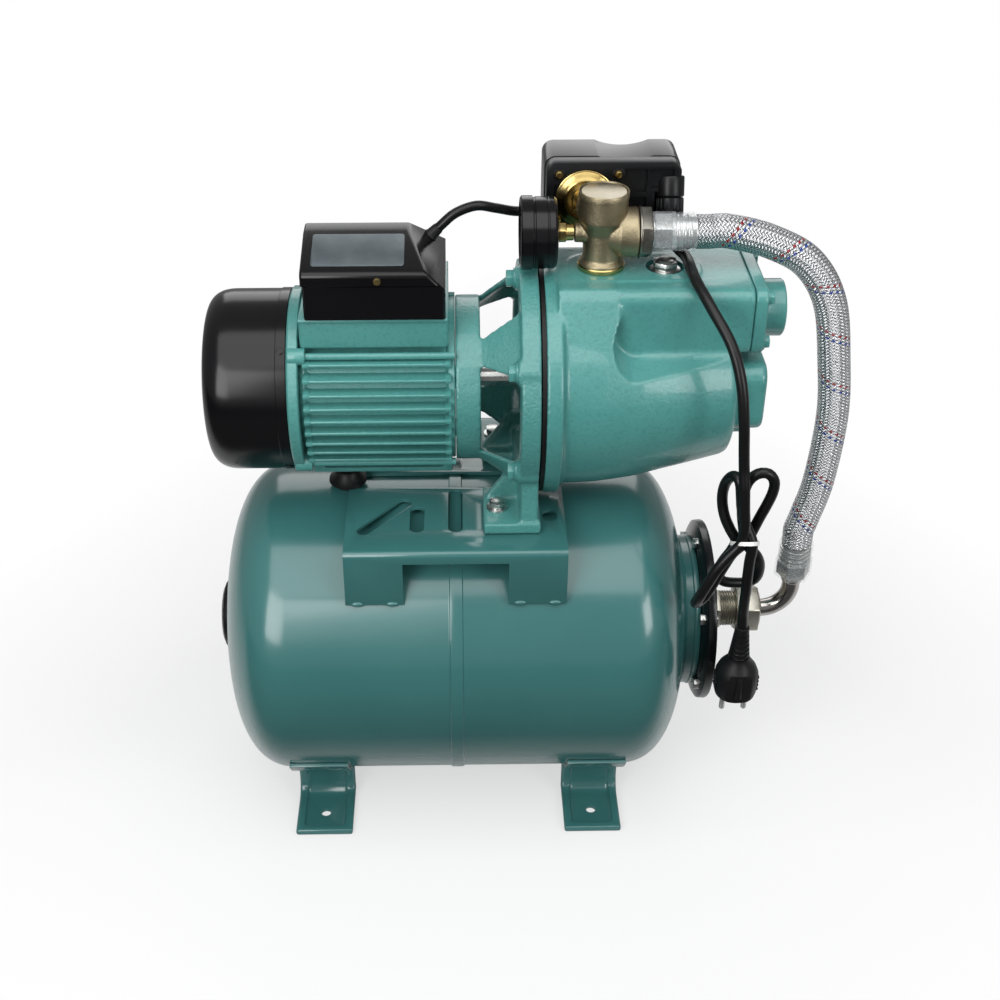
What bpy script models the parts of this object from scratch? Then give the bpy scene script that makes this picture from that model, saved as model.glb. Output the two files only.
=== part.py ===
"""Surface jet pump on a horizontal pressure tank, as an assembly of separate pieces.

Metres, +Z up. X runs along the pump shaft from the fan to the suction port. Places are given from the
tank's middle seam, and the whole set is shifted so that the origin lies under the middle of its box.
"""

import math

import bmesh
import bpy
from mathutils import Matrix, Vector

# Clearance between faces that touch
FIT = 0.0003

# Sides of round pieces, by size
ROUND_LARGE = 24
ROUND_MEDIUM = 16
ROUND_SMALL = 12
ROUND_TINY = 8

# Pressure tank
TANK_RADIUS = 0.1405
TANK_LENGTH = 0.410
TANK_AXIS_Z = 0.168
DOME_DEPTH = 0.063
DOME_POWER = 2.6
TANK_WALL = 0.002
BEAD_HEIGHT = 0.0015
BEAD_WIDTH = 0.010
NECK_RADIUS = 0.068
NECK_LENGTH = 0.010
VALVE_HOLE_RADIUS = 0.0065
BLADDER_GAP = 0.010
BLADDER_WALL = 0.0025
AIR_CAP_RADIUS = 0.0315
AIR_CAP_HEIGHT = 0.009
VALVE_PIN_TRAVEL = 0.0012

# Tank feet
FOOT_SPACING = 0.247
FOOT_WIDTH = 0.052
FOOT_DEPTH = 0.236
FOOT_PAD_LENGTH = 0.058
FOOT_SHEET = 0.0032
FOOT_RIM = 0.0030
FOOT_RIM_WIDTH = 0.006
FOOT_HOLE_RADIUS = 0.0045
FOOT_HOLE_INSET = 0.026
SADDLE_ANGLE = 56.0

# Pump plates
PLATE_LENGTH = 0.183
PLATE_DEPTH = 0.098
PLATE_INNER_Y = 0.012
PLATE_SHEET = 0.003
PLATE_LIP = 0.008
PLATE_LEG_WIDTH = 0.048
PLATE_SLOT_WIDTH = 0.010

# Tank flange and pipe to the hose
FLANGE_RADIUS = 0.0825
FLANGE_RIM = 0.0125
FLANGE_SHEET = 0.004
HUB_RADIUS = 0.024
HUB_REACH = 0.0165
PIPE_THREAD_RADIUS = 0.0164
NIPPLE_SHOW = 0.021
ELBOW_NUT_LENGTH = 0.022
ELBOW_NUT_RADIUS = 0.0235
ELBOW_TUBE_RADIUS = 0.0080
ELBOW_BEND = 0.026

# Pump axis and motor
AXIS_ABOVE_PLATE = 0.1017
HOUSING_REAR_X = -0.1217
HOUSING_LENGTH = 0.1227
HOUSING_CORE_RADIUS = 0.0635
HOUSING_WALL = 0.0055
FIN_TIP_RADIUS = 0.0745
FIN_PITCH = 0.0108
FIN_COUNT = 9
FIN_THICKNESS = 0.0024
BOX_PAD_HALF_WIDTH = 0.052
BOX_PAD_TOP = 0.0805
BASE_PAD_HALF_WIDTH = 0.027
BASE_PAD_DROP = 0.0755
SHIELD_RIM_RADIUS = 0.0765
SHIELD_RIM_WIDTH = 0.009
TIE_ROD_RADIUS = 0.0028
TIE_ROD_Y = 0.0545
TIE_ROD_Z = 0.0487
FAN_COVER_RADIUS = 0.0745
FAN_COVER_LENGTH = 0.068
FAN_COVER_WALL = 0.002
FAN_RADIUS = 0.062
FAN_BLADES = 7
SHAFT_RADIUS = 0.0075
SHAFT_TIP_RADIUS = 0.006
BEARING_RADIUS = 0.0175
BEARING_WIDTH = 0.011
STATOR_LENGTH = 0.072
AIR_GAP = 0.0006
ROTOR_RADIUS = 0.034
TERMINAL_INSET = 0.0057
TERMINAL_LENGTH = 0.1113
TERMINAL_FRONT_Y = -0.058
TERMINAL_BACK_Y = 0.050
TERMINAL_FRONT_HEIGHT = 0.0377
TERMINAL_BACK_HEIGHT = 0.0190
TERMINAL_HEIGHT = 0.0527
TERMINAL_SLANT = 0.0288
TERMINAL_WALL = 0.0025
BUFFER_X = -0.093
BUFFER_RADIUS = 0.0165

# Cast bracket
BRACKET_LENGTH = 0.067
BRACKET_RING_RADIUS = 0.068
BRACKET_RING_WIDTH = 0.019
BRACKET_FLANGE_RADIUS = 0.097
BRACKET_FLANGE_WIDTH = 0.016
BRACKET_WALL = 0.007
WINDOW_HALF_WIDTH = 0.035
FOOT_LENGTH = 0.047
FOOT_HALF_WIDTH = 0.085
FOOT_ARCH_HALF_WIDTH = 0.026
FOOT_THICKNESS = 0.010
FOOT_BOLT_Y = 0.060
FOOT_BOLT_RADIUS = 0.004
CASING_BOLTS = 6

# Cast casing
GASKET_WIDTH = 0.0036
CASING_FLANGE_WIDTH = 0.0137
CASING_RADIUS = 0.088
CASING_END_RADIUS = 0.066
CASING_BARREL_LENGTH = 0.148
CASING_SHOULDER_LENGTH = 0.044
CASING_TOP = 0.0985
CASING_WALL = 0.007
CHEST_HALF_WIDTH = 0.047
CHEST_BOTTOM = 0.0415
CHEST_LENGTH = 0.163
NOSE_HALF_WIDTH = 0.047
NOSE_TOP = 0.030
NOSE_BOTTOM = -0.030
NOSE_LENGTH = 0.180
DRAIN_HEIGHT = -0.041
DRAIN_REACH = 0.172
COVER_THICKNESS = 0.0097
SUCTION_HEIGHT = 0.062
SUCTION_BOSS_RADIUS = 0.0232
SUCTION_BOSS_LENGTH = 0.021
SUCTION_BORE_RADIUS = 0.0165
OUTLET_BORE_RADIUS = 0.0167
OUTLET_REACH = 0.0457
PRIMING_REACH = 0.097
PRIMING_RADIUS = 0.008
IMPELLER_RADIUS = 0.063
IMPELLER_BLADES = 6
EJECTOR_THROAT_RADIUS = 0.005

# Five way fitting, gauge and pressure switch
FITTING_HEIGHT = 0.064
FITTING_HEAD_RADIUS = 0.0195
FITTING_WAIST_RADIUS = 0.014
FITTING_COLLAR_RADIUS = 0.0185
PORT_HEIGHT = 0.029
SIDE_PORT_RADIUS = 0.0200
SIDE_PORT_REACH = 0.028
SMALL_PORT_RADIUS = 0.0075
GAUGE_PORT_REACH = 0.0225
GAUGE_RADIUS = 0.028
GAUGE_DEPTH = 0.029
GAUGE_STEM_LENGTH = 0.013
GAUGE_SWEEP = 270.0
SWITCH_PORT_SHIFT = -0.012
SWITCH_PORT_REACH = 0.0225
SWITCH_PORT_HEIGHT = 0.045
SWITCH_FLANGE_RADIUS = 0.0235
SWITCH_FLANGE_DEPTH = 0.0072
SWITCH_LENGTH = 0.107
SWITCH_HEIGHT = 0.055
SWITCH_LEFT = -0.031
SWITCH_BOTTOM = -0.026
SWITCH_BASE_DEPTH = 0.0145
SWITCH_COVER_DEPTH = 0.041
SWITCH_WALL = 0.0022
GLAND_RADIUS = 0.011
GLAND_LENGTH = 0.020
GLAND_TILT = 20.0
GLAND_INSET = 0.0076
GLAND_TOP_Y = 0.0032
GLAND_TOP_DROP = 0.0008
NOTCH_LENGTH = 0.0201
NOTCH_DROP = 0.0042
LEAD_GLAND_LENGTH = 0.012
LEAD_GLAND_RADIUS = 0.0062
LEAD_GLAND_DROP = 0.0138

# Braided hose
HOSE_RADIUS = 0.0135
HOSE_NUT_LENGTH = 0.0094
HOSE_NUT_RADIUS = 0.0215
FERRULE_LENGTH = 0.0357
FERRULE_RADIUS = 0.0155

# Cords
END_RUN = 0.002
CORD_RADIUS = 0.0044
LEAD_RADIUS = 0.0040
HANK_THICKNESS = 0.026
PIN_SPACING = 0.019
PIN_RADIUS = 0.0024
PIN_LENGTH = 0.0185
PLUG_RADIUS = 0.0185

# Places worked out from the sizes above
CROWN_Z = TANK_AXIS_Z + TANK_RADIUS
PLATE_BOTTOM_Z = CROWN_Z + FIT
PLATE_TOP_Z = PLATE_BOTTOM_Z + PLATE_SHEET
AXIS_Z = PLATE_TOP_Z + AXIS_ABOVE_PLATE
HOUSING_FRONT_X = HOUSING_REAR_X + HOUSING_LENGTH
SHIELD_FRONT_X = HOUSING_REAR_X - FIT
SHIELD_REAR_X = SHIELD_FRONT_X - SHIELD_RIM_WIDTH
FAN_COVER_FRONT_X = SHIELD_REAR_X - FIT
FAN_COVER_REAR_X = FAN_COVER_FRONT_X - FAN_COVER_LENGTH
BRACKET_REAR_X = HOUSING_FRONT_X + FIT
BRACKET_FRONT_X = BRACKET_REAR_X + BRACKET_LENGTH
BRACKET_FLANGE_X = BRACKET_FRONT_X - BRACKET_FLANGE_WIDTH
CASING_REAR_X = BRACKET_FRONT_X + GASKET_WIDTH
CASING_BODY_X = CASING_REAR_X + CASING_FLANGE_WIDTH
CASING_FRONT_X = CASING_REAR_X + CHEST_LENGTH
COVER_X = CASING_FRONT_X + FIT
SUCTION_FACE_X = COVER_X + COVER_THICKNESS + SUCTION_BOSS_LENGTH
SUCTION_Z = AXIS_Z + SUCTION_HEIGHT
OUTLET_X = CASING_REAR_X + OUTLET_REACH
CASING_TOP_Z = AXIS_Z + CASING_TOP
FITTING_Z = CASING_TOP_Z + FIT
FITTING_TOP_Z = FITTING_Z + FITTING_HEIGHT
PORT_Z = FITTING_Z + PORT_HEIGHT
GAUGE_STEM_X = OUTLET_X - GAUGE_PORT_REACH - FIT
GAUGE_BACK_X = GAUGE_STEM_X - GAUGE_STEM_LENGTH
GAUGE_FRONT_X = GAUGE_BACK_X - GAUGE_DEPTH
SWITCH_X = OUTLET_X + SWITCH_PORT_SHIFT
SWITCH_Z = FITTING_Z + SWITCH_PORT_HEIGHT
SWITCH_FLANGE_Y = SWITCH_PORT_REACH + FIT
SWITCH_BASE_Y = SWITCH_FLANGE_Y + SWITCH_FLANGE_DEPTH + FIT
SWITCH_COVER_Y = SWITCH_BASE_Y + SWITCH_BASE_DEPTH + FIT
SWITCH_RIGHT_X = SWITCH_X + SWITCH_LEFT + SWITCH_LENGTH
LEAD_GLAND_Y = SWITCH_BASE_Y + 0.0082
LEAD_GLAND_Z = SWITCH_Z - LEAD_GLAND_DROP
NECK_END_X = TANK_LENGTH / 2 + NECK_LENGTH
FLANGE_X = NECK_END_X + FIT
HUB_END_X = FLANGE_X + FLANGE_SHEET + HUB_REACH
NUT_X = HUB_END_X + NIPPLE_SHOW
NUT_END_X = NUT_X + ELBOW_NUT_LENGTH
HOSE_NUT_X = OUTLET_X + SIDE_PORT_REACH + FIT
FERRULE_X = HOSE_NUT_X + HOSE_NUT_LENGTH + FIT
HOSE_START_X = FERRULE_X + FERRULE_LENGTH + FIT
ELBOW_TURN_X = NUT_END_X + 0.002
ELBOW_TOP_X = ELBOW_TURN_X + ELBOW_BEND
ELBOW_TOP_Z = TANK_AXIS_Z + ELBOW_BEND + 0.012
LOWER_FERRULE_Z = ELBOW_TOP_Z + FIT
HOSE_END_Z = LOWER_FERRULE_Z + FERRULE_LENGTH + FIT
HOSE_BULGE_X = 0.3212
AIR_CAP_REAR_X = -TANK_LENGTH / 2 - FIT - AIR_CAP_HEIGHT
SET_MIDDLE_X = (min(FAN_COVER_REAR_X, AIR_CAP_REAR_X) + HOSE_BULGE_X + HOSE_RADIUS) / 2


def clear_scene():
    """Empties the scene."""
    for item in list(bpy.data.objects):
        bpy.data.objects.remove(item, do_unlink=True)


def make_material(name, colour, roughness, metallic=0.0):
    """A plain finish with one colour."""
    material = bpy.data.materials.new(name)
    material.use_nodes = True
    surface = material.node_tree.nodes["Principled BSDF"]
    surface.inputs["Base Color"].default_value = (*colour, 1.0)
    surface.inputs["Roughness"].default_value = roughness
    surface.inputs["Metallic"].default_value = metallic
    material.diffuse_color = (*colour, 1.0)
    return material


def object_from(name, shape):
    """Turns a bmesh into an object in the scene, with its faces pointing out."""
    bmesh.ops.recalc_face_normals(shape, faces=shape.faces)
    mesh = bpy.data.meshes.new(name)
    shape.to_mesh(mesh)
    shape.free()
    piece = bpy.data.objects.new(name, mesh)
    bpy.context.scene.collection.objects.link(piece)
    return piece


def axis_frame(axis, centre):
    """The matrix that takes a shape built along +Z to the named axis through the centre."""
    turns = {
        "X": Matrix.Rotation(math.pi / 2, 4, "Y"),
        "Y": Matrix.Rotation(-math.pi / 2, 4, "X"),
        "Z": Matrix.Identity(4),
    }
    return Matrix.Translation(Vector(centre)) @ turns[axis]


def turned(name, profile, axis="X", centre=(0, 0, 0), steps=ROUND_LARGE, closed=True):
    """Spins a profile of (place along the axis, radius) points into a solid.

    A closed profile makes a ring, and an open one starts and ends on the axis.
    """
    shape = bmesh.new()
    points = [shape.verts.new((radius, 0, along)) for along, radius in profile]
    pairs = list(zip(points, points[1:] + points[:1] if closed else points[1:]))
    edges = [shape.edges.new(pair) for pair in pairs]
    bmesh.ops.spin(
        shape, geom=points + edges, cent=(0, 0, 0), axis=(0, 0, 1), angle=math.tau,
        steps=steps, use_merge=False, use_duplicate=False,
    )
    bmesh.ops.remove_doubles(shape, verts=shape.verts, dist=1e-6)
    shape.transform(axis_frame(axis, centre))
    return object_from(name, shape)


def solid_turned(name, profile, axis="X", centre=(0, 0, 0), steps=ROUND_LARGE):
    """A turned solid without a bore: the profile is closed onto the axis at both ends."""
    whole = [(profile[0][0], 0.0), *profile, (profile[-1][0], 0.0)]
    return turned(name, whole, axis, centre, steps, closed=False)


def extruded(name, outline, axis, start, end):
    """Extrudes an outline from start to end along the axis.

    The outline's points are (y, z) for X, (x, z) for Y and (x, y) for Z.
    """
    def place(first, second, along):
        return {"X": (along, first, second), "Y": (first, along, second), "Z": (first, second, along)}[axis]

    shape = bmesh.new()
    face = shape.faces.new([shape.verts.new(place(first, second, start)) for first, second in outline])
    grown = bmesh.ops.extrude_face_region(shape, geom=[face])
    moved = [item for item in grown["geom"] if isinstance(item, bmesh.types.BMVert)]
    bmesh.ops.translate(shape, verts=moved, vec=Vector(place(0, 0, end)) - Vector(place(0, 0, start)))
    return object_from(name, shape)


def block(name, x_range, y_range, z_range):
    """A box between the given limits."""
    outline = [(y_range[0], z_range[0]), (y_range[1], z_range[0]), (y_range[1], z_range[1]), (y_range[0], z_range[1])]
    return extruded(name, outline, "X", *x_range)


def rod(name, start, end, radius, steps=ROUND_SMALL, end_radius=None):
    """A round bar, or a cone, from one point to another."""
    line = Vector(end) - Vector(start)
    turn = line.to_track_quat("Z", "Y").to_matrix().to_4x4()
    shape = bmesh.new()
    bmesh.ops.create_cone(
        shape, cap_ends=True, segments=steps, radius1=radius,
        radius2=radius if end_radius is None else end_radius, depth=line.length,
        matrix=Matrix.Translation((Vector(start) + Vector(end)) / 2) @ turn,
    )
    return object_from(name, shape)


def arc(centre, radius, start, end, count):
    """Points along an arc, with its angles in degrees."""
    angles = [math.radians(start + (end - start) * step / count) for step in range(count + 1)]
    return [(centre[0] + radius * math.cos(angle), centre[1] + radius * math.sin(angle)) for angle in angles]


def rounded_rectangle(low, high, radius, count=2):
    """The outline of a rectangle with round corners, from its low to its high corner."""
    corners = (
        ((high[0] - radius, high[1] - radius), 0),
        ((low[0] + radius, high[1] - radius), 90),
        ((low[0] + radius, low[1] + radius), 180),
        ((high[0] - radius, low[1] + radius), 270),
    )
    return [point for centre, angle in corners for point in arc(centre, radius, angle, angle + 90, count)]


def notched_rectangle(low, high, notch, radius, count=2):
    """A rounded rectangle without its lower right corner, which is cut away up to the notch point."""
    corners = (
        ((high[0] - radius, high[1] - radius), 0),
        ((low[0] + radius, high[1] - radius), 90),
        ((low[0] + radius, low[1] + radius), 180),
    )
    points = [point for centre, angle in corners for point in arc(centre, radius, angle, angle + 90, count)]
    return points + [(notch[0], low[1]), notch, (high[0], notch[1])]


def slot_outline(start, end, width, count=3):
    """The outline of a slot with round ends, between the centres of its ends."""
    angle = math.degrees(math.atan2(end[1] - start[1], end[0] - start[0]))
    return arc(start, width / 2, angle + 90, angle + 270, count) + arc(end, width / 2, angle - 90, angle + 90, count)


def combine(piece, tools, operation):
    """Joins tools to the piece, or cuts them from it, and removes the tools."""
    for tool in tools:
        modifier = piece.modifiers.new(operation, "BOOLEAN")
        modifier.operation = operation
        modifier.solver = "EXACT"
        modifier.object = tool
        bpy.context.view_layer.update()
        graph = bpy.context.evaluated_depsgraph_get()
        result = bpy.data.meshes.new_from_object(piece.evaluated_get(graph))
        piece.modifiers.clear()
        piece.data = result
        bpy.data.objects.remove(tool, do_unlink=True)
    return piece


def join(piece, *tools):
    """The piece and its tools as one solid."""
    return combine(piece, tools, "UNION")


def cut(piece, *tools):
    """The piece less its tools."""
    return combine(piece, tools, "DIFFERENCE")


def soften(piece, width, segments=1, angle=40.0):
    """Rounds the piece's sharp edges."""
    modifier = piece.modifiers.new("Bevel", "BEVEL")
    modifier.width = width
    modifier.segments = segments
    modifier.limit_method = "ANGLE"
    modifier.angle_limit = math.radians(angle)
    modifier.use_clamp_overlap = True
    return piece


def finish(piece, material, parent):
    """Gives the piece its material, smooth shading and parent."""
    piece.data.materials.clear()
    piece.data.materials.append(material)
    if piece.type == "MESH":
        piece.data.shade_smooth()
        piece.data.set_sharp_from_angle(angle=math.radians(32))
    piece.parent = parent
    return piece


def set_origin(piece, point):
    """Moves the piece's origin to a point without moving its mesh."""
    piece.data.transform(Matrix.Translation(-Vector(point)))
    piece.location = point
    return piece


def smooth_path(points, spacing):
    """Evenly spaced points along a smooth curve through the given ones, with its ends held straight."""
    knots = [Vector(point) for point in points]
    knots = [2 * knots[0] - knots[1], *knots, 2 * knots[-1] - knots[-2]]
    dense = []
    for before, start, end, after in zip(knots, knots[1:], knots[2:], knots[3:]):
        for step in range(24):
            t = step / 24
            dense.append(0.5 * (
                2 * start + (end - before) * t
                + (2 * before - 5 * start + 4 * end - after) * t ** 2
                + (3 * start - before - 3 * end + after) * t ** 3
            ))
    dense.append(knots[-2])
    lengths = [0.0]
    for start, end in zip(dense, dense[1:]):
        lengths.append(lengths[-1] + (end - start).length)
    count = max(2, round(lengths[-1] / spacing))
    path = []
    index = 0
    for step in range(count + 1):
        wanted = lengths[-1] * step / count
        while index < len(dense) - 2 and lengths[index + 1] < wanted:
            index += 1
        share = (wanted - lengths[index]) / (lengths[index + 1] - lengths[index])
        path.append(dense[index].lerp(dense[index + 1], share))
    path.insert(1, knots[1] + END_RUN * (knots[2] - knots[1]).normalized())
    path.insert(-1, knots[-2] + END_RUN * (knots[-3] - knots[-2]).normalized())
    return path


def tube(name, path, radius, resolution=2):
    """A round cord along a path, with closed ends."""
    curve = bpy.data.curves.new(name, "CURVE")
    curve.dimensions = "3D"
    curve.bevel_depth = radius
    curve.bevel_resolution = resolution
    curve.use_fill_caps = True
    spline = curve.splines.new("POLY")
    spline.points.add(len(path) - 1)
    for point, place in zip(spline.points, path):
        point.co = (*place, 1.0)
    cord = bpy.data.objects.new(name, curve)
    bpy.context.scene.collection.objects.link(cord)
    return cord


def mesh_tube(name, path, radius, steps=ROUND_TINY):
    """A round bar along a path, as a mesh that Booleans can take."""
    shape = bmesh.new()
    rings = []
    side = Vector((0, 1, 0))
    for index, place in enumerate(path):
        before = Vector(path[max(index - 1, 0)])
        after = Vector(path[min(index + 1, len(path) - 1)])
        along = (after - before).normalized()
        across = side.cross(along).normalized()
        up = along.cross(across)
        ring = []
        for step in range(steps):
            angle = math.tau * step / steps
            ring.append(shape.verts.new(Vector(place) + radius * (math.cos(angle) * across + math.sin(angle) * up)))
        rings.append(ring)
    for first, second in zip(rings, rings[1:]):
        for step in range(steps):
            following = (step + 1) % steps
            shape.faces.new((first[step], first[following], second[following], second[step]))
    shape.faces.new(rings[0])
    shape.faces.new(rings[-1])
    return object_from(name, shape)


def ring_places(count, radius, start=0.0):
    """(y, z) places evenly round a circle."""
    return [
        (radius * math.cos(math.radians(start) + math.tau * index / count),
         radius * math.sin(math.radians(start) + math.tau * index / count))
        for index in range(count)
    ]


def hex_head(name, start, end, radius):
    """A hexagonal head or nut."""
    return rod(name, start, end, radius, steps=6)


def dome_reach(radius, depth, across):
    """How far a dome stands out from its rim, at a given radius."""
    share = min(radius / across, 1.0)
    return depth * (1 - share ** DOME_POWER) ** (1 / DOME_POWER)


def dome_profile(depth, across, inner_radius, count):
    """(reach, radius) points of a dome from its hole to its rim, closer together near the rim."""
    points = []
    start = math.asin(min(1.0, (inner_radius / across) ** (DOME_POWER / 2)))
    for step in range(count + 1):
        angle = start + (math.pi / 2 - start) * step / count
        radius = across * math.sin(angle) ** (2 / DOME_POWER)
        points.append((dome_reach(radius, depth, across), radius))
    return points


def tank_half_length():
    """From the middle seam to the rim of a dome."""
    return TANK_LENGTH / 2 - DOME_DEPTH


def make_tank_shell():
    """Two pressed halves welded at the seam, with a neck for the flange and a hole for the air valve."""
    half = tank_half_length()
    inner_across = TANK_RADIUS - TANK_WALL
    inner_depth = DOME_DEPTH - TANK_WALL
    left = [(-half - reach, radius) for reach, radius in dome_profile(DOME_DEPTH, TANK_RADIUS, VALVE_HOLE_RADIUS, 5)]
    bead = [
        (-BEAD_WIDTH / 2, TANK_RADIUS), (-BEAD_WIDTH / 4, TANK_RADIUS + BEAD_HEIGHT),
        (BEAD_WIDTH / 4, TANK_RADIUS + BEAD_HEIGHT), (BEAD_WIDTH / 2, TANK_RADIUS),
    ]
    right = [(half + reach, radius) for reach, radius in dome_profile(DOME_DEPTH, TANK_RADIUS, NECK_RADIUS, 4)]
    neck = [(NECK_END_X, NECK_RADIUS), (NECK_END_X, NECK_RADIUS - TANK_WALL)]
    inner_right = [
        (half + reach, radius)
        for reach, radius in dome_profile(inner_depth, inner_across, NECK_RADIUS - TANK_WALL, 2)
    ]
    inner_left = [
        (-half - reach, radius)
        for reach, radius in dome_profile(inner_depth, inner_across, VALVE_HOLE_RADIUS, 3)
    ]
    profile = left + bead + right[::-1] + neck + inner_right + inner_left[::-1]
    return turned("tank_shell", profile, centre=(0, 0, TANK_AXIS_Z), steps=ROUND_LARGE)


def make_bladder():
    """The rubber bag that holds the water, clamped in the neck."""
    half = tank_half_length()
    across = TANK_RADIUS - TANK_WALL - BLADDER_GAP
    depth = DOME_DEPTH - TANK_WALL
    mouth = PIPE_THREAD_RADIUS
    neck_radius = NECK_RADIUS - TANK_WALL - FIT
    left = [(-half - 0.8 * reach, radius) for reach, radius in dome_profile(depth, across, 0.004, 4)]
    right = [(half + 0.8 * reach, radius) for reach, radius in dome_profile(depth, across, neck_radius, 3)]
    wall_left = [
        (-half - 0.8 * reach + BLADDER_WALL, radius - BLADDER_WALL)
        for reach, radius in dome_profile(depth, across, 0.010, 4)
    ]
    wall_right = [
        (half + 0.8 * reach - BLADDER_WALL, radius - BLADDER_WALL)
        for reach, radius in dome_profile(depth, across, neck_radius, 2)
    ]
    profile = [(left[0][0], 0.0), *left, *right[::-1]]
    profile += [(NECK_END_X, neck_radius), (NECK_END_X, mouth), (NECK_END_X - BLADDER_WALL, mouth)]
    profile += [(NECK_END_X - BLADDER_WALL, neck_radius - BLADDER_WALL), *wall_right]
    profile += [*wall_left[::-1], (wall_left[0][0], 0.0)]
    return turned("tank_bladder", profile, centre=(0, 0, TANK_AXIS_Z), steps=ROUND_SMALL, closed=False)


def make_air_valve():
    """Stem, spring pin and screwed cover on the rear dome."""
    dome_x = -tank_half_length() - dome_reach(VALVE_HOLE_RADIUS, DOME_DEPTH, TANK_RADIUS)
    stem_radius = VALVE_HOLE_RADIUS - FIT
    outer_x = dome_x - FIT
    pin_radius = 0.0012
    stem = turned(
        "air_valve_stem",
        [(dome_x + 0.010, stem_radius), (dome_x + 0.010, pin_radius + FIT), (outer_x - 0.005, pin_radius + FIT),
         (outer_x - 0.005, 0.004), (outer_x - 0.0022, 0.004), (outer_x - 0.0022, 0.009), (outer_x, 0.009),
         (outer_x, stem_radius)],
        centre=(0, 0, TANK_AXIS_Z), steps=ROUND_SMALL,
    )
    pin_end = outer_x - 0.005
    pin = solid_turned(
        "air_valve_pin", [(pin_end - VALVE_PIN_TRAVEL - FIT, pin_radius), (dome_x + 0.008, pin_radius)],
        centre=(0, 0, TANK_AXIS_Z), steps=ROUND_TINY,
    )
    set_origin(pin, (pin_end, 0, TANK_AXIS_Z))
    rim_x = -tank_half_length() - dome_reach(AIR_CAP_RADIUS, DOME_DEPTH, TANK_RADIUS) - FIT
    rim_x = min(rim_x, -TANK_LENGTH / 2 - FIT)
    top_x = rim_x - AIR_CAP_HEIGHT
    inner = AIR_CAP_RADIUS - 0.0025
    cap = turned(
        "air_valve_cap",
        [(top_x, 0.0), (top_x + 0.0005, 0.018), (top_x + 0.003, 0.029), (rim_x, AIR_CAP_RADIUS), (rim_x, inner),
         (top_x + 0.004, inner - 0.004), (top_x + 0.002, 0.0)],
        centre=(0, 0, TANK_AXIS_Z), steps=ROUND_LARGE, closed=False,
    )
    return stem, pin, cap


def facet_arc(centre, radius, limit):
    """Points along the flat sides of a large round, from -limit to limit degrees about its lowest corner."""
    share = 360 / ROUND_LARGE
    count = int(limit // share)
    corners = [index * share for index in range(-count, count + 1) if abs(index * share) < limit - 1]
    points = []
    for angle in [-limit, *corners, limit]:
        reach = radius * math.cos(math.pi / ROUND_LARGE) / math.cos(math.radians(angle % share - share / 2))
        points.append((centre[0] + reach * math.sin(math.radians(angle)), centre[1] - reach * math.cos(math.radians(angle))))
    return points


def make_tank_foot(name, centre_x):
    """A pressed foot: two pads with raised rims, two risers and a saddle strap round the tank."""
    half_depth = FOOT_DEPTH / 2
    inner_pad = half_depth - FOOT_PAD_LENGTH
    hug = TANK_RADIUS + FIT
    low_x = centre_x - FOOT_WIDTH / 2
    high_x = centre_x + FOOT_WIDTH / 2
    centre = (0, TANK_AXIS_Z)
    inside = facet_arc(centre, hug, SADDLE_ANGLE)
    outside = facet_arc(centre, hug + FOOT_SHEET, SADDLE_ANGLE)
    foot = extruded(name, inside + outside[::-1], "X", low_x, high_x)
    rise_z = TANK_AXIS_Z - math.sqrt((hug + FOOT_SHEET / 2) ** 2 - inner_pad ** 2)
    thick = FOOT_SHEET + FOOT_RIM
    for side in (-1, 1):
        riser = [
            (side * (inner_pad - FOOT_SHEET), 0), (side * half_depth, 0), (side * half_depth, thick),
            (side * (inner_pad + FOOT_RIM + 0.006), thick), (side * (inner_pad + FOOT_RIM), thick + 0.006),
            (side * (inner_pad + FOOT_RIM), rise_z), (side * (inner_pad - FOOT_SHEET), rise_z),
        ]
        leg = extruded(name + "_leg", riser, "X", low_x, high_x)
        tray = [
            (side * (half_depth - FOOT_RIM_WIDTH), FOOT_SHEET), (side * (half_depth - FOOT_RIM_WIDTH), thick * 2),
            (side * (inner_pad + 0.02), rise_z - 0.008), (side * inner_pad, rise_z - 0.008),
            (side * inner_pad, FOOT_SHEET + 0.005), (side * (inner_pad + 0.005), FOOT_SHEET),
        ]
        hollow = extruded(name + "_tray", tray, "X", low_x + FOOT_RIM_WIDTH, high_x - FOOT_RIM_WIDTH)
        hole_y = side * (half_depth - FOOT_HOLE_INSET)
        hole = rod(name + "_hole", (centre_x, hole_y, -0.01), (centre_x, hole_y, 0.02), FOOT_HOLE_RADIUS, ROUND_SMALL)
        join(foot, cut(leg, hollow, hole))
    return foot


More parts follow.
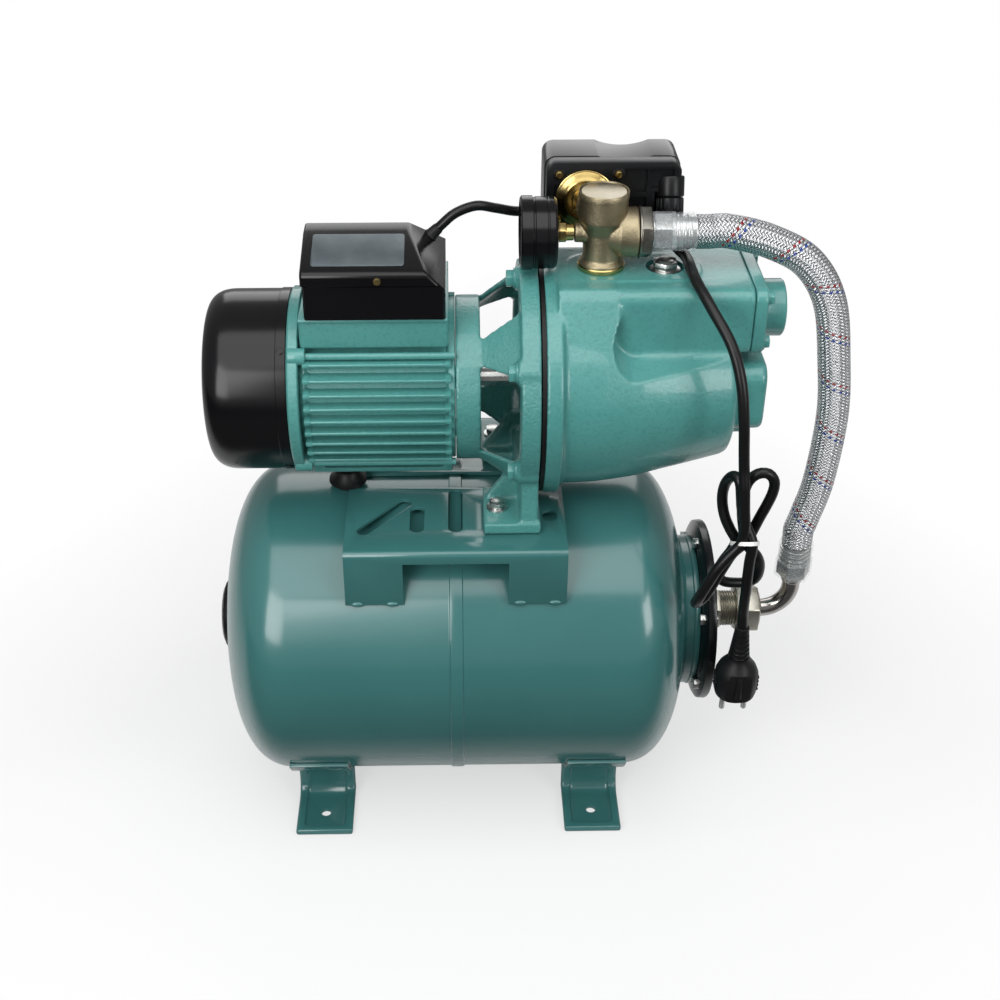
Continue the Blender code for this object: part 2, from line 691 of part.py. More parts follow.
def make_pump_plate(name, side):
    """An L-shaped plate on the tank's crown, with slots and two legs turned down to the tank."""
    inner_y = side * PLATE_INNER_Y
    outer_y = side * (PLATE_INNER_Y + PLATE_DEPTH)
    half = PLATE_LENGTH / 2
    plate = block(name, (-half, half), sorted((inner_y, outer_y)), (PLATE_BOTTOM_Z, PLATE_TOP_Z))
    leg_inner = PLATE_INNER_Y + PLATE_DEPTH - PLATE_SHEET
    leg_bottom = TANK_AXIS_Z + math.sqrt((TANK_RADIUS + 2 * FIT) ** 2 - leg_inner ** 2)
    leg_y = sorted((side * leg_inner, outer_y))
    lip = block(name + "_lip", (-half, half), leg_y, (PLATE_BOTTOM_Z - PLATE_LIP, PLATE_BOTTOM_Z + 0.001))
    join(plate, lip)
    for end in (-1, 1):
        leg_x = sorted((end * half, end * (half - PLATE_LEG_WIDTH)))
        join(plate, block(name + "_leg", leg_x, leg_y, (leg_bottom, PLATE_BOTTOM_Z + 0.001)))
    middle = inner_y + side * 0.036
    slots = [((0, inner_y + side * 0.010), (0, inner_y + side * 0.062))]
    for end in (-1, 1):
        slots.append(((end * 0.032, middle), (end * 0.032, inner_y + side * 0.062)))
    slots.append(((-0.074, inner_y + side * 0.062), (-0.045, inner_y + side * 0.026)))
    slots.append(((0.079, inner_y + side * 0.042), (0.079, inner_y + side * 0.047)))
    for start, end in slots:
        outline = slot_outline(start, end, PLATE_SLOT_WIDTH)
        cut(plate, extruded(name + "_slot", outline, "Z", PLATE_BOTTOM_Z - 0.004, PLATE_TOP_Z + 0.004))
    bolt_x = foot_middle_x()
    bolt_y = side * FOOT_BOLT_Y
    bolt_hole = rod(
        name + "_bolt_hole", (bolt_x, bolt_y, PLATE_BOTTOM_Z - 0.01), (bolt_x, bolt_y, PLATE_TOP_Z + 0.01),
        FOOT_BOLT_RADIUS + FIT, ROUND_SMALL,
    )
    seam = rod(
        name + "_seam", (-BEAD_WIDTH, 0, TANK_AXIS_Z), (BEAD_WIDTH, 0, TANK_AXIS_Z),
        TANK_RADIUS + BEAD_HEIGHT + FIT, 96,
    )
    return cut(plate, bolt_hole, seam)


def make_tank_flange():
    """The dished steel flange that closes the neck, with its studs and threaded hub."""
    start = FLANGE_X
    rim_start = start + FLANGE_SHEET
    flange = turned(
        "tank_flange",
        [(start, PIPE_THREAD_RADIUS + FIT), (start, NECK_RADIUS), (rim_start, NECK_RADIUS + 0.003),
         (rim_start, FLANGE_RADIUS - 0.002), (rim_start + 0.002, FLANGE_RADIUS),
         (rim_start + FLANGE_RIM - FLANGE_SHEET, FLANGE_RADIUS), (rim_start + FLANGE_RIM - FLANGE_SHEET, 0.075),
         (rim_start + 0.001, 0.062), (rim_start + 0.001, 0.034), (HUB_END_X - 0.008, HUB_RADIUS),
         (HUB_END_X, HUB_RADIUS), (HUB_END_X, PIPE_THREAD_RADIUS + FIT)],
        centre=(0, 0, TANK_AXIS_Z), steps=ROUND_LARGE,
    )
    for y, z in ring_places(6, 0.050, 30):
        place = (rim_start, y, TANK_AXIS_Z + z)
        join(flange, hex_head("flange_bolt", place, (rim_start + 0.0065, y, place[2]), 0.0062))
    return flange


def make_nipple():
    """The threaded pipe between the tank flange and the hose elbow."""
    hex_start = HUB_END_X + FIT
    tip = NUT_END_X - 0.0095
    profile = [
        (FLANGE_X + 0.004, PIPE_THREAD_RADIUS), (tip, PIPE_THREAD_RADIUS), (tip, 0.0125), (FLANGE_X + 0.004, 0.0125),
    ]
    nipple = turned("flange_nipple", profile, centre=(0, 0, TANK_AXIS_Z), steps=ROUND_MEDIUM)
    collar = hex_head("nipple_hex", (hex_start, 0, TANK_AXIS_Z), (hex_start + 0.006, 0, TANK_AXIS_Z), 0.0195)
    cut(collar, rod("nipple_bore", (hex_start - 0.01, 0, TANK_AXIS_Z), (hex_start + 0.02, 0, TANK_AXIS_Z), 0.014, ROUND_MEDIUM))
    return join(nipple, collar)


def make_elbow():
    """The chromed elbow from the hose down to the nipple, with its sealing collar."""
    face_x = NUT_END_X - 0.0092
    path = [(ELBOW_TOP_X, 0, ELBOW_TOP_Z), (ELBOW_TOP_X, 0, TANK_AXIS_Z + ELBOW_BEND)]
    bend = arc((ELBOW_TURN_X, TANK_AXIS_Z + ELBOW_BEND), ELBOW_BEND, 0, -90, 6)
    path += [(x, 0, z) for x, z in bend[1:]]
    path.append((face_x, 0, TANK_AXIS_Z))
    elbow = mesh_tube("elbow", path, ELBOW_TUBE_RADIUS, ROUND_SMALL)
    collar = rod("elbow_collar", (face_x, 0, TANK_AXIS_Z), (face_x + 0.006, 0, TANK_AXIS_Z), 0.0155, ROUND_MEDIUM)
    return join(elbow, collar)


def make_elbow_nut():
    """The swivel nut that draws the elbow onto the nipple."""
    inner_end = NUT_END_X - 0.0028
    nut = hex_head("elbow_nut", (NUT_X, 0, TANK_AXIS_Z), (NUT_END_X, 0, TANK_AXIS_Z), ELBOW_NUT_RADIUS)
    thread = rod(
        "nut_thread", (NUT_X - 0.01, 0, TANK_AXIS_Z), (inner_end, 0, TANK_AXIS_Z), PIPE_THREAD_RADIUS + FIT, ROUND_MEDIUM,
    )
    passage = rod(
        "nut_passage", (NUT_X, 0, TANK_AXIS_Z), (NUT_END_X + 0.01, 0, TANK_AXIS_Z), ELBOW_TUBE_RADIUS + FIT, ROUND_MEDIUM,
    )
    return cut(nut, thread, passage)


def hose_route():
    """The hose's centre line from the upper ferrule round to the lower one."""
    points = [
        (HOSE_START_X, PORT_Z), (HOSE_START_X + 0.010, PORT_Z), (HOSE_START_X + 0.026, PORT_Z),
        (0.2500, PORT_Z - 0.0085), (0.2830, PORT_Z - 0.0270), (0.3050, PORT_Z - 0.062), (0.3155, PORT_Z - 0.115),
        (HOSE_BULGE_X, PORT_Z - 0.168), (0.3180, PORT_Z - 0.232), (0.3105, PORT_Z - 0.270),
        (ELBOW_TOP_X, HOSE_END_Z + 0.014), (ELBOW_TOP_X, HOSE_END_Z + 0.008), (ELBOW_TOP_X, HOSE_END_Z),
    ]
    return [(x, 0, z) for x, z in points]


def make_hose_set():
    """The braided hose with its two ferrules and its upper nut."""
    hose = tube("hose", smooth_path(hose_route(), 0.022), HOSE_RADIUS, resolution=4)
    nut = hex_head("hose_nut_upper", (HOSE_NUT_X, 0, PORT_Z), (HOSE_NUT_X + HOSE_NUT_LENGTH, 0, PORT_Z), HOSE_NUT_RADIUS)
    spigot = rod("nut_spigot", (HOSE_NUT_X - 0.0095, 0, PORT_Z), (HOSE_NUT_X + 0.002, 0, PORT_Z), 0.0155, ROUND_MEDIUM)
    join(nut, spigot)
    grooves = [
        (0, FERRULE_RADIUS), (0.30, FERRULE_RADIUS), (0.34, FERRULE_RADIUS - 0.001), (0.42, FERRULE_RADIUS - 0.001),
        (0.46, FERRULE_RADIUS), (1.0, FERRULE_RADIUS),
    ]
    upper = solid_turned(
        "hose_ferrule_upper", [(FERRULE_X + share * FERRULE_LENGTH, radius) for share, radius in grooves],
        centre=(0, 0, PORT_Z), steps=ROUND_MEDIUM,
    )
    lower = solid_turned(
        "hose_ferrule_lower", [(LOWER_FERRULE_Z + share * FERRULE_LENGTH, radius) for share, radius in grooves],
        axis="Z", centre=(ELBOW_TOP_X, 0, 0), steps=ROUND_MEDIUM,
    )
    return hose, nut, upper, lower


def make_fitting():
    """The brass five way fitting: outlet, top port, hose port, gauge port and switch port."""
    stub = 0.014
    body = solid_turned(
        "five_way_fitting",
        [(-stub, OUTLET_BORE_RADIUS - FIT), (0, OUTLET_BORE_RADIUS - FIT), (0, FITTING_COLLAR_RADIUS),
         (0.006, FITTING_COLLAR_RADIUS), (0.008, FITTING_WAIST_RADIUS + 0.001), (0.030, FITTING_WAIST_RADIUS),
         (0.040, FITTING_HEAD_RADIUS), (FITTING_HEIGHT, FITTING_HEAD_RADIUS)],
        axis="Z", centre=(OUTLET_X, 0, FITTING_Z), steps=ROUND_MEDIUM,
    )
    side = rod("side_port", (OUTLET_X, 0, PORT_Z), (OUTLET_X + SIDE_PORT_REACH, 0, PORT_Z), SIDE_PORT_RADIUS, ROUND_MEDIUM)
    gauge = rod("gauge_port", (OUTLET_X, 0, PORT_Z), (OUTLET_X - GAUGE_PORT_REACH, 0, PORT_Z), SMALL_PORT_RADIUS, ROUND_SMALL)
    switch = rod("switch_port", (SWITCH_X, 0, SWITCH_Z), (SWITCH_X, SWITCH_PORT_REACH, SWITCH_Z), SMALL_PORT_RADIUS, ROUND_SMALL)
    join(body, side, gauge, switch)
    socket = rod(
        "side_socket", (OUTLET_X + SIDE_PORT_REACH - 0.011, 0, PORT_Z), (OUTLET_X + SIDE_PORT_REACH + 0.01, 0, PORT_Z),
        0.0155 + FIT, ROUND_MEDIUM,
    )
    top = rod(
        "top_socket", (OUTLET_X, 0, FITTING_TOP_Z - 0.009), (OUTLET_X, 0, FITTING_TOP_Z + 0.01), 0.0165 + FIT, ROUND_MEDIUM,
    )
    bore = rod("outlet_bore", (OUTLET_X, 0, FITTING_Z - 0.03), (OUTLET_X, 0, FITTING_Z + 0.048), 0.0105, ROUND_SMALL)
    return cut(body, socket, top, bore)


def make_outlet_cap():
    """The flat cap that closes the top port."""
    return solid_turned(
        "outlet_cap",
        [(FITTING_TOP_Z - 0.0087, 0.0165), (FITTING_TOP_Z - 0.0015, 0.0165), (FITTING_TOP_Z - 0.0008, 0.0158)],
        axis="Z", centre=(OUTLET_X, 0, 0), steps=ROUND_MEDIUM,
    )


def make_gauge():
    """The pressure gauge: case, dial, pointer on its arbor, window and threaded stem."""
    wall = 0.002
    inner = GAUGE_RADIUS - wall
    dial_x = GAUGE_BACK_X - 0.009
    lens_x = GAUGE_FRONT_X + 0.0045
    centre = (0, 0, PORT_Z)
    case = turned(
        "gauge_case",
        [(GAUGE_BACK_X, 0.0), (GAUGE_BACK_X, GAUGE_RADIUS - 0.002), (GAUGE_BACK_X - 0.002, GAUGE_RADIUS),
         (GAUGE_FRONT_X + 0.0105, GAUGE_RADIUS), (GAUGE_FRONT_X + 0.0100, GAUGE_RADIUS + 0.0008),
         (GAUGE_FRONT_X, GAUGE_RADIUS + 0.0008), (GAUGE_FRONT_X, inner - 0.002), (GAUGE_FRONT_X + 0.0025, inner - 0.002),
         (GAUGE_FRONT_X + 0.0025, inner), (dial_x + FIT, inner), (dial_x + FIT, 0.006), (GAUGE_BACK_X - wall, 0.006),
         (GAUGE_BACK_X - wall, 0.0)],
        centre=centre, steps=ROUND_MEDIUM, closed=False,
    )
    dial = turned(
        "gauge_dial", [(dial_x - 0.001, inner - FIT), (dial_x, inner - FIT), (dial_x, 0.002), (dial_x - 0.001, 0.002)],
        centre=centre, steps=ROUND_MEDIUM,
    )
    pointer = solid_turned(
        "gauge_pointer",
        [(dial_x - 0.0030, 0.0028), (dial_x - 0.0014, 0.0028), (dial_x - 0.0014, 0.0012),
         (GAUGE_BACK_X - wall - FIT, 0.0012)],
        centre=centre, steps=ROUND_TINY,
    )
    needle = extruded(
        "needle", [(0.0, -0.0008), (0.019, -0.0003), (0.019, 0.0003), (0.0, 0.0008), (-0.007, 0.0015), (-0.007, -0.0015)],
        "X", dial_x - 0.0026, dial_x - 0.0018,
    )
    needle.data.transform(Matrix.Translation(centre) @ Matrix.Rotation(math.radians(225), 4, "X"))
    join(pointer, needle)
    set_origin(pointer, (dial_x, 0, PORT_Z))
    lens_profile = [(lens_x - 0.0017, inner - FIT), (lens_x, inner - FIT)]
    lens = solid_turned("gauge_lens", lens_profile, centre=centre, steps=ROUND_MEDIUM)
    stem_start = GAUGE_BACK_X + FIT
    stem = hex_head("gauge_stem", (stem_start, 0, PORT_Z), (stem_start + 0.007, 0, PORT_Z), 0.0082)
    neck = rod("stem_neck", (stem_start + 0.005, 0, PORT_Z), (GAUGE_STEM_X, 0, PORT_Z), 0.0062, ROUND_SMALL)
    join(stem, neck)
    return case, dial, pointer, lens, stem


def gland_axis():
    """The top of the cord's gland and the way it points, down and a little forward."""
    top = Vector((SWITCH_RIGHT_X - GLAND_INSET, SWITCH_BASE_Y + GLAND_TOP_Y, SWITCH_Z - GLAND_TOP_DROP))
    tilt = math.radians(GLAND_TILT)
    return top, Vector((0, -math.sin(tilt), -math.cos(tilt)))


def make_switch():
    """The pressure switch: zinc flange, base, lever on its pivot, spring and cover."""
    left = SWITCH_X + SWITCH_LEFT
    right = left + SWITCH_LENGTH
    low = SWITCH_Z + SWITCH_BOTTOM
    high = low + SWITCH_HEIGHT
    base_back = SWITCH_BASE_Y + SWITCH_BASE_DEPTH
    centre = (SWITCH_X, 0, SWITCH_Z)
    flange = solid_turned(
        "switch_flange",
        [(SWITCH_FLANGE_Y, 0.0105), (SWITCH_FLANGE_Y + 0.002, 0.0115), (SWITCH_FLANGE_Y + 0.003, 0.019),
         (SWITCH_FLANGE_Y + 0.005, SWITCH_FLANGE_RADIUS), (SWITCH_FLANGE_Y + SWITCH_FLANGE_DEPTH, SWITCH_FLANGE_RADIUS)],
        axis="Y", centre=centre, steps=ROUND_LARGE,
    )
    notch = (right - NOTCH_LENGTH, SWITCH_Z + NOTCH_DROP)
    base = extruded("switch_base", notched_rectangle((left, low), (right, high), notch, 0.008), "Y", SWITCH_BASE_Y, base_back)
    tray_low = (left + SWITCH_WALL, low + SWITCH_WALL)
    tray_high = (right - SWITCH_WALL, high - SWITCH_WALL)
    tray_notch = (notch[0] - SWITCH_WALL, notch[1] + SWITCH_WALL)
    tray = extruded(
        "switch_tray", notched_rectangle(tray_low, tray_high, tray_notch, 0.006), "Y", SWITCH_BASE_Y + 0.004,
        base_back + 0.01,
    )
    cut(base, tray)
    pivot_x = right - 0.030
    lever_y = base_back + 0.012
    for z in (SWITCH_Z - 0.016, SWITCH_Z + 0.016):
        ear = block(
            "lever_ear", (pivot_x - 0.004, pivot_x + 0.004), (SWITCH_BASE_Y + 0.002, lever_y + 0.004), (z - 0.002, z + 0.002),
        )
        join(base, ear)
    gland_top, gland_line = gland_axis()
    boss = rod(
        "cord_boss", gland_top - FIT * gland_line, gland_top - 0.017 * gland_line, GLAND_RADIUS - 0.0006, ROUND_SMALL,
    )
    cut(boss, block("boss_end", (left, right + 0.02), (base_back, base_back + 0.02), (low, high)))
    stub_left = rod(
        "lead_gland", (left + 0.004, LEAD_GLAND_Y, LEAD_GLAND_Z), (left - LEAD_GLAND_LENGTH, LEAD_GLAND_Y, LEAD_GLAND_Z),
        LEAD_GLAND_RADIUS, ROUND_SMALL,
    )
    join(base, boss, stub_left)
    screws = [
        rod("base_screw", (x, SWITCH_BASE_Y - 0.002, z), (x, SWITCH_BASE_Y + 0.001, z), 0.0032, ROUND_TINY)
        for x in (left + 0.010, left + 0.057) for z in (low + 0.009, high - 0.009)
    ]
    join(base, *screws)
    gland = solid_turned(
        "switch_gland_right",
        [(-GLAND_LENGTH, 0.0066), (-0.015, 0.0085), (-0.014, GLAND_RADIUS), (0, GLAND_RADIUS)], steps=ROUND_SMALL, axis="Z",
    )
    tilt = Matrix.Rotation(-math.radians(GLAND_TILT), 4, "X")
    gland.data.transform(Matrix.Translation(gland_top) @ tilt)
    spring_x = SWITCH_X + 0.006
    spring_end = lever_y - 0.0035 - FIT
    turns = 4
    start = SWITCH_BASE_Y + 0.004 + FIT
    rings = []
    for index in range(turns):
        low_y = start + (spring_end - start) * index / turns
        step = (spring_end - start) / turns
        rings += [(low_y, 0.0075), (low_y + 0.25 * step, 0.009), (low_y + 0.6 * step, 0.009), (low_y + 0.85 * step, 0.0075)]
    rings.append((spring_end, 0.0075))
    spring = solid_turned("switch_spring", rings, axis="Y", centre=(spring_x, 0, SWITCH_Z), steps=ROUND_TINY)
    lever = block(
        "switch_lever", (spring_x - 0.012, pivot_x - 0.0045), (lever_y - 0.003, lever_y - 0.001),
        (SWITCH_Z - 0.012, SWITCH_Z + 0.012),
    )
    hub = rod(
        "lever_hub", (pivot_x, lever_y, SWITCH_Z - 0.0137), (pivot_x, lever_y, SWITCH_Z + 0.0137), 0.0035, ROUND_SMALL,
    )
    arm = block(
        "lever_arm", (pivot_x - 0.008, pivot_x), (lever_y - 0.003, lever_y - 0.001),
        (SWITCH_Z - 0.012, SWITCH_Z + 0.012),
    )
    join(lever, arm, hub)
    set_origin(lever, (pivot_x, lever_y, SWITCH_Z))
    cover_back = SWITCH_COVER_Y + SWITCH_COVER_DEPTH
    hump = 0.0045
    outline = rounded_rectangle((left - 0.001, low - 0.001), (right + 0.001, high), 0.009)
    cover = extruded("switch_cover", outline, "Y", SWITCH_COVER_Y, cover_back)
    dip = rod(
        "cover_dip", ((left + right) / 2 + 0.010, SWITCH_COVER_Y - 0.01, high + 0.052),
        ((left + right) / 2 + 0.010, cover_back + 0.01, high + 0.052), 0.052 + hump, ROUND_LARGE,
    )
    cut(cover, dip)
    soften(cover, 0.004, 2, 60)
    inner = extruded(
        "cover_inner",
        rounded_rectangle(tray_low, (tray_high[0], tray_high[1] - hump), 0.006), "Y",
        SWITCH_COVER_Y - 0.01, cover_back - 0.003,
    )
    cut(cover, inner)
    return flange, base, gland, spring, lever, cover


def make_fan_cover():
    """The black fan cover with its rounded rear edge and air slots."""
    inner = FAN_COVER_RADIUS - FAN_COVER_WALL
    rear = FAN_COVER_REAR_X
    front = FAN_COVER_FRONT_X
    outer_profile = [
        (rear, 0.0), (rear, FAN_COVER_RADIUS - 0.0165), (rear + 0.0025, FAN_COVER_RADIUS - 0.0095),
        (rear + 0.0085, FAN_COVER_RADIUS - 0.0030), (rear + 0.017, FAN_COVER_RADIUS), (front, FAN_COVER_RADIUS),
    ]
    inner_profile = [
        (front, inner), (rear + 0.018, inner), (rear + 0.0095, inner - 0.0032), (rear + 0.0042, inner - 0.0095),
        (rear + FAN_COVER_WALL, FAN_COVER_RADIUS - 0.0180), (rear + FAN_COVER_WALL, 0.0),
    ]
    cover = turned(
        "fan_cover", outer_profile + inner_profile, centre=(0, 0, AXIS_Z), steps=ROUND_LARGE, closed=False,
    )
    for row in range(-3, 3):
        z = (row + 0.5) * 0.0135
        half = math.sqrt(max(0.0, 0.043 ** 2 - z ** 2))
        outline = slot_outline((-half, AXIS_Z + z), (half, AXIS_Z + z), 0.005, 2)
        cut(cover, extruded("fan_slot", outline, "X", rear - 0.005, rear + 0.008))
    return cover


def make_end_shield():
    """The rear end shield with its bearing seat and the four tie rods screwed into it."""
    bearing_back = SHIELD_FRONT_X - 0.002 - BEARING_WIDTH
    seat = BEARING_RADIUS + FIT
    spigot = FAN_COVER_RADIUS - FAN_COVER_WALL - FIT
    shield = turned(
        "end_shield",
        [(SHIELD_FRONT_X, SHIELD_RIM_RADIUS), (SHIELD_REAR_X, SHIELD_RIM_RADIUS), (SHIELD_REAR_X, spigot),
         (SHIELD_REAR_X - 0.008, spigot), (SHIELD_REAR_X - 0.008, spigot - 0.004), (SHIELD_REAR_X, spigot - 0.006),
         (SHIELD_REAR_X, seat + 0.005), (bearing_back - 0.003, seat + 0.004), (bearing_back - 0.003, 0.0105),
         (bearing_back - FIT, 0.0105), (bearing_back - FIT, seat), (SHIELD_FRONT_X - 0.001, seat),
         (SHIELD_FRONT_X - 0.001, seat + 0.006), (SHIELD_REAR_X + 0.005, seat + 0.008),
         (SHIELD_REAR_X + 0.005, HOUSING_CORE_RADIUS - HOUSING_WALL), (SHIELD_FRONT_X, HOUSING_CORE_RADIUS - HOUSING_WALL)],
        centre=(0, 0, AXIS_Z), steps=ROUND_LARGE,
    )
    for y in (-TIE_ROD_Y, TIE_ROD_Y):
        for z in (-TIE_ROD_Z, TIE_ROD_Z):
            tie = rod(
                "tie_rod", (SHIELD_FRONT_X - 0.004, y, AXIS_Z + z), (BRACKET_REAR_X - FIT, y, AXIS_Z + z), TIE_ROD_RADIUS, ROUND_TINY,
            )
            join(shield, tie)
    return shield


def make_motor_housing():
    """The finned motor housing, with a pad for the terminal box above and a base pad below."""
    front = HOUSING_FRONT_X
    rear = HOUSING_REAR_X
    housing = rod("motor_housing", (rear, 0, AXIS_Z), (front, 0, AXIS_Z), HOUSING_CORE_RADIUS, ROUND_LARGE)
    for index in range(FIN_COUNT):
        z = (index - (FIN_COUNT - 1) / 2) * FIN_PITCH
        half = math.sqrt(FIN_TIP_RADIUS ** 2 - z ** 2)
        fin = block(
            "fin", (rear + 0.003, front - 0.003), (-half, half),
            (AXIS_Z + z - FIN_THICKNESS / 2, AXIS_Z + z + FIN_THICKNESS / 2),
        )
        join(housing, fin)
    box_pad = block(
        "box_pad", (rear + 0.0015, front - 0.005), (-BOX_PAD_HALF_WIDTH, BOX_PAD_HALF_WIDTH),
        (AXIS_Z + TIE_ROD_Z + TIE_ROD_RADIUS + 0.002, AXIS_Z + BOX_PAD_TOP),
    )
    base_pad = block(
        "base_pad", (rear + 0.003, front - 0.003), (-BASE_PAD_HALF_WIDTH, BASE_PAD_HALF_WIDTH),
        (AXIS_Z - BASE_PAD_DROP, AXIS_Z - 0.040),
    )
    window = block(
        "base_window", (rear + 0.011, front - 0.011), (-2 * BASE_PAD_HALF_WIDTH, 2 * BASE_PAD_HALF_WIDTH),
        (AXIS_Z - BASE_PAD_DROP + 0.004, AXIS_Z - HOUSING_CORE_RADIUS - 0.001),
    )
    join(housing, box_pad, cut(base_pad, window))
    bore = rod(
        "housing_bore", (rear - 0.01, 0, AXIS_Z), (front + 0.01, 0, AXIS_Z), HOUSING_CORE_RADIUS - HOUSING_WALL, ROUND_LARGE,
    )
    passage = rod("lead_passage", (rear + 0.030, 0, AXIS_Z), (rear + 0.030, 0, AXIS_Z + 0.1), 0.012, ROUND_SMALL)
    return cut(housing, bore, passage)


def make_motor_inside():
    """Stator, rotor core, shaft, two bearings and the cooling fan."""
    centre = (0, 0, AXIS_Z)
    bore = HOUSING_CORE_RADIUS - HOUSING_WALL - FIT
    middle = (HOUSING_REAR_X + HOUSING_FRONT_X) / 2
    low = middle - STATOR_LENGTH / 2
    high = middle + STATOR_LENGTH / 2
    stator_bore = ROTOR_RADIUS + AIR_GAP
    stator = turned(
        "stator",
        [(low, bore), (high, bore), (high, bore - 0.006), (high + 0.014, bore - 0.008), (high + 0.014, stator_bore + 0.004),
         (high, stator_bore + 0.002), (high, stator_bore), (low, stator_bore), (low, stator_bore + 0.002),
         (low - 0.014, stator_bore + 0.004), (low - 0.014, bore - 0.008), (low, bore - 0.006)],
        centre=centre, steps=ROUND_LARGE,
    )
    core = turned(
        "rotor_core",
        [(low - 0.004, 0.024), (low, 0.024), (low, ROTOR_RADIUS), (high, ROTOR_RADIUS), (high, 0.024), (high + 0.004, 0.024),
         (high + 0.004, SHAFT_RADIUS + 0.002 + FIT), (low - 0.004, SHAFT_RADIUS + 0.002 + FIT)],
        centre=centre, steps=ROUND_MEDIUM,
    )
    rear_in = SHIELD_FRONT_X - 0.002
    bearings = []
    for name, start in (("rear_bearing", rear_in - BEARING_WIDTH), ("front_bearing", BRACKET_REAR_X + FIT)):
        end = start + BEARING_WIDTH
        groove = (BEARING_RADIUS + SHAFT_RADIUS) / 2
        bearing = turned(
            name,
            [(start, BEARING_RADIUS), (end, BEARING_RADIUS), (end, groove + 0.002), (end - 0.001, groove),
             (end, groove - 0.002), (end, SHAFT_RADIUS + FIT), (start, SHAFT_RADIUS + FIT), (start, groove - 0.002),
             (start + 0.001, groove), (start, groove + 0.002)],
            centre=centre, steps=ROUND_SMALL,
        )
        bearings.append(bearing)
    fan_hub = SHIELD_REAR_X - 0.030
    shaft_rear = fan_hub - 0.020
    impeller_x = impeller_back_x()
    tip = impeller_x + 0.024
    shaft = solid_turned(
        "shaft",
        [(shaft_rear, SHAFT_RADIUS - 0.001), (shaft_rear + 0.001, SHAFT_RADIUS), (rear_in + FIT, SHAFT_RADIUS),
         (rear_in + FIT, SHAFT_RADIUS + 0.002), (BRACKET_REAR_X, SHAFT_RADIUS + 0.002), (BRACKET_REAR_X, SHAFT_RADIUS),
         (impeller_x - FIT, SHAFT_RADIUS), (impeller_x - FIT, SHAFT_TIP_RADIUS), (tip, SHAFT_TIP_RADIUS)],
        centre=centre, steps=ROUND_SMALL,
    )
    set_origin(shaft, centre)
    fan = turned(
        "cooling_fan",
        [(fan_hub - 0.016, SHAFT_RADIUS + FIT), (fan_hub - 0.016, 0.014), (fan_hub - 0.003, 0.016), (fan_hub - 0.003, 0.040),
         (fan_hub, 0.040), (fan_hub, SHAFT_RADIUS + FIT)],
        centre=centre, steps=ROUND_MEDIUM,
    )
    for index in range(FAN_BLADES):
        blade = block("fan_blade", (fan_hub - 0.022, fan_hub - 0.001), (0.013, FAN_RADIUS), (-0.0011, 0.0011))
        blade.data.transform(Matrix.Translation(centre) @ Matrix.Rotation(math.tau * index / FAN_BLADES, 4, "X"))
        join(fan, blade)
    set_origin(fan, centre)
    set_origin(core, centre)
    return stator, core, shaft, bearings[0], bearings[1], fan


def hood_base_z():
    """The top of the housing's pad, where the terminal hood stands."""
    return AXIS_Z + BOX_PAD_TOP + FIT


def hood_end_x():
    """The hood's slanted end, at its foot."""
    return HOUSING_REAR_X + TERMINAL_INSET + TERMINAL_LENGTH


def make_terminal_cover():
    """The black terminal hood: a high front wall, a ridge, a lid that falls to the back and a slanted end."""
    low_x = HOUSING_REAR_X + TERMINAL_INSET
    high_x = hood_end_x()
    base_z = hood_base_z()
    front_z = base_z + TERMINAL_FRONT_HEIGHT
    back_z = base_z + TERMINAL_BACK_HEIGHT
    top_z = base_z + TERMINAL_HEIGHT

    def section(inset):
        front = TERMINAL_FRONT_Y + inset
        back = TERMINAL_BACK_Y - inset
        foot = base_z - 0.02 * (inset > 0)
        return [
            (front, foot), (back, foot), (back, back_z - inset), (0.010, top_z - inset), (-0.008, top_z - inset),
            (front + 0.004, front_z + 0.003 - inset), (front, front_z - inset),
        ]

    def slant(inset):
        rise = TERMINAL_SLANT
        return [
            (high_x - rise - 0.02 - inset, top_z + 0.02), (high_x + 0.02 - inset, top_z - rise - 0.02),
            (high_x + 0.04, top_z - rise - 0.02), (high_x + 0.04, top_z + 0.02),
        ]

    cover = extruded("terminal_cover", section(0), "X", low_x, high_x)
    cut(cover, extruded("front_slant", slant(0), "Y", -0.1, 0.1))
    soften(cover, 0.0018, 1, 30)
    hollow = extruded("cover_hollow", section(TERMINAL_WALL), "X", low_x + TERMINAL_WALL, high_x - TERMINAL_WALL)
    cut(hollow, extruded("hollow_slant", slant(1.5 * TERMINAL_WALL), "Y", -0.1, 0.1))
    cut(cover, hollow)
    inside, outside = (Vector(point) for point in lead_route()[:2])
    reach = 3 * (outside - inside)
    return cut(cover, rod("lead_hole", inside - reach, outside + reach, LEAD_RADIUS + FIT, ROUND_SMALL))


def make_terminal_parts():
    """The start capacitor and the terminal block under the hood."""
    pad_z = hood_base_z()
    radius = 0.0155
    start = HOUSING_REAR_X + 0.020
    capacitor = solid_turned(
        "capacitor", [(start, radius - 0.001), (start + 0.001, radius), (start + 0.062, radius), (start + 0.063, radius - 0.001)],
        centre=(0, -0.026, pad_z + radius), steps=ROUND_MEDIUM,
    )
    terminals = block("terminal_block", (start + 0.005, start + 0.055), (0.010, 0.034), (pad_z, pad_z + 0.012))
    for index in range(3):
        x = start + 0.014 + 0.016 * index
        join(terminals, rod("terminal_post", (x, 0.022, pad_z + 0.010), (x, 0.022, pad_z + 0.018), 0.003, ROUND_TINY))
    return capacitor, terminals


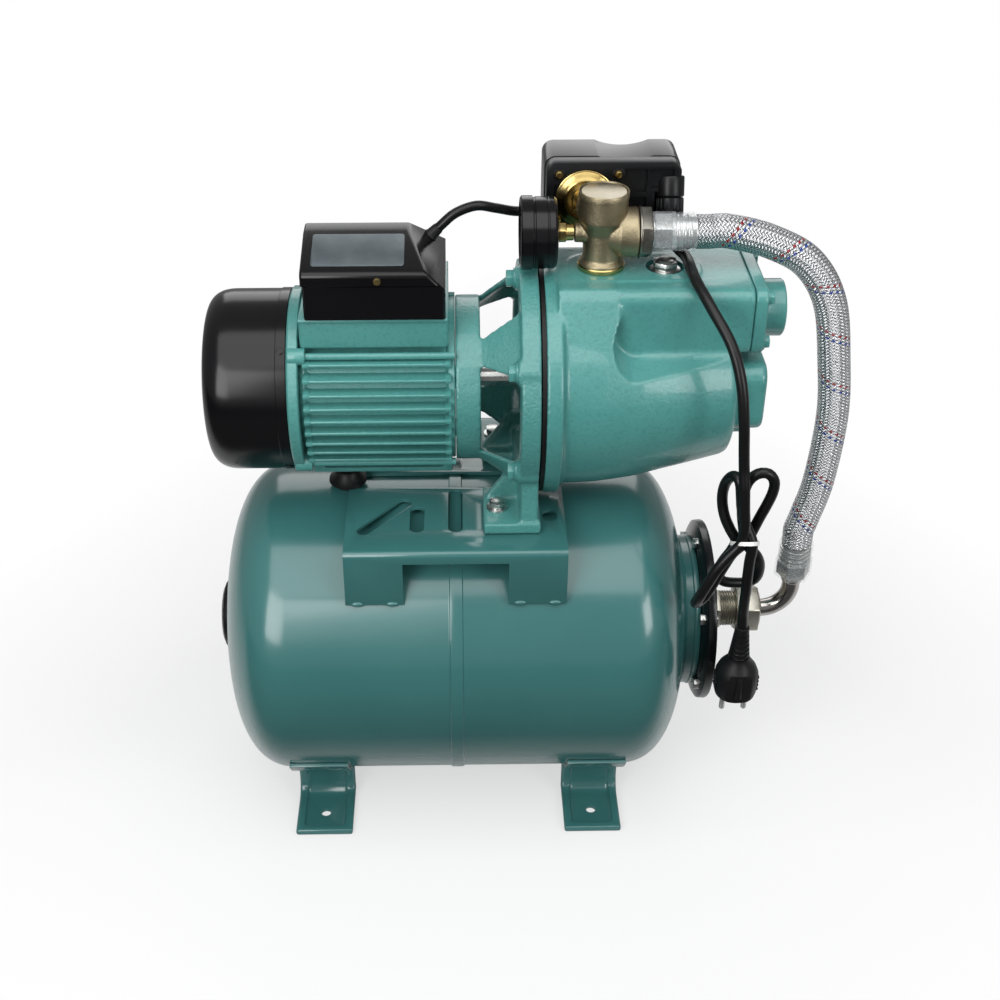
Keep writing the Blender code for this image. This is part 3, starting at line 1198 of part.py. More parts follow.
def lead_route():
    """The lead from the hood's slanted end over to the pressure switch."""
    exit_x = hood_end_x() - 0.0133
    exit_z = hood_base_z() + 0.0359
    gland_x = SWITCH_X + SWITCH_LEFT - LEAD_GLAND_LENGTH - FIT
    return [
        (exit_x - 0.006, 0.020, exit_z - 0.006), (exit_x, 0.020, exit_z), (exit_x + 0.010, 0.020, exit_z + 0.0105),
        (exit_x + 0.021, 0.021, exit_z + 0.0195), (exit_x + 0.037, 0.023, exit_z + 0.0245),
        (exit_x + 0.052, 0.028, exit_z + 0.0205), (gland_x - 0.014, LEAD_GLAND_Y - 0.003, LEAD_GLAND_Z + 0.0015),
        (gland_x - 0.005, LEAD_GLAND_Y, LEAD_GLAND_Z), (gland_x, LEAD_GLAND_Y, LEAD_GLAND_Z),
    ]


def make_buffer():
    """The waisted rubber buffer between the tank and the motor."""
    low = CROWN_Z + FIT
    high = AXIS_Z - BASE_PAD_DROP - FIT
    seat = PLATE_TOP_Z + FIT
    height = high - seat
    spigot = PLATE_INNER_Y - FIT
    return solid_turned(
        "motor_buffer",
        [(low, spigot), (seat, spigot), (seat, BUFFER_RADIUS), (seat + 0.15 * height, BUFFER_RADIUS), (seat + 0.40 * height, 0.62 * BUFFER_RADIUS),
         (seat + 0.6 * height, 0.62 * BUFFER_RADIUS), (seat + 0.8 * height, BUFFER_RADIUS), (high, 0.9 * BUFFER_RADIUS)],
        axis="Z", centre=(BUFFER_X, 0, 0), steps=ROUND_MEDIUM,
    )


def foot_middle_x():
    """The middle of the bracket's foot."""
    return BRACKET_FRONT_X + 0.002 - FOOT_LENGTH / 2 - 0.012


def make_bracket():
    """The cast bracket: motor ring, cage with four windows, pump flange and two ribbed feet."""
    rear = BRACKET_REAR_X
    front = BRACKET_FRONT_X
    cage_radius = BRACKET_FLANGE_RADIUS - 0.009
    seat = BEARING_RADIUS + FIT
    seat_end = rear + BEARING_WIDTH + 2 * FIT
    bracket = turned(
        "pump_bracket",
        [(rear, BRACKET_RING_RADIUS), (rear + BRACKET_RING_WIDTH, BRACKET_RING_RADIUS), (BRACKET_FLANGE_X, cage_radius),
         (BRACKET_FLANGE_X, BRACKET_FLANGE_RADIUS), (front, BRACKET_FLANGE_RADIUS), (front, 0.0158), (front - 0.008, 0.0158),
         (front - 0.008, cage_radius - BRACKET_WALL), (BRACKET_FLANGE_X, cage_radius - BRACKET_WALL),
         (rear + BRACKET_RING_WIDTH, BRACKET_RING_RADIUS - BRACKET_WALL), (seat_end + 0.004, BRACKET_RING_RADIUS - BRACKET_WALL),
         (seat_end + 0.004, 0.012), (seat_end, 0.012), (seat_end, seat), (rear, seat)],
        centre=(0, 0, AXIS_Z), steps=ROUND_LARGE,
    )
    for index in range(4):
        window = block(
            "window", (rear + BRACKET_RING_WIDTH + 0.001, BRACKET_FLANGE_X - 0.001),
            (-WINDOW_HALF_WIDTH, WINDOW_HALF_WIDTH), (0.045, 0.12),
        )
        window.data.transform(Matrix.Translation((0, 0, AXIS_Z)) @ Matrix.Rotation(index * math.pi / 2, 4, "X"))
        cut(bracket, window)
    base = PLATE_TOP_Z + FIT
    foot_rear = front + 0.002 - FOOT_LENGTH
    web = [
        (-FOOT_HALF_WIDTH + 0.001, base + 0.001), (FOOT_HALF_WIDTH - 0.001, base + 0.001),
        (FOOT_HALF_WIDTH - 0.004, AXIS_Z - 0.052),
        (-FOOT_HALF_WIDTH + 0.004, AXIS_Z - 0.052),
    ]
    foot = extruded("foot_web", web, "X", BRACKET_FLANGE_X + 0.001, front - 0.0006)
    inner_face = rod(
        "foot_clear", (BRACKET_FLANGE_X - 0.01, 0, AXIS_Z), (front - 0.001, 0, AXIS_Z), cage_radius - BRACKET_WALL, 40,
    )
    cut(foot, inner_face)
    for side in (-1, 1):
        pad_y = sorted((side * FOOT_ARCH_HALF_WIDTH, side * FOOT_HALF_WIDTH))
        pad = block("foot_pad", (foot_rear, front + 0.002), pad_y, (base, base + FOOT_THICKNESS))
        rib_y = side * (FOOT_BOLT_Y - 0.018)
        rib = extruded(
            "foot_rib",
            [(foot_rear, base + 0.002), (front - 0.004, base + 0.002), (front - 0.004, AXIS_Z - 0.056),
             (BRACKET_FLANGE_X - 0.002, AXIS_Z - 0.056), (foot_rear, base + FOOT_THICKNESS)],
            "Y", *sorted((rib_y - 0.0035, rib_y + 0.0035)),
        )
        join(foot, pad, rib)
    arch = extruded(
        "foot_arch",
        [(-FOOT_ARCH_HALF_WIDTH, base - 0.01), (FOOT_ARCH_HALF_WIDTH, base - 0.01), (FOOT_ARCH_HALF_WIDTH, base + 0.003),
         (0.6 * FOOT_ARCH_HALF_WIDTH, base + 0.0075), (-0.6 * FOOT_ARCH_HALF_WIDTH, base + 0.0075),
         (-FOOT_ARCH_HALF_WIDTH, base + 0.003)],
        "X", foot_rear - 0.01, front + 0.01,
    )
    cut(foot, arch)
    join(bracket, foot)
    bolts = []
    for y, z in ring_places(CASING_BOLTS, BRACKET_FLANGE_RADIUS - 0.0080, 90):
        place = AXIS_Z + z
        if place > base + 0.02:
            bolts.append(hex_head("casing_bolt", (BRACKET_FLANGE_X - 0.0062, y, place), (front - 0.004, y, place), 0.0066))
    join(bracket, *bolts)
    for side in (-1, 1):
        place = (foot_middle_x(), side * FOOT_BOLT_Y)
        hole = rod("foot_hole", (*place, base - 0.01), (*place, base + FOOT_THICKNESS + 0.004), FOOT_BOLT_RADIUS + FIT, ROUND_SMALL)
        cut(bracket, hole)
    return bracket


def make_foot_bolt(name, side):
    """A hex bolt with its washer and nut, through the foot and the plate."""
    x = foot_middle_x()
    y = side * FOOT_BOLT_Y
    seat = PLATE_TOP_Z + FIT + FOOT_THICKNESS + FIT
    tip = PLATE_BOTTOM_Z - 0.003
    bolt = rod(name, (x, y, tip), (x, y, seat + 0.001), FOOT_BOLT_RADIUS, ROUND_SMALL)
    washer = rod("washer", (x, y, seat), (x, y, seat + 0.0016), 0.0088, ROUND_SMALL)
    head = hex_head("head", (x, y, seat + 0.001), (x, y, seat + 0.0065), 0.0074)
    return join(bolt, washer, head)


def impeller_back_x():
    """Where the impeller's hub starts, in front of the bracket."""
    return CASING_REAR_X + 0.006


def cavity_profile():
    """(x, radius) of the casing's inner wall, from outside its open end to its front."""
    start = CASING_REAR_X
    radius = CASING_RADIUS - CASING_WALL
    return [
        (start - 0.010, radius), (start + 0.060, radius), (start + 0.120, CASING_END_RADIUS),
        (start + CASING_BARREL_LENGTH - 0.004, CASING_END_RADIUS - 0.012),
    ]


def make_seal():
    """The shaft seal with its spring cup."""
    start = BRACKET_FRONT_X - 0.008 + FIT
    end = impeller_back_x() - FIT
    return turned(
        "shaft_seal",
        [(start, 0.0155), (start + 0.006, 0.0155), (start + 0.006, 0.0130), (end - 0.003, 0.0130), (end, 0.0115),
         (end, SHAFT_RADIUS + FIT), (start, SHAFT_RADIUS + FIT)],
        centre=(0, 0, AXIS_Z), steps=ROUND_MEDIUM,
    )


def vane(name, inner, outer, sweep, thickness, x_range):
    """A curved vane, swept backwards as it goes out, as a solid between two radii."""
    count = 4
    line = []
    for step in range(count + 1):
        share = step / count
        radius = inner + (outer - inner) * share
        angle = math.radians(sweep) * share ** 0.8
        line.append((radius * math.cos(angle), radius * math.sin(angle), angle + math.radians(sweep) * 0.6))
    left = [(y - thickness * math.sin(a) / 2, z + thickness * math.cos(a) / 2) for y, z, a in line]
    right = [(y + thickness * math.sin(a) / 2, z - thickness * math.cos(a) / 2) for y, z, a in line]
    return extruded(name, left + right[::-1], "X", *x_range)


def make_impeller():
    """The closed impeller: back disc with hub and nut, curved vanes and front shroud with its eye."""
    centre = (0, 0, AXIS_Z)
    start = impeller_back_x()
    disc = 0.0025
    passage = 0.006
    shroud_x = start + disc + passage
    impeller = solid_turned(
        "impeller",
        [(start, IMPELLER_RADIUS), (start + disc, IMPELLER_RADIUS), (start + disc, 0.013), (start + 0.016, 0.010)],
        centre=centre, steps=ROUND_MEDIUM,
    )
    shroud = turned(
        "shroud",
        [(shroud_x, 0.021), (shroud_x, IMPELLER_RADIUS), (shroud_x + 0.002, IMPELLER_RADIUS), (shroud_x + 0.003, 0.025),
         (shroud_x + 0.009, 0.023), (shroud_x + 0.009, 0.021)],
        centre=centre, steps=ROUND_MEDIUM,
    )
    for index in range(IMPELLER_BLADES):
        blade = vane("blade", 0.024, IMPELLER_RADIUS - 0.003, 55, 0.0022, (start + disc - 0.0008, shroud_x + 0.0008))
        blade.data.transform(Matrix.Translation(centre) @ Matrix.Rotation(math.tau * index / IMPELLER_BLADES, 4, "X"))
        join(impeller, blade)
    nut = hex_head("impeller_nut", (start + 0.015, 0, AXIS_Z), (start + 0.0225, 0, AXIS_Z), 0.0092)
    bore = rod("impeller_bore", (start - 0.01, 0, AXIS_Z), (start + 0.04, 0, AXIS_Z), SHAFT_TIP_RADIUS + FIT, ROUND_SMALL)
    join(impeller, shroud, nut)
    cut(impeller, bore)
    return set_origin(impeller, centre)


def make_diffuser():
    """The diffuser bowl in front of the impeller, with its guide vanes and the seat for the ejector."""
    centre = (0, 0, AXIS_Z)
    start = impeller_back_x() + 0.0115
    throat = 0.0262
    outer = (CASING_RADIUS - CASING_WALL) * math.cos(math.pi / ROUND_LARGE) - FIT
    diffuser = turned(
        "diffuser",
        [(start + 0.0045, throat), (start + 0.0045, IMPELLER_RADIUS + 0.002), (CASING_REAR_X + 0.003, IMPELLER_RADIUS + 0.002),
         (CASING_REAR_X + 0.003, IMPELLER_RADIUS + 0.005), (start + 0.008, IMPELLER_RADIUS + 0.005), (start + 0.009, 0.050),
         (start + 0.020, 0.030), (start + 0.020, throat)],
        centre=centre, steps=ROUND_MEDIUM,
    )
    for index in range(8):
        guide = vane("guide", IMPELLER_RADIUS + 0.0035, outer, 14, 0.0022, (CASING_REAR_X + 0.006, start + 0.007))
        guide.data.transform(Matrix.Translation(centre) @ Matrix.Rotation(math.tau * index / 8, 4, "X"))
        join(diffuser, guide)
    return diffuser


def ejector_seat_x():
    """Where the ejector starts, inside the diffuser's throat."""
    return impeller_back_x() + 0.0265


def make_ejector():
    """The venturi tube that leads from the nozzle to the impeller's eye."""
    start = ejector_seat_x()
    end = CASING_REAR_X + CASING_BARREL_LENGTH - 0.004 - FIT
    throat = start + 0.62 * (end - start)
    return turned(
        "ejector",
        [(start, 0.0256), (start + 0.004, 0.0256), (start + 0.006, 0.021), (throat, 0.0125), (end - 0.020, 0.0125),
         (end - 0.016, 0.018), (end, 0.018), (end, 0.0145), (end - 0.014, 0.0125), (end - 0.020, EJECTOR_THROAT_RADIUS + 0.002),
         (throat, EJECTOR_THROAT_RADIUS), (start, 0.018)],
        centre=(0, 0, AXIS_Z), steps=ROUND_SMALL,
    )


def casing_shoulder_outline():
    """The section round the outlet: it leaves the round barrel at its tangent and rises to the flat top."""
    leave = math.radians(32)
    inside = CASING_RADIUS - 0.0024
    half = 0.044
    right = [
        (0.7 * inside, AXIS_Z + 0.010), (inside * math.cos(leave), AXIS_Z + inside * math.sin(leave)),
        (half, CASING_TOP_Z - 0.004), (half - 0.004, CASING_TOP_Z),
    ]
    return right + [(-y, z) for y, z in reversed(right)]


def make_casing():
    """The cast casing: flange, tapering barrel, suction chest above and nose in front."""
    centre = (0, 0, AXIS_Z)
    rear = CASING_REAR_X
    body = CASING_BODY_X
    barrel_end = rear + CASING_BARREL_LENGTH
    casing = solid_turned(
        "pump_casing",
        [(rear, BRACKET_FLANGE_RADIUS), (body, BRACKET_FLANGE_RADIUS), (body, CASING_RADIUS + 0.001),
         (body + 0.030, CASING_RADIUS), (barrel_end, CASING_END_RADIUS), (barrel_end + 0.006, CASING_END_RADIUS - 0.006)],
        centre=centre, steps=ROUND_LARGE,
    )
    shoulder = extruded("shoulder", casing_shoulder_outline(), "X", body - 0.002, body + CASING_SHOULDER_LENGTH)
    half_width = CHEST_HALF_WIDTH - 0.0006
    chest = extruded(
        "chest", rounded_rectangle((-half_width, AXIS_Z + 0.010), (half_width, CASING_TOP_Z - 0.010), 0.010, 2),
        "X", body - 0.003, rear + CHEST_LENGTH - 0.010,
    )
    chest_face = extruded(
        "chest_face",
        rounded_rectangle((-CHEST_HALF_WIDTH, AXIS_Z + CHEST_BOTTOM), (CHEST_HALF_WIDTH, CASING_TOP_Z - 0.0012), 0.010, 2),
        "X", body - 0.002, rear + CHEST_LENGTH,
    )
    nose = extruded(
        "nose",
        rounded_rectangle((-NOSE_HALF_WIDTH, AXIS_Z + NOSE_BOTTOM), (NOSE_HALF_WIDTH, AXIS_Z + NOSE_TOP), 0.014, 2),
        "X", barrel_end - 0.030, rear + NOSE_LENGTH,
    )
    soften(nose, 0.004, 1, 60)
    drain_z = AXIS_Z + DRAIN_HEIGHT
    drain_boss = rod("drain_boss", (barrel_end - 0.020, 0, drain_z), (rear + DRAIN_REACH, 0, drain_z), 0.0125, ROUND_SMALL)
    boss = rod("plug_boss", (rear + PRIMING_REACH, 0, AXIS_Z + 0.07), (rear + PRIMING_REACH, 0, CASING_TOP_Z - 0.0004), 0.019, ROUND_MEDIUM)
    join(casing, shoulder, chest, chest_face, nose, drain_boss, boss)
    cavity = solid_turned("cavity", cavity_profile(), centre=centre, steps=ROUND_LARGE)
    half_step = Matrix.Rotation(math.pi / ROUND_LARGE, 4, "X")
    cavity.data.transform(Matrix.Translation(centre) @ half_step @ Matrix.Translation(-Vector(centre)))
    suction = rod("suction_way", (rear + 0.122, 0, SUCTION_Z), (rear + CHEST_LENGTH + 0.01, 0, SUCTION_Z), 0.019, ROUND_MEDIUM)
    drop = rod("suction_drop", (rear + 0.136, 0, AXIS_Z + 0.010), (rear + 0.136, 0, SUCTION_Z), 0.012, ROUND_SMALL)
    outlet = rod("outlet_way", (OUTLET_X, 0, AXIS_Z + 0.05), (OUTLET_X, 0, CASING_TOP_Z + 0.01), OUTLET_BORE_RADIUS, ROUND_MEDIUM)
    priming = rod(
        "priming_way", (rear + PRIMING_REACH, 0, AXIS_Z + 0.05), (rear + PRIMING_REACH, 0, CASING_TOP_Z + 0.01), PRIMING_RADIUS, ROUND_SMALL,
    )
    spot = rod(
        "priming_spot", (rear + PRIMING_REACH, 0, CASING_TOP_Z - 0.004), (rear + PRIMING_REACH, 0, CASING_TOP_Z + 0.01), 0.0155, ROUND_MEDIUM,
    )
    drain = rod(
        "drain_way", (rear + DRAIN_REACH - 0.012, 0, drain_z), (rear + DRAIN_REACH + 0.01, 0, drain_z), 0.0055, ROUND_SMALL,
    )
    return cut(casing, cavity, suction, drop, outlet, priming, spot, drain)


def make_suction_cover():
    """The cover plate with the threaded suction port and its four bolts."""
    start = COVER_X
    end = start + COVER_THICKNESS
    outline = rounded_rectangle(
        (-CHEST_HALF_WIDTH, AXIS_Z + CHEST_BOTTOM), (CHEST_HALF_WIDTH, CASING_TOP_Z - 0.0012), 0.010, 3,
    )
    cover = extruded("suction_cover", outline, "X", start, end)
    boss = rod("suction_boss", (end - 0.002, 0, SUCTION_Z), (SUCTION_FACE_X, 0, SUCTION_Z), SUCTION_BOSS_RADIUS, ROUND_LARGE)
    bore = rod("suction_bore", (start - 0.01, 0, SUCTION_Z), (SUCTION_FACE_X + 0.01, 0, SUCTION_Z), SUCTION_BORE_RADIUS, ROUND_MEDIUM)
    join(cover, boss)
    for y in (-CHEST_HALF_WIDTH + 0.009, CHEST_HALF_WIDTH - 0.009):
        for z in (AXIS_Z + CHEST_BOTTOM + 0.009, CASING_TOP_Z - 0.010):
            join(cover, hex_head("cover_bolt", (end - 0.001, y, z), (end + 0.0052, y, z), 0.0058))
    return cut(cover, bore)


def make_plugs():
    """The steel priming plug on the casing and the drain plug low on its nose."""
    x = CASING_REAR_X + PRIMING_REACH
    seat = CASING_TOP_Z - 0.004 + FIT
    priming = rod("priming_plug", (x, 0, seat - 0.012), (x, 0, seat + 0.001), PRIMING_RADIUS - FIT, ROUND_SMALL)
    washer = rod("plug_washer", (x, 0, seat), (x, 0, seat + 0.002), 0.0125, ROUND_MEDIUM)
    head = hex_head("plug_head", (x, 0, seat + 0.001), (x, 0, seat + 0.009), 0.0105)
    join(priming, washer, head)
    face = CASING_REAR_X + DRAIN_REACH + FIT
    z = AXIS_Z + DRAIN_HEIGHT
    drain = rod("drain_plug", (face - 0.0095, 0.0, z), (face + 0.001, 0.0, z), 0.0055 - FIT, ROUND_SMALL)
    join(drain, hex_head("drain_head", (face, 0.0, z), (face + 0.006, 0.0, z), 0.0075))
    return priming, drain


def make_gasket():
    """The flat gasket between the bracket and the casing."""
    start = BRACKET_FRONT_X + FIT
    end = CASING_REAR_X - FIT
    outer = BRACKET_FLANGE_RADIUS - 0.004
    inner = CASING_RADIUS - CASING_WALL
    return turned(
        "casing_gasket", [(start, outer), (end, outer), (end, inner), (start, inner)], centre=(0, 0, AXIS_Z), steps=ROUND_LARGE,
    )


CORD_ROUTE = (
    (0.1740, 0.0265, 0.5372), (0.1742, 0.0250, 0.5330), (0.1760, 0.0203, 0.5260), (0.1800, 0.0140, 0.5212),
    (0.1848, 0.0050, 0.5190), (0.1862, -0.0070, 0.5188), (0.1862, -0.0230, 0.5194), (0.1885, -0.0420, 0.5165),
    (0.1970, -0.0640, 0.5060),
    (0.2110, -0.0860, 0.4850), (0.2185, -0.1000, 0.4600), (0.2222, -0.1070, 0.4300), (0.2246, -0.1080, 0.4050),
    (0.2260, -0.1080, 0.3930), (0.2262, -0.1080, 0.3892),
)
TAIL_ROUTE = (
    (0.2388, -0.1080, 0.2535), (0.2390, -0.1080, 0.2510), (0.2396, -0.1082, 0.2440),
    (0.2403, -0.1085, 0.2370), (0.2405, -0.1085, 0.2350), (0.2405, -0.1085, 0.2323),
)
HANK_TOP_Z = 0.3885
HANK_TIE_Z = 0.3162
HANK_BOTTOM_Z = 0.2540
PLUG_TOP = (0.2405, -0.1085, 0.2320)


def make_hank():
    """The outer shape of the tied hank of mains cord: an upper and a lower lobe with a waist at the tie."""
    upper = [(0.211, 0.368), (0.216, HANK_TOP_Z), (0.248, HANK_TOP_Z), (0.258, 0.380), (0.258, 0.362)]
    waist_right = [(0.243, HANK_TIE_Z), (0.254, 0.296), (0.253, 0.277)]
    lower = [(0.244, HANK_BOTTOM_Z), (0.199, HANK_BOTTOM_Z), (0.194, 0.260), (0.199, 0.274)]
    waist_left = [(0.223, HANK_TIE_Z)]
    outline = upper + waist_right + lower + waist_left
    middle = CORD_ROUTE[-1][1]
    hank = extruded("cord_hank", outline, "Y", middle - HANK_THICKNESS / 2, middle + HANK_THICKNESS / 2)
    return soften(hank, 0.004, 2, 25)


def make_plug():
    """The straight two pin plug with its strain relief."""
    x, y, top = PLUG_TOP
    body_top = top - 0.038
    body_low = body_top - 0.034
    plug = solid_turned(
        "mains_plug",
        [(top, 0.0060), (body_top + 0.006, 0.0085), (body_top, 0.0130), (body_top - 0.008, PLUG_RADIUS),
         (body_low + 0.004, PLUG_RADIUS), (body_low, PLUG_RADIUS - 0.003)][::-1],
        axis="Z", centre=(x, y, 0), steps=ROUND_MEDIUM,
    )
    for side in (-1, 1):
        pin_x = x + side * PIN_SPACING / 2
        join(plug, rod("pin", (pin_x, y, body_low - PIN_LENGTH), (pin_x, y, body_low + 0.002), PIN_RADIUS, ROUND_TINY))
    return plug


def make_materials():
    """Every finish of the pump set."""
    return {
        "tank": make_material("tank_enamel", (0.045, 0.165, 0.150), 0.25),
        "cast": make_material("cast_enamel", (0.110, 0.330, 0.280), 0.40),
        "black": make_material("black_plastic", (0.012, 0.012, 0.013), 0.30),
        "rubber": make_material("black_rubber", (0.015, 0.015, 0.015), 0.70),
        "brass": make_material("dull_brass", (0.330, 0.290, 0.180), 0.40, 1.0),
        "zinc": make_material("yellow_zinc", (0.600, 0.420, 0.160), 0.30, 1.0),
        "steel": make_material("plated_steel", (0.550, 0.550, 0.530), 0.35, 1.0),
        "chrome": make_material("dark_chrome", (0.300, 0.300, 0.310), 0.15, 1.0),
        "braid": make_material("steel_braid", (0.600, 0.610, 0.620), 0.35, 1.0),
        "sleeve": make_material("clear_sleeve", (0.700, 0.720, 0.730), 0.20),
        "paper": make_material("dial_white", (0.850, 0.850, 0.840), 0.50),
        "copper": make_material("copper_winding", (0.550, 0.250, 0.120), 0.40, 1.0),
        "ivory": make_material("moulded_ivory", (0.650, 0.620, 0.540), 0.50),
    }


def make_root(name, place):
    """An empty that carries one group of pieces."""
    root = bpy.data.objects.new(name, None)
    root.location = place
    bpy.context.scene.collection.objects.link(root)
    return root


def build():
    """Builds every piece of the pump set."""
    clear_scene()
    finishes = make_materials()
    root = make_root("pump_set", (-SET_MIDDLE_X, 0, 0))

    def place(pieces, finish_name):
        for piece in pieces:
            finish(piece, finishes[finish_name], root)

    place([make_tank_shell()], "tank")
    place([make_tank_foot("tank_foot_left", -FOOT_SPACING / 2), make_tank_foot("tank_foot_right", FOOT_SPACING / 2)], "tank")
    place([make_pump_plate("pump_plate_front", -1), make_pump_plate("pump_plate_rear", 1)], "tank")
    place([make_bladder(), make_gasket(), make_buffer(), make_seal()], "rubber")
    stem, pin, cap = make_air_valve()
    place([stem, pin], "brass")
    place([cap], "black")
    place([make_tank_flange()], "black")
    place([make_nipple(), make_elbow_nut()], "steel")
    place([make_elbow()], "chrome")
    hose, nut, upper, lower = make_hose_set()
    place([hose], "braid")
    place([nut], "steel")
    place([upper, lower], "sleeve")
    place([make_fitting()], "brass")
    place([make_outlet_cap()], "steel")
    case, dial, pointer, lens, gauge_stem = make_gauge()
    place([case, pointer], "black")
    place([dial], "paper")
    place([lens], "sleeve")
    place([gauge_stem], "brass")
    flange, base, gland, spring, lever, cover = make_switch()
    place([flange], "zinc")
    place([base, gland, cover], "black")
    place([spring, lever], "steel")
    place([make_fan_cover(), make_terminal_cover()], "black")
    place([make_end_shield(), make_motor_housing(), make_bracket(), make_casing(), make_suction_cover()], "cast")
    stator, core, shaft, rear_bearing, front_bearing, fan = make_motor_inside()
    place([stator], "copper")
    place([core, shaft, rear_bearing, front_bearing], "steel")
    place([fan], "ivory")
    capacitor, terminals = make_terminal_parts()
    place([capacitor, terminals], "ivory")
    place([make_impeller()], "brass")
    place([make_diffuser(), make_ejector()], "ivory")
    priming, drain = make_plugs()
    place([priming, drain], "steel")
    place([make_foot_bolt("foot_bolt_front", -1), make_foot_bolt("foot_bolt_rear", 1)], "steel")
    lead = tube("switch_lead", smooth_path(lead_route(), 0.008), LEAD_RADIUS)
    cord = tube("mains_cord", smooth_path(CORD_ROUTE, 0.018), CORD_RADIUS)
    tail = tube("cord_tail", smooth_path(TAIL_ROUTE, 0.018), CORD_RADIUS)
    place([lead, cord, tail, make_hank(), make_plug()], "rubber")


build()
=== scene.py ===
"""Looks of a surface pump set: finned motor, cast jet pump, fittings, braided hose and the tank under them.

Sizes are metres in the set's own frame: X runs along the pump shaft from the tank's middle seam and Z up from
the floor. A finished piece is moved by MIDDLE_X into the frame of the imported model.
"""

import logging
import math
from collections.abc import Iterable, Mapping, Sequence
from dataclasses import dataclass
from enum import Enum

import bpy
from mathutils import Euler, Matrix, Vector

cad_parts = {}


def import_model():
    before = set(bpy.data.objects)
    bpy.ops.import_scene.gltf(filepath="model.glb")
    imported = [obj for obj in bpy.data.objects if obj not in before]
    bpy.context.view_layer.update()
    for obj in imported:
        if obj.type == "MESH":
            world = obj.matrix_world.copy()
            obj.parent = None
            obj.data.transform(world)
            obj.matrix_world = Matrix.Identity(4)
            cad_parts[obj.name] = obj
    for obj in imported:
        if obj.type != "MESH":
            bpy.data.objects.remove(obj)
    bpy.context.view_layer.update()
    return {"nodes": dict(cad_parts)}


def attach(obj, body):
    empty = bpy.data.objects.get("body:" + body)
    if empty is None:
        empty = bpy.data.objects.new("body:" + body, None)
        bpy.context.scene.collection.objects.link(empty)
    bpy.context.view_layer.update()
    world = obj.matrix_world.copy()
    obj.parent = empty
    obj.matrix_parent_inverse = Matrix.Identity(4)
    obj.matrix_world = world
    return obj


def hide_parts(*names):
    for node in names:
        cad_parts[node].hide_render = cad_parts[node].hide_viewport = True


Pair = tuple[float, float]
Point = tuple[float, float, float]
Colour = tuple[float, float, float]
Piece = bpy.types.Object

MIDDLE_X = 0.0602
AXIS_Z = 0.4135
TANK_Z = 0.168
PORT_Z = 0.5413
TANK_LINE: Point = (0, 0, TANK_Z)
PORT_LINE: Point = (0, 0, PORT_Z)
ROUND = 96
THREAD_PITCH = 0.0023
CASTING_GRID = 0.0016
CASTING_PASSES = 5

LOG = logging.getLogger("pump_set")


def srgb(red: int, green: int, blue: int) -> Colour:
    """The linear colour of three screen values from 0 to 255."""
    return tuple(
        share / 12.92 if share <= 0.04045 else ((share + 0.055) / 1.055) ** 2.4
        for share in (red / 255, green / 255, blue / 255)
    )


# Finishes


class Tap:
    """One output of a shader node; arithmetic on it adds Math nodes."""

    def __init__(self, sheet: "Sheet", socket: bpy.types.NodeSocket) -> None:
        """Keeps the sheet that the node is on and the output socket."""
        self.sheet = sheet
        self.socket = socket

    def maths(self, operation: str, *values: "Tap | float") -> "Tap":
        """A Math node of the named operation on the values."""
        return self.sheet.node("ShaderNodeMath", {"operation": operation}, dict(enumerate(values)))

    def __add__(self, other: "Tap | float") -> "Tap":
        """This value plus another."""
        return self.maths("ADD", self, other)

    __radd__ = __add__

    def __sub__(self, other: "Tap | float") -> "Tap":
        """This value less another."""
        return self.maths("SUBTRACT", self, other)

    def __rsub__(self, other: float) -> "Tap":
        """A number less this value."""
        return self.maths("SUBTRACT", other, self)

    def __mul__(self, other: "Tap | float") -> "Tap":
        """This value times another."""
        return self.maths("MULTIPLY", self, other)

    __rmul__ = __mul__

    def __truediv__(self, other: "Tap | float") -> "Tap":
        """This value divided by another."""
        return self.maths("DIVIDE", self, other)

    def floor(self) -> "Tap":
        """The whole number below this value."""
        return self.maths("FLOOR", self)

    def part(self) -> "Tap":
        """What is left of this value above its whole number."""
        return self.maths("FRACT", self)

    def wrapped(self, size: float) -> "Tap":
        """This value kept between 0 and size, as on a clock."""
        return self.maths("FLOORED_MODULO", self, size)

    def above(self, limit: float) -> "Tap":
        """1 where this value is over the limit, and 0 elsewhere."""
        return self.maths("GREATER_THAN", self, limit)

    def below(self, limit: float) -> "Tap":
        """1 where this value is under the limit, and 0 elsewhere."""
        return self.maths("LESS_THAN", self, limit)

    def sine(self) -> "Tap":
        """The sine of this value."""
        return self.maths("SINE", self)

    def size(self) -> "Tap":
        """This value without its sign."""
        return self.maths("ABSOLUTE", self)

    def root(self) -> "Tap":
        """The square root of this value."""
        return self.maths("SQRT", self)

    def most(self, other: "Tap") -> "Tap":
        """The larger of this value and another."""
        return self.maths("MAXIMUM", self, other)


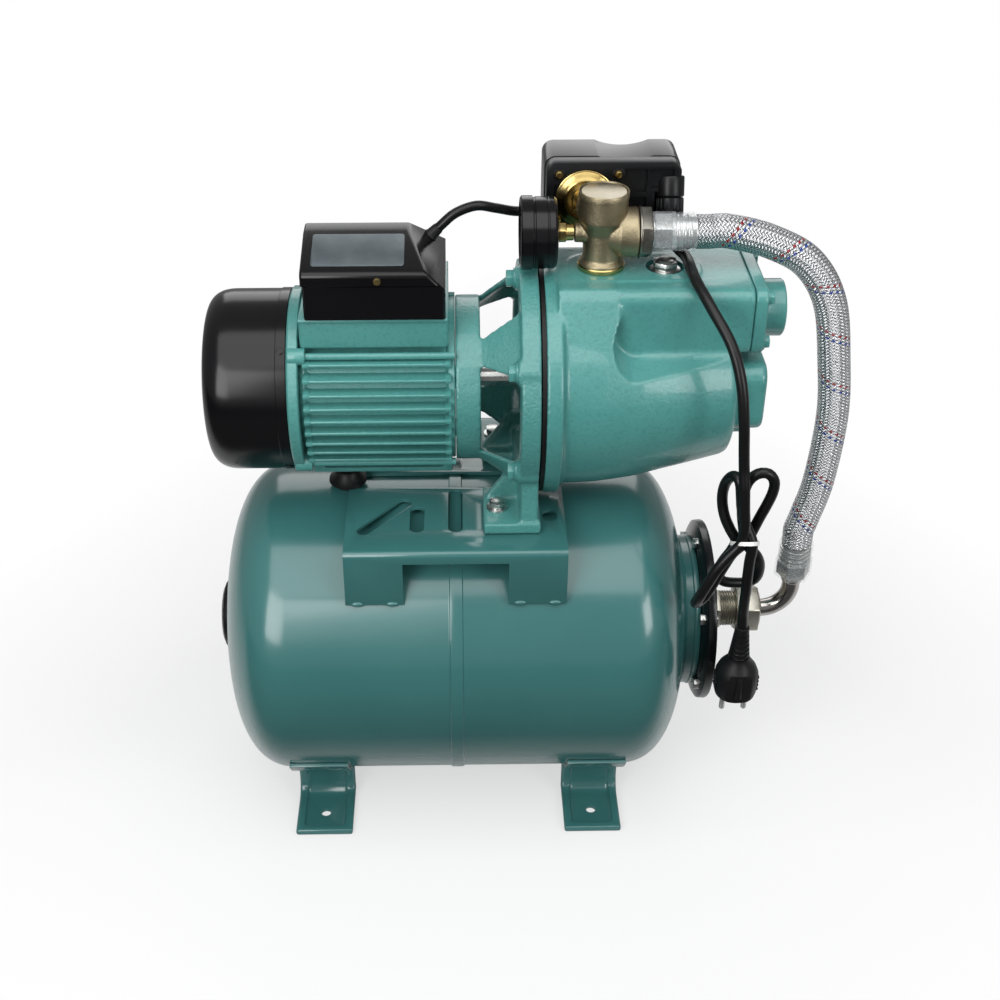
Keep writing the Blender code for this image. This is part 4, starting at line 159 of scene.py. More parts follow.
class Sheet:
    """A material and the shader nodes that are put on it."""

    def __init__(self, name: str) -> None:
        """Starts a material with a Principled surface.

        Args:
            name: The material's name.
        """
        self.material = bpy.data.materials.new(name)
        self.material.use_nodes = True
        self.tree = self.material.node_tree
        self.surface = self.tree.nodes["Principled BSDF"]

    def node(
        self, kind: str, settings: Mapping[str, object] | None = None,
        inputs: Mapping[int | str, object] | None = None, output: int | str = 0,
    ) -> Tap:
        """Adds a node.

        Args:
            kind: The node's type.
            settings: Its settings, with the stops of a ramp under "stops".
            inputs: Values or taps for its sockets, by name or number.
            output: The output to return.

        Returns:
            A tap on that output.
        """
        made = self.tree.nodes.new(kind)
        for name, value in (settings or {}).items():
            if name == "stops":
                self.set_stops(made.color_ramp, value)
            else:
                setattr(made, name, value)
        for key, value in (inputs or {}).items():
            self.feed(made.inputs[key], value)
        return Tap(self, made.outputs[output])

    @staticmethod
    def set_stops(ramp: bpy.types.ColorRamp, stops: Sequence[tuple[float, float]]) -> None:
        """Gives a ramp its stops.

        Args:
            ramp: The ramp.
            stops: A place and a grey value for each.
        """
        while len(ramp.elements) < len(stops):
            ramp.elements.new(0.5)
        for element, (place, grey) in zip(ramp.elements, stops):
            element.position = place
            element.color = (grey, grey, grey, 1.0)

    def feed(self, socket: bpy.types.NodeSocket, value: object) -> None:
        """Links a tap to a socket, or sets a plain value on it.

        Args:
            socket: The socket.
            value: The tap or value.
        """
        if isinstance(value, Tap):
            self.tree.links.new(value.socket, socket)
        else:
            socket.default_value = value

    def set(self, **values: object) -> None:
        """Sets or links sockets of the surface; an underscore stands for a space in a name."""
        for name, value in values.items():
            self.feed(self.surface.inputs[name.replace("_", " ")], value)

    def place(self) -> Tap:
        """Object coordinates."""
        return self.node("ShaderNodeTexCoord", output="Object")

    def along(self, axis: str) -> Tap:
        """One Object coordinate, by its letter."""
        return self.node("ShaderNodeSeparateXYZ", None, {0: self.place()}, axis)

    def noise(self, scale: float, detail: float = 3.0, rough: float = 0.5) -> Tap:
        """Noise on Object coordinates, from 0 to 1."""
        inputs = {"Vector": self.place(), "Scale": scale, "Detail": detail, "Roughness": rough}
        return self.node("ShaderNodeTexNoise", None, inputs)

    def ramp(self, value: Tap, *stops: tuple[float, float]) -> Tap:
        """The value passed through a grey ramp."""
        return self.node("ShaderNodeValToRGB", {"stops": stops}, {0: value})

    def mix(self, share: "Tap | float", first: "Tap | Colour", second: "Tap | Colour") -> Tap:
        """A colour between two others."""
        ends = [colour if isinstance(colour, Tap) else (*colour, 1.0) for colour in (first, second)]
        return self.node("ShaderNodeMix", {"data_type": "RGBA"}, {0: share, 6: ends[0], 7: ends[1]}, 2)

    def bump(self, height: Tap, depth: float, strength: float = 1.0) -> None:
        """Raises the surface by a height of at most depth metres."""
        inputs = {"Height": height, "Distance": depth, "Strength": strength}
        self.set(Normal=self.node("ShaderNodeBump", None, inputs))


@dataclass(frozen=True)
class Enamel:
    """Sprayed enamel over cast iron or pressed steel."""

    name: str
    deep: Colour
    light: Colour
    roughness: float
    grain_scale: float
    grain_depth: float
    coat: float = 0.5
    pit_shade_and_roughness: float = 0.5
    coat_blur: float = 0.09

    def make(self) -> bpy.types.Material:
        """Builds the material.

        Returns:
            The material, with a slow change of tone, an orange peel, the grain of what lies under it and
            painted shade in its hollows.
        """
        sheet = Sheet(self.name)
        broad = sheet.noise(7.0, 3.0)
        grain = sheet.noise(self.grain_scale, 4.0, 0.62)
        lumps = sheet.noise(self.grain_scale * 0.28, 2.0)
        tone = sheet.mix(sheet.ramp(broad, (0.3, 0.0), (0.7, 1.0)), self.deep, self.light)
        # Painted shade: the colour darkens in the grain's hollows, where the bump is low.
        hollow = self.pit_shade_and_roughness * sheet.ramp(grain, (0.34, 1.0), (0.50, 0.0))
        sheet.set(
            Base_Color=sheet.mix(hollow, tone, tuple(0.82 * part for part in self.deep)),
            Roughness=self.roughness + 0.2 * self.pit_shade_and_roughness * (grain - 0.5) + 0.08 * (broad - 0.5),
            Coat_Weight=self.coat, Coat_Roughness=self.coat_blur, Specular_IOR_Level=0.5,
        )
        sheet.bump(0.6 * grain + 0.4 * lumps, self.grain_depth)
        return sheet.material


@dataclass(frozen=True)
class Moulding:
    """Moulded plastic or rubber."""

    name: str
    colour: Colour
    roughness: float
    grain_scale: float = 900.0
    grain_depth: float = 0.00004
    coat: float = 0.0
    shine: float = 0.4

    def make(self) -> bpy.types.Material:
        """Builds the material.

        Returns:
            The material, with a fine mould texture and a slow change of sheen, as from handling.
        """
        sheet = Sheet(self.name)
        grain = sheet.noise(self.grain_scale, 2.0, 0.6)
        broad = sheet.noise(16.0, 3.0)
        lighter = tuple(1.35 * part + 0.001 for part in self.colour)
        sheet.set(
            Base_Color=sheet.mix(broad, self.colour, lighter),
            Roughness=self.roughness + 0.10 * (broad - 0.5) + 0.05 * (grain - 0.5),
            Coat_Weight=self.coat, Coat_Roughness=0.06, Specular_IOR_Level=self.shine,
        )
        sheet.bump(grain, self.grain_depth)
        return sheet.material


@dataclass(frozen=True)
class Metal:
    """Bare or plated metal, cast, turned or drawn."""

    name: str
    colour: Colour
    second: Colour
    roughness: float
    grain_scale: float = 500.0
    grain_depth: float = 0.00003
    spread: float = 0.16

    def make(self) -> bpy.types.Material:
        """Builds the material.

        Returns:
            The material, with two tones of the metal and a roughness that changes with the grain.
        """
        sheet = Sheet(self.name)
        broad = sheet.noise(38.0, 4.0, 0.6)
        grain = sheet.noise(self.grain_scale, 3.0, 0.6)
        sheet.set(
            Base_Color=sheet.mix(sheet.ramp(broad, (0.35, 0.0), (0.65, 1.0)), self.colour, self.second),
            Metallic=1.0, Roughness=self.roughness + self.spread * (grain - 0.5) + 0.08 * (broad - 0.5),
        )
        sheet.bump(grain, self.grain_depth)
        return sheet.material


@dataclass(frozen=True)
class Clear:
    """Clear shrunk plastic or a window."""

    name: str
    colour: Colour
    cover: float
    roughness: float = 0.06

    def make(self) -> bpy.types.Material:
        """Builds the material.

        Returns:
            The material, with a thin clear wall, less clear where it is creased.
        """
        sheet = Sheet(self.name)
        crease = sheet.noise(260.0, 2.0)
        sheet.set(
            Base_Color=(*self.colour, 1.0), Alpha=self.cover + 0.16 * (crease - 0.5),
            Roughness=self.roughness + 0.08 * crease, Coat_Weight=0.35, Coat_Roughness=0.03,
        )
        sheet.bump(crease, 0.0002)
        return sheet.material


@dataclass(frozen=True)
class Braid:
    """Woven stainless wire with a red and a blue tracer, on a tube with its own UV map."""

    name: str
    around: int
    pitch: float
    wires: int = 5

    def make(self) -> bpy.types.Material:
        """Builds the material. U counts metres along the hose and V turns round it.

        Returns:
            The material, with its bundles of wires crossing over and under, two coloured tracers, painted
            shade in the gaps between wires and painted highlight on their crowns.
        """
        sheet = Sheet(self.name)
        place = sheet.node("ShaderNodeUVMap", {"uv_map": "lay"})
        split = {0: place}
        along = sheet.node("ShaderNodeSeparateXYZ", None, split, "X") / self.pitch
        turn = sheet.node("ShaderNodeSeparateXYZ", None, split, "Y") * self.around
        first, second = along - turn, along + turn
        over = (first.floor() + second.floor()).wrapped(2.0).above(0.5)
        under = 1.0 - over
        across = over * first.part() + under * second.part()
        length = over * second.part() + under * first.part()
        wire = (across * self.wires * math.pi).sine().size()
        crown = (length * math.pi).sine()
        height = 0.55 * crown + 0.45 * wire
        bundle = first.floor().wrapped(float(self.around))
        red = bundle.below(0.5) * over
        blue = (bundle - 2.0).size().below(0.5) * over
        thread = (across - 0.5).size().below(0.40)
        # Painted shade and highlight: the steel colour runs from dark in the gaps between wires to bright on
        # their crowns.
        steel = sheet.mix(sheet.ramp(height, (0.25, 0.0), (0.75, 1.0)), srgb(24, 25, 27), srgb(240, 242, 245))
        marked = sheet.mix(red * thread, steel, srgb(150, 38, 44))
        marked = sheet.mix(blue * thread, marked, srgb(40, 70, 150))
        sheet.set(
            Base_Color=marked, Metallic=1.0 - (red + blue) * thread,
            Roughness=0.34 - 0.16 * height,
        )
        sheet.bump(height, 0.0006)
        return sheet.material


@dataclass(frozen=True)
class Dial:
    """The gauge's white dial, with its ticks, sweep and ring in degrees and metres."""

    name: str
    centre: Point
    step: float = 9.0
    sweep: float = 272.0
    inner: float = 0.0185
    outer: float = 0.0225

    def make(self) -> bpy.types.Material:
        """Builds the material.

        Returns:
            The material, with ticks and a scale ring worked out from the angle round the arbor.
        """
        sheet = Sheet(self.name)
        side = sheet.along("Y") - self.centre[1]
        up = sheet.along("Z") - self.centre[2]
        angle = side.maths("ARCTAN2", side, up) * (180 / math.pi)
        radius = (side * side + up * up).root()
        tick = ((angle + 360.0) / self.step + 0.5).part().below(0.14)
        band = radius.above(self.inner) * radius.below(self.outer)
        swept = angle.size().below(self.sweep / 2)
        ring = (radius - self.outer - 0.0004).size().below(0.00025) * swept
        ink = (tick * band * swept).most(ring)
        sheet.set(Base_Color=sheet.mix(ink, srgb(236, 236, 230), srgb(20, 20, 22)), Roughness=0.45)
        return sheet.material


class Finish(Enum):
    """Every finish on the pump set."""

    TANK = Enamel(
        "tank_enamel_deep", srgb(55, 108, 107), srgb(60, 114, 112), 0.23, 240.0, 0.00002, 0.4, 0.06, 0.12,
    )
    CAST = Enamel("cast_enamel_light", srgb(71, 137, 133), srgb(81, 148, 143), 0.32, 330.0, 0.0007, 0.4)
    ROUGH = Enamel("cast_enamel_sandy", srgb(71, 137, 133), srgb(81, 148, 143), 0.30, 460.0, 0.0014, 0.5)
    MACHINED = Enamel("cast_enamel_smooth", srgb(73, 139, 135), srgb(81, 148, 143), 0.30, 300.0, 0.0002, 0.4)
    GLOSS = Moulding("black_gloss", srgb(9, 9, 11), 0.20, 1200.0, 0.00001, 0.0, 0.33)
    SATIN = Moulding("black_satin", srgb(12, 13, 15), 0.36, 900.0, 0.00005, 0.0, 0.3)
    PAINT = Moulding("black_paint", srgb(11, 12, 14), 0.20, 300.0, 0.00006)
    RUBBER = Moulding("black_rubber_skin", srgb(13, 13, 14), 0.46, 700.0, 0.00006, 0.0, 0.3)
    CORD = Moulding("cord_sheath", srgb(12, 12, 13), 0.34, 500.0, 0.00005, 0.0, 0.35)
    IVORY = Moulding("ivory_moulding", srgb(212, 208, 190), 0.45, 600.0, 0.00004)
    TIE = Moulding("white_tie", srgb(226, 226, 222), 0.35, 600.0, 0.00003)
    PLATE = Metal("blank_plate", srgb(120, 130, 136), srgb(138, 148, 152), 0.42, 260.0, 0.00002)
    BRASS = Metal("cast_brass_skin", srgb(142, 132, 106), srgb(168, 156, 128), 0.43, 620.0, 0.0003)
    CAP = Metal("worn_brass_disc", srgb(186, 176, 152), srgb(206, 198, 178), 0.34, 520.0, 0.00006)
    GOLD = Metal("turned_brass", srgb(190, 164, 104), srgb(206, 186, 130), 0.24, 500.0, 0.00003)
    ZINC = Metal("golden_zinc_plate", srgb(190, 160, 98), srgb(156, 140, 92), 0.22, 420.0, 0.00003)
    STEEL = Metal("plated_steel_skin", srgb(176, 178, 176), srgb(204, 205, 202), 0.28, 420.0, 0.00004)
    PEWTER = Metal("dark_nut", srgb(112, 110, 104), srgb(144, 141, 132), 0.34, 500.0, 0.00008)
    CHROME = Metal("dark_chrome_tube", srgb(158, 154, 150), srgb(178, 174, 170), 0.17, 300.0, 0.00002, 0.06)
    PIPE = Metal("galvanised_pipe", srgb(168, 165, 154), srgb(192, 189, 178), 0.34, 420.0, 0.00008)
    COPPER = Metal("copper_windings", srgb(150, 86, 52), srgb(176, 106, 66), 0.40, 500.0, 0.00012)
    BRAID = Braid("woven_wire", 16, 0.0029, 3)
    SLEEVE = Clear("clear_shrink_sleeve", srgb(226, 232, 236), 0.12)
    WINDOW = Clear("clear_gauge_window", srgb(232, 238, 240), 0.16, 0.03)
    DIAL = Dial("gauge_dial_face", (0.0728 - MIDDLE_X, 0.0, PORT_Z))

    def material(self) -> bpy.types.Material:
        """The finish's material, made once and then shared."""
        known = bpy.data.materials.get(self.value.name)
        return known or self.value.make()


# Modelling


class Axis(Enum):
    """The way a turned or extruded piece lies."""

    X = (1.0, 0.0, 0.0)
    Y = (0.0, 1.0, 0.0)
    Z = (0.0, 0.0, 1.0)

    def turned(self, along: float, radius: float) -> Vector:
        """A profile point before it is spun about this axis through the origin."""
        return {
            Axis.X: Vector((along, 0, radius)), Axis.Y: Vector((radius, along, 0)),
            Axis.Z: Vector((radius, 0, along)),
        }[self]

    def flat(self, first: float, second: float, along: float) -> Vector:
        """An outline point: (y, z) for X, (x, z) for Y and (x, y) for Z, at a place along the axis."""
        return {
            Axis.X: Vector((along, first, second)), Axis.Y: Vector((first, along, second)),
            Axis.Z: Vector((first, second, along)),
        }[self]


class Bench:
    """The moves that the pieces are modelled with, each one made by Blender's operators."""

    @staticmethod
    def pick(*pieces: Piece) -> None:
        """Selects pieces and nothing else.

        Args:
            pieces: The pieces. The first one becomes the active one.
        """
        bpy.ops.object.select_all(action="DESELECT")
        for piece in pieces:
            piece.select_set(True)
        bpy.context.view_layer.objects.active = pieces[0]

    @classmethod
    def drawn(cls, name: str, points: Sequence[Vector]) -> Piece:
        """Draws a line by extruding one vertex, and stays in edit mode.

        Args:
            name: The line's name.
            points: The points that it goes through.

        Returns:
            The line.
        """
        bpy.ops.object.select_all(action="DESELECT")
        bpy.ops.mesh.primitive_plane_add(size=0.01)
        piece = bpy.context.object
        piece.name = piece.data.name = name
        bpy.ops.object.mode_set(mode="EDIT")
        bpy.ops.mesh.select_all(action="SELECT")
        bpy.ops.mesh.merge(type="CENTER")
        bpy.ops.transform.translate(value=points[0])
        for start, end in zip(points, points[1:]):
            bpy.ops.mesh.extrude_vertices_move(TRANSFORM_OT_translate={"value": end - start})
        bpy.ops.mesh.select_all(action="SELECT")
        return piece

    @staticmethod
    def close() -> None:
        """Merges doubles, turns the faces outwards and leaves edit mode."""
        bpy.ops.mesh.select_all(action="SELECT")
        bpy.ops.mesh.remove_doubles(threshold=1e-6)
        bpy.ops.mesh.normals_make_consistent(inside=False)
        bpy.ops.object.mode_set(mode="OBJECT")

    @classmethod
    def lathe(
        cls, name: str, profile: Sequence[Pair], axis: Axis = Axis.X, centre: Point = (0, 0, AXIS_Z),
        steps: int = ROUND, ring: bool = False,
    ) -> Piece:
        """Spins a profile of (place along the axis, radius) points.

        Args:
            name: The piece's name.
            profile: The points. A ring's profile is closed; any other one is closed onto the axis.
            axis: The axis of the spin.
            centre: A point on the axis.
            steps: Sides of the result.
            ring: Whether the piece has a bore.

        Returns:
            The closed piece.
        """
        whole = [*profile, profile[0]] if ring else [(profile[0][0], 0.0), *profile, (profile[-1][0], 0.0)]
        middle = Vector(centre)
        piece = cls.drawn(name, [middle + axis.turned(along, radius) for along, radius in whole])
        bpy.ops.mesh.spin(steps=steps, angle=math.tau, center=middle, axis=axis.value)
        cls.close()
        return piece

    @classmethod
    def slab(
        cls, name: str, outline: Sequence[Pair], axis: Axis, start: float, end: float,
    ) -> Piece:
        """Extrudes a closed outline along an axis.

        Args:
            name: The piece's name.
            outline: The outline's points, as Axis.flat takes them.
            axis: The axis.
            start: Where the piece starts on it.
            end: Where it ends.

        Returns:
            The closed piece.
        """
        points = [axis.flat(first, second, start) for first, second in outline]
        piece = cls.drawn(name, [*points, points[0]])
        bpy.ops.mesh.remove_doubles(threshold=1e-6)
        bpy.ops.mesh.edge_face_add()
        bpy.ops.mesh.extrude_region_move(TRANSFORM_OT_translate={"value": (end - start) * Vector(axis.value)})
        cls.close()
        return piece

    @classmethod
    def block(cls, name: str, x: Pair, y: Pair, z: Pair) -> Piece:
        """A box between limits, for a cut or a join."""
        return cls.slab(name, [(y[0], z[0]), (y[1], z[0]), (y[1], z[1]), (y[0], z[1])], Axis.X, *x)

    @classmethod
    def bar(
        cls, name: str, start: Sequence[float], end: Sequence[float], radius: float, sides: int = 32,
        tip: float | None = None,
    ) -> Piece:
        """Makes a round or hexagonal bar.

        Args:
            name: Its name.
            start: The middle of its first end.
            end: The middle of its other end.
            radius: Its radius, over the corners of a hexagon.
            sides: How many sides it has.
            tip: Its radius at the other end, where that differs.

        Returns:
            The bar.
        """
        first, last = Vector(start), Vector(end)
        line = last - first
        bpy.ops.object.select_all(action="DESELECT")
        bpy.ops.mesh.primitive_cone_add(
            vertices=sides, radius1=radius, radius2=radius if tip is None else tip, depth=line.length,
            location=(first + last) / 2, rotation=line.to_track_quat("Z", "Y").to_euler(),
        )
        piece = bpy.context.object
        piece.name = piece.data.name = name
        bpy.ops.object.transform_apply(location=True, rotation=True, scale=True)
        return piece

    @classmethod
    def modified(cls, piece: Piece, kind: str, **settings: object) -> Piece:
        """Adds a modifier and applies it.

        Args:
            piece: The piece.
            kind: The modifier's type.
            settings: Its settings.

        Returns:
            The same piece.
        """
        cls.pick(piece)
        bpy.ops.object.modifier_add(type=kind)
        modifier = piece.modifiers[-1]
        for name, value in settings.items():
            setattr(modifier, name, value)
        bpy.ops.object.modifier_apply(modifier=modifier.name)
        return piece

    @classmethod
    def boolean(cls, piece: Piece, operation: str, tools: Iterable[Piece]) -> Piece:
        """Joins or cuts a piece with tools, which are removed.

        Args:
            piece: The piece.
            operation: UNION or DIFFERENCE.
            tools: The tools.

        Returns:
            The same piece.
        """
        for tool in tools:
            cls.modified(piece, "BOOLEAN", operation=operation, solver="EXACT", object=tool)
            bpy.data.objects.remove(tool, do_unlink=True)
        return piece

    @classmethod
    def united(cls, piece: Piece, *tools: Piece) -> Piece:
        """The piece and its tools as one body."""
        return cls.boolean(piece, "UNION", tools)

    @classmethod
    def cut(cls, piece: Piece, *tools: Piece) -> Piece:
        """The piece less its tools."""
        return cls.boolean(piece, "DIFFERENCE", tools)

    @classmethod
    def rounded(
        cls, piece: Piece, width: float, segments: int = 3, angle: float = 35.0,
    ) -> Piece:
        """Rounds the edges sharper than the angle."""
        return cls.modified(
            piece, "BEVEL", width=width, segments=segments, limit_method="ANGLE",
            angle_limit=math.radians(angle), harden_normals=False,
        )

    @classmethod
    def cast(
        cls, piece: Piece, others: Sequence[Piece], grid: float, passes: int,
    ) -> Piece:
        """Melts overlapping bodies into one with the round corners of a casting.

        Args:
            piece: The first body.
            others: The other bodies.
            grid: The size of a voxel.
            passes: How often the result is smoothed.

        Returns:
            The casting.
        """
        cls.grouped(piece, *others)
        cls.modified(piece, "REMESH", mode="VOXEL", voxel_size=grid, use_smooth_shade=True)
        return cls.modified(piece, "SMOOTH", factor=0.5, iterations=passes)

    @classmethod
    def grouped(cls, piece: Piece, *others: Piece) -> Piece:
        """Joins pieces in one object, each body kept whole.

        Args:
            piece: The piece that stays.
            others: The pieces that go into it.

        Returns:
            The piece that stays.
        """
        cls.pick(piece, *others)
        if others:
            bpy.ops.object.join()
        return piece

    @classmethod
    def copied(cls, piece: Piece, name: str, move: Sequence[float]) -> Piece:
        """Makes a copy of a piece.

        Args:
            piece: The piece, which stays.
            name: The copy's name.
            move: How far the copy is moved.

        Returns:
            The copy, with its own mesh.
        """
        cls.pick(piece)
        bpy.ops.object.duplicate()
        twin = bpy.context.object
        twin.name = twin.data.name = name
        bpy.ops.transform.translate(value=move)
        bpy.ops.object.transform_apply(location=True, rotation=True, scale=True)
        return twin

    @classmethod
    def spread(cls, piece: Piece, moves: Iterable[Sequence[float]]) -> Piece:
        """Puts a piece that is modelled once at several places.

        Args:
            piece: The piece, which goes with the first move.
            moves: How far the piece and each copy of it are moved.

        Returns:
            The piece and its copies as one object.
        """
        first, *others = moves
        twins = [cls.copied(piece, f"{piece.name}_copy", move) for move in others]
        cls.pick(piece)
        bpy.ops.transform.translate(value=first)
        bpy.ops.object.transform_apply(location=True, rotation=True, scale=True)
        return cls.grouped(piece, *twins)

    @classmethod
    def hex_head(
        cls, name: str, start: Sequence[float], end: Sequence[float], radius: float, soft: float = 0.0006,
    ) -> Piece:
        """A hexagonal head or nut with eased edges."""
        return cls.rounded(cls.bar(name, start, end, radius, 6), soft, 2, 25)

    @classmethod
    def deliver(
        cls, piece: Piece, finish: Finish, slot: str, *nodes: str, body: str = "pump_set",
        angle: float = 38.0,
    ) -> Piece:
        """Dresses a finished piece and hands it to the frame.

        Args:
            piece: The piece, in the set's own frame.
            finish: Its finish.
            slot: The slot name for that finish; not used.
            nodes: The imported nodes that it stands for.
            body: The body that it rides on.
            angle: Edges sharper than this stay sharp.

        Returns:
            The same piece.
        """
        cls.pick(piece)
        bpy.ops.transform.translate(value=(-MIDDLE_X, 0, 0))
        bpy.ops.object.transform_apply(location=True, rotation=True, scale=True)
        if piece.type == "MESH":
            bpy.ops.object.shade_smooth_by_angle(angle=math.radians(angle))
        piece.data.materials.clear()
        piece.data.materials.append(finish.material())
        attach(piece, body)
        if nodes:
            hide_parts(*nodes)
        LOG.info("%s dressed in %s", piece.name, finish.value.name)
        return piece


def arc(centre: Pair, radius: float, start: float, end: float, count: int) -> list[Pair]:
    """Points along an arc, with its angles in degrees."""
    angles = [math.radians(start + (end - start) * step / count) for step in range(count + 1)]
    return [(centre[0] + radius * math.cos(angle), centre[1] + radius * math.sin(angle)) for angle in angles]


def round_box(low: Pair, high: Pair, radius: float, count: int = 6) -> list[Pair]:
    """Draws a rectangle with round corners.

    Args:
        low: Its lower left corner.
        high: Its upper right corner.
        radius: The radius of its corners.
        count: Steps in each corner.

    Returns:
        The outline's points.
    """
    corners = (
        ((high[0] - radius, high[1] - radius), 0), ((low[0] + radius, high[1] - radius), 90),
        ((low[0] + radius, low[1] + radius), 180), ((high[0] - radius, low[1] + radius), 270),
    )
    return [point for centre, angle in corners for point in arc(centre, radius, angle, angle + 90, count)]


def slot_shape(start: Pair, end: Pair, width: float, count: int = 8) -> list[Pair]:
    """The outline of a slot with round ends."""
    angle = math.degrees(math.atan2(end[1] - start[1], end[0] - start[0]))
    return arc(start, width / 2, angle + 90, angle + 270, count) + arc(
        end, width / 2, angle - 90, angle + 90, count,
    )


def ring_places(count: int, radius: float, start: float) -> list[Pair]:
    """(y, z) places evenly round a circle."""
    return [
        (radius * math.cos(math.radians(start) + math.tau * index / count),
         radius * math.sin(math.radians(start) + math.tau * index / count))
        for index in range(count)
    ]


def smooth_path(points: Sequence[Point], spacing: float) -> list[Vector]:
    """Draws a smooth curve through points.

    Args:
        points: The points.
        spacing: About how far apart the curve's own points lie.

    Returns:
        Evenly spaced points on the curve.
    """
    knots = [Vector(point) for point in points]
    knots = [2 * knots[0] - knots[1], *knots, 2 * knots[-1] - knots[-2]]
    dense: list[Vector] = []
    for before, start, end, after in zip(knots, knots[1:], knots[2:], knots[3:]):
        for step in range(24):
            t = step / 24
            dense.append(0.5 * (
                2 * start + (end - before) * t + (2 * before - 5 * start + 4 * end - after) * t ** 2
                + (3 * start - before - 3 * end + after) * t ** 3
            ))
    dense.append(knots[-2])
    lengths = [0.0]
    for start, end in zip(dense, dense[1:]):
        lengths.append(lengths[-1] + (end - start).length)
    count = max(2, round(lengths[-1] / spacing))
    path, index = [], 0
    for step in range(count + 1):
        wanted = lengths[-1] * step / count
        while index < len(dense) - 2 and lengths[index + 1] < wanted:
            index += 1
        share = (wanted - lengths[index]) / (lengths[index + 1] - lengths[index])
        path.append(dense[index].lerp(dense[index + 1], share))
    return path


def path_length(path: Sequence[Vector]) -> float:
    """The length of a line of points."""
    return sum((end - start).length for start, end in zip(path, path[1:]))


def cord_curve(name: str, path: Sequence[Vector], radius: float) -> Piece:
    """Makes a round cord as a curve of one open spline.

    Args:
        name: Its name.
        path: Its centre line.
        radius: Its radius.

    Returns:
        The cord.
    """
    curve = bpy.data.curves.new(name, "CURVE")
    curve.dimensions = "3D"
    curve.bevel_depth = radius
    curve.bevel_resolution = 6
    curve.use_fill_caps = True
    spline = curve.splines.new("POLY")
    spline.points.add(len(path) - 1)
    for point, place in zip(spline.points, path):
        point.co = (*place, 1.0)
    cord = bpy.data.objects.new(name, curve)
    bpy.context.scene.collection.objects.link(cord)
    return cord


# Tank


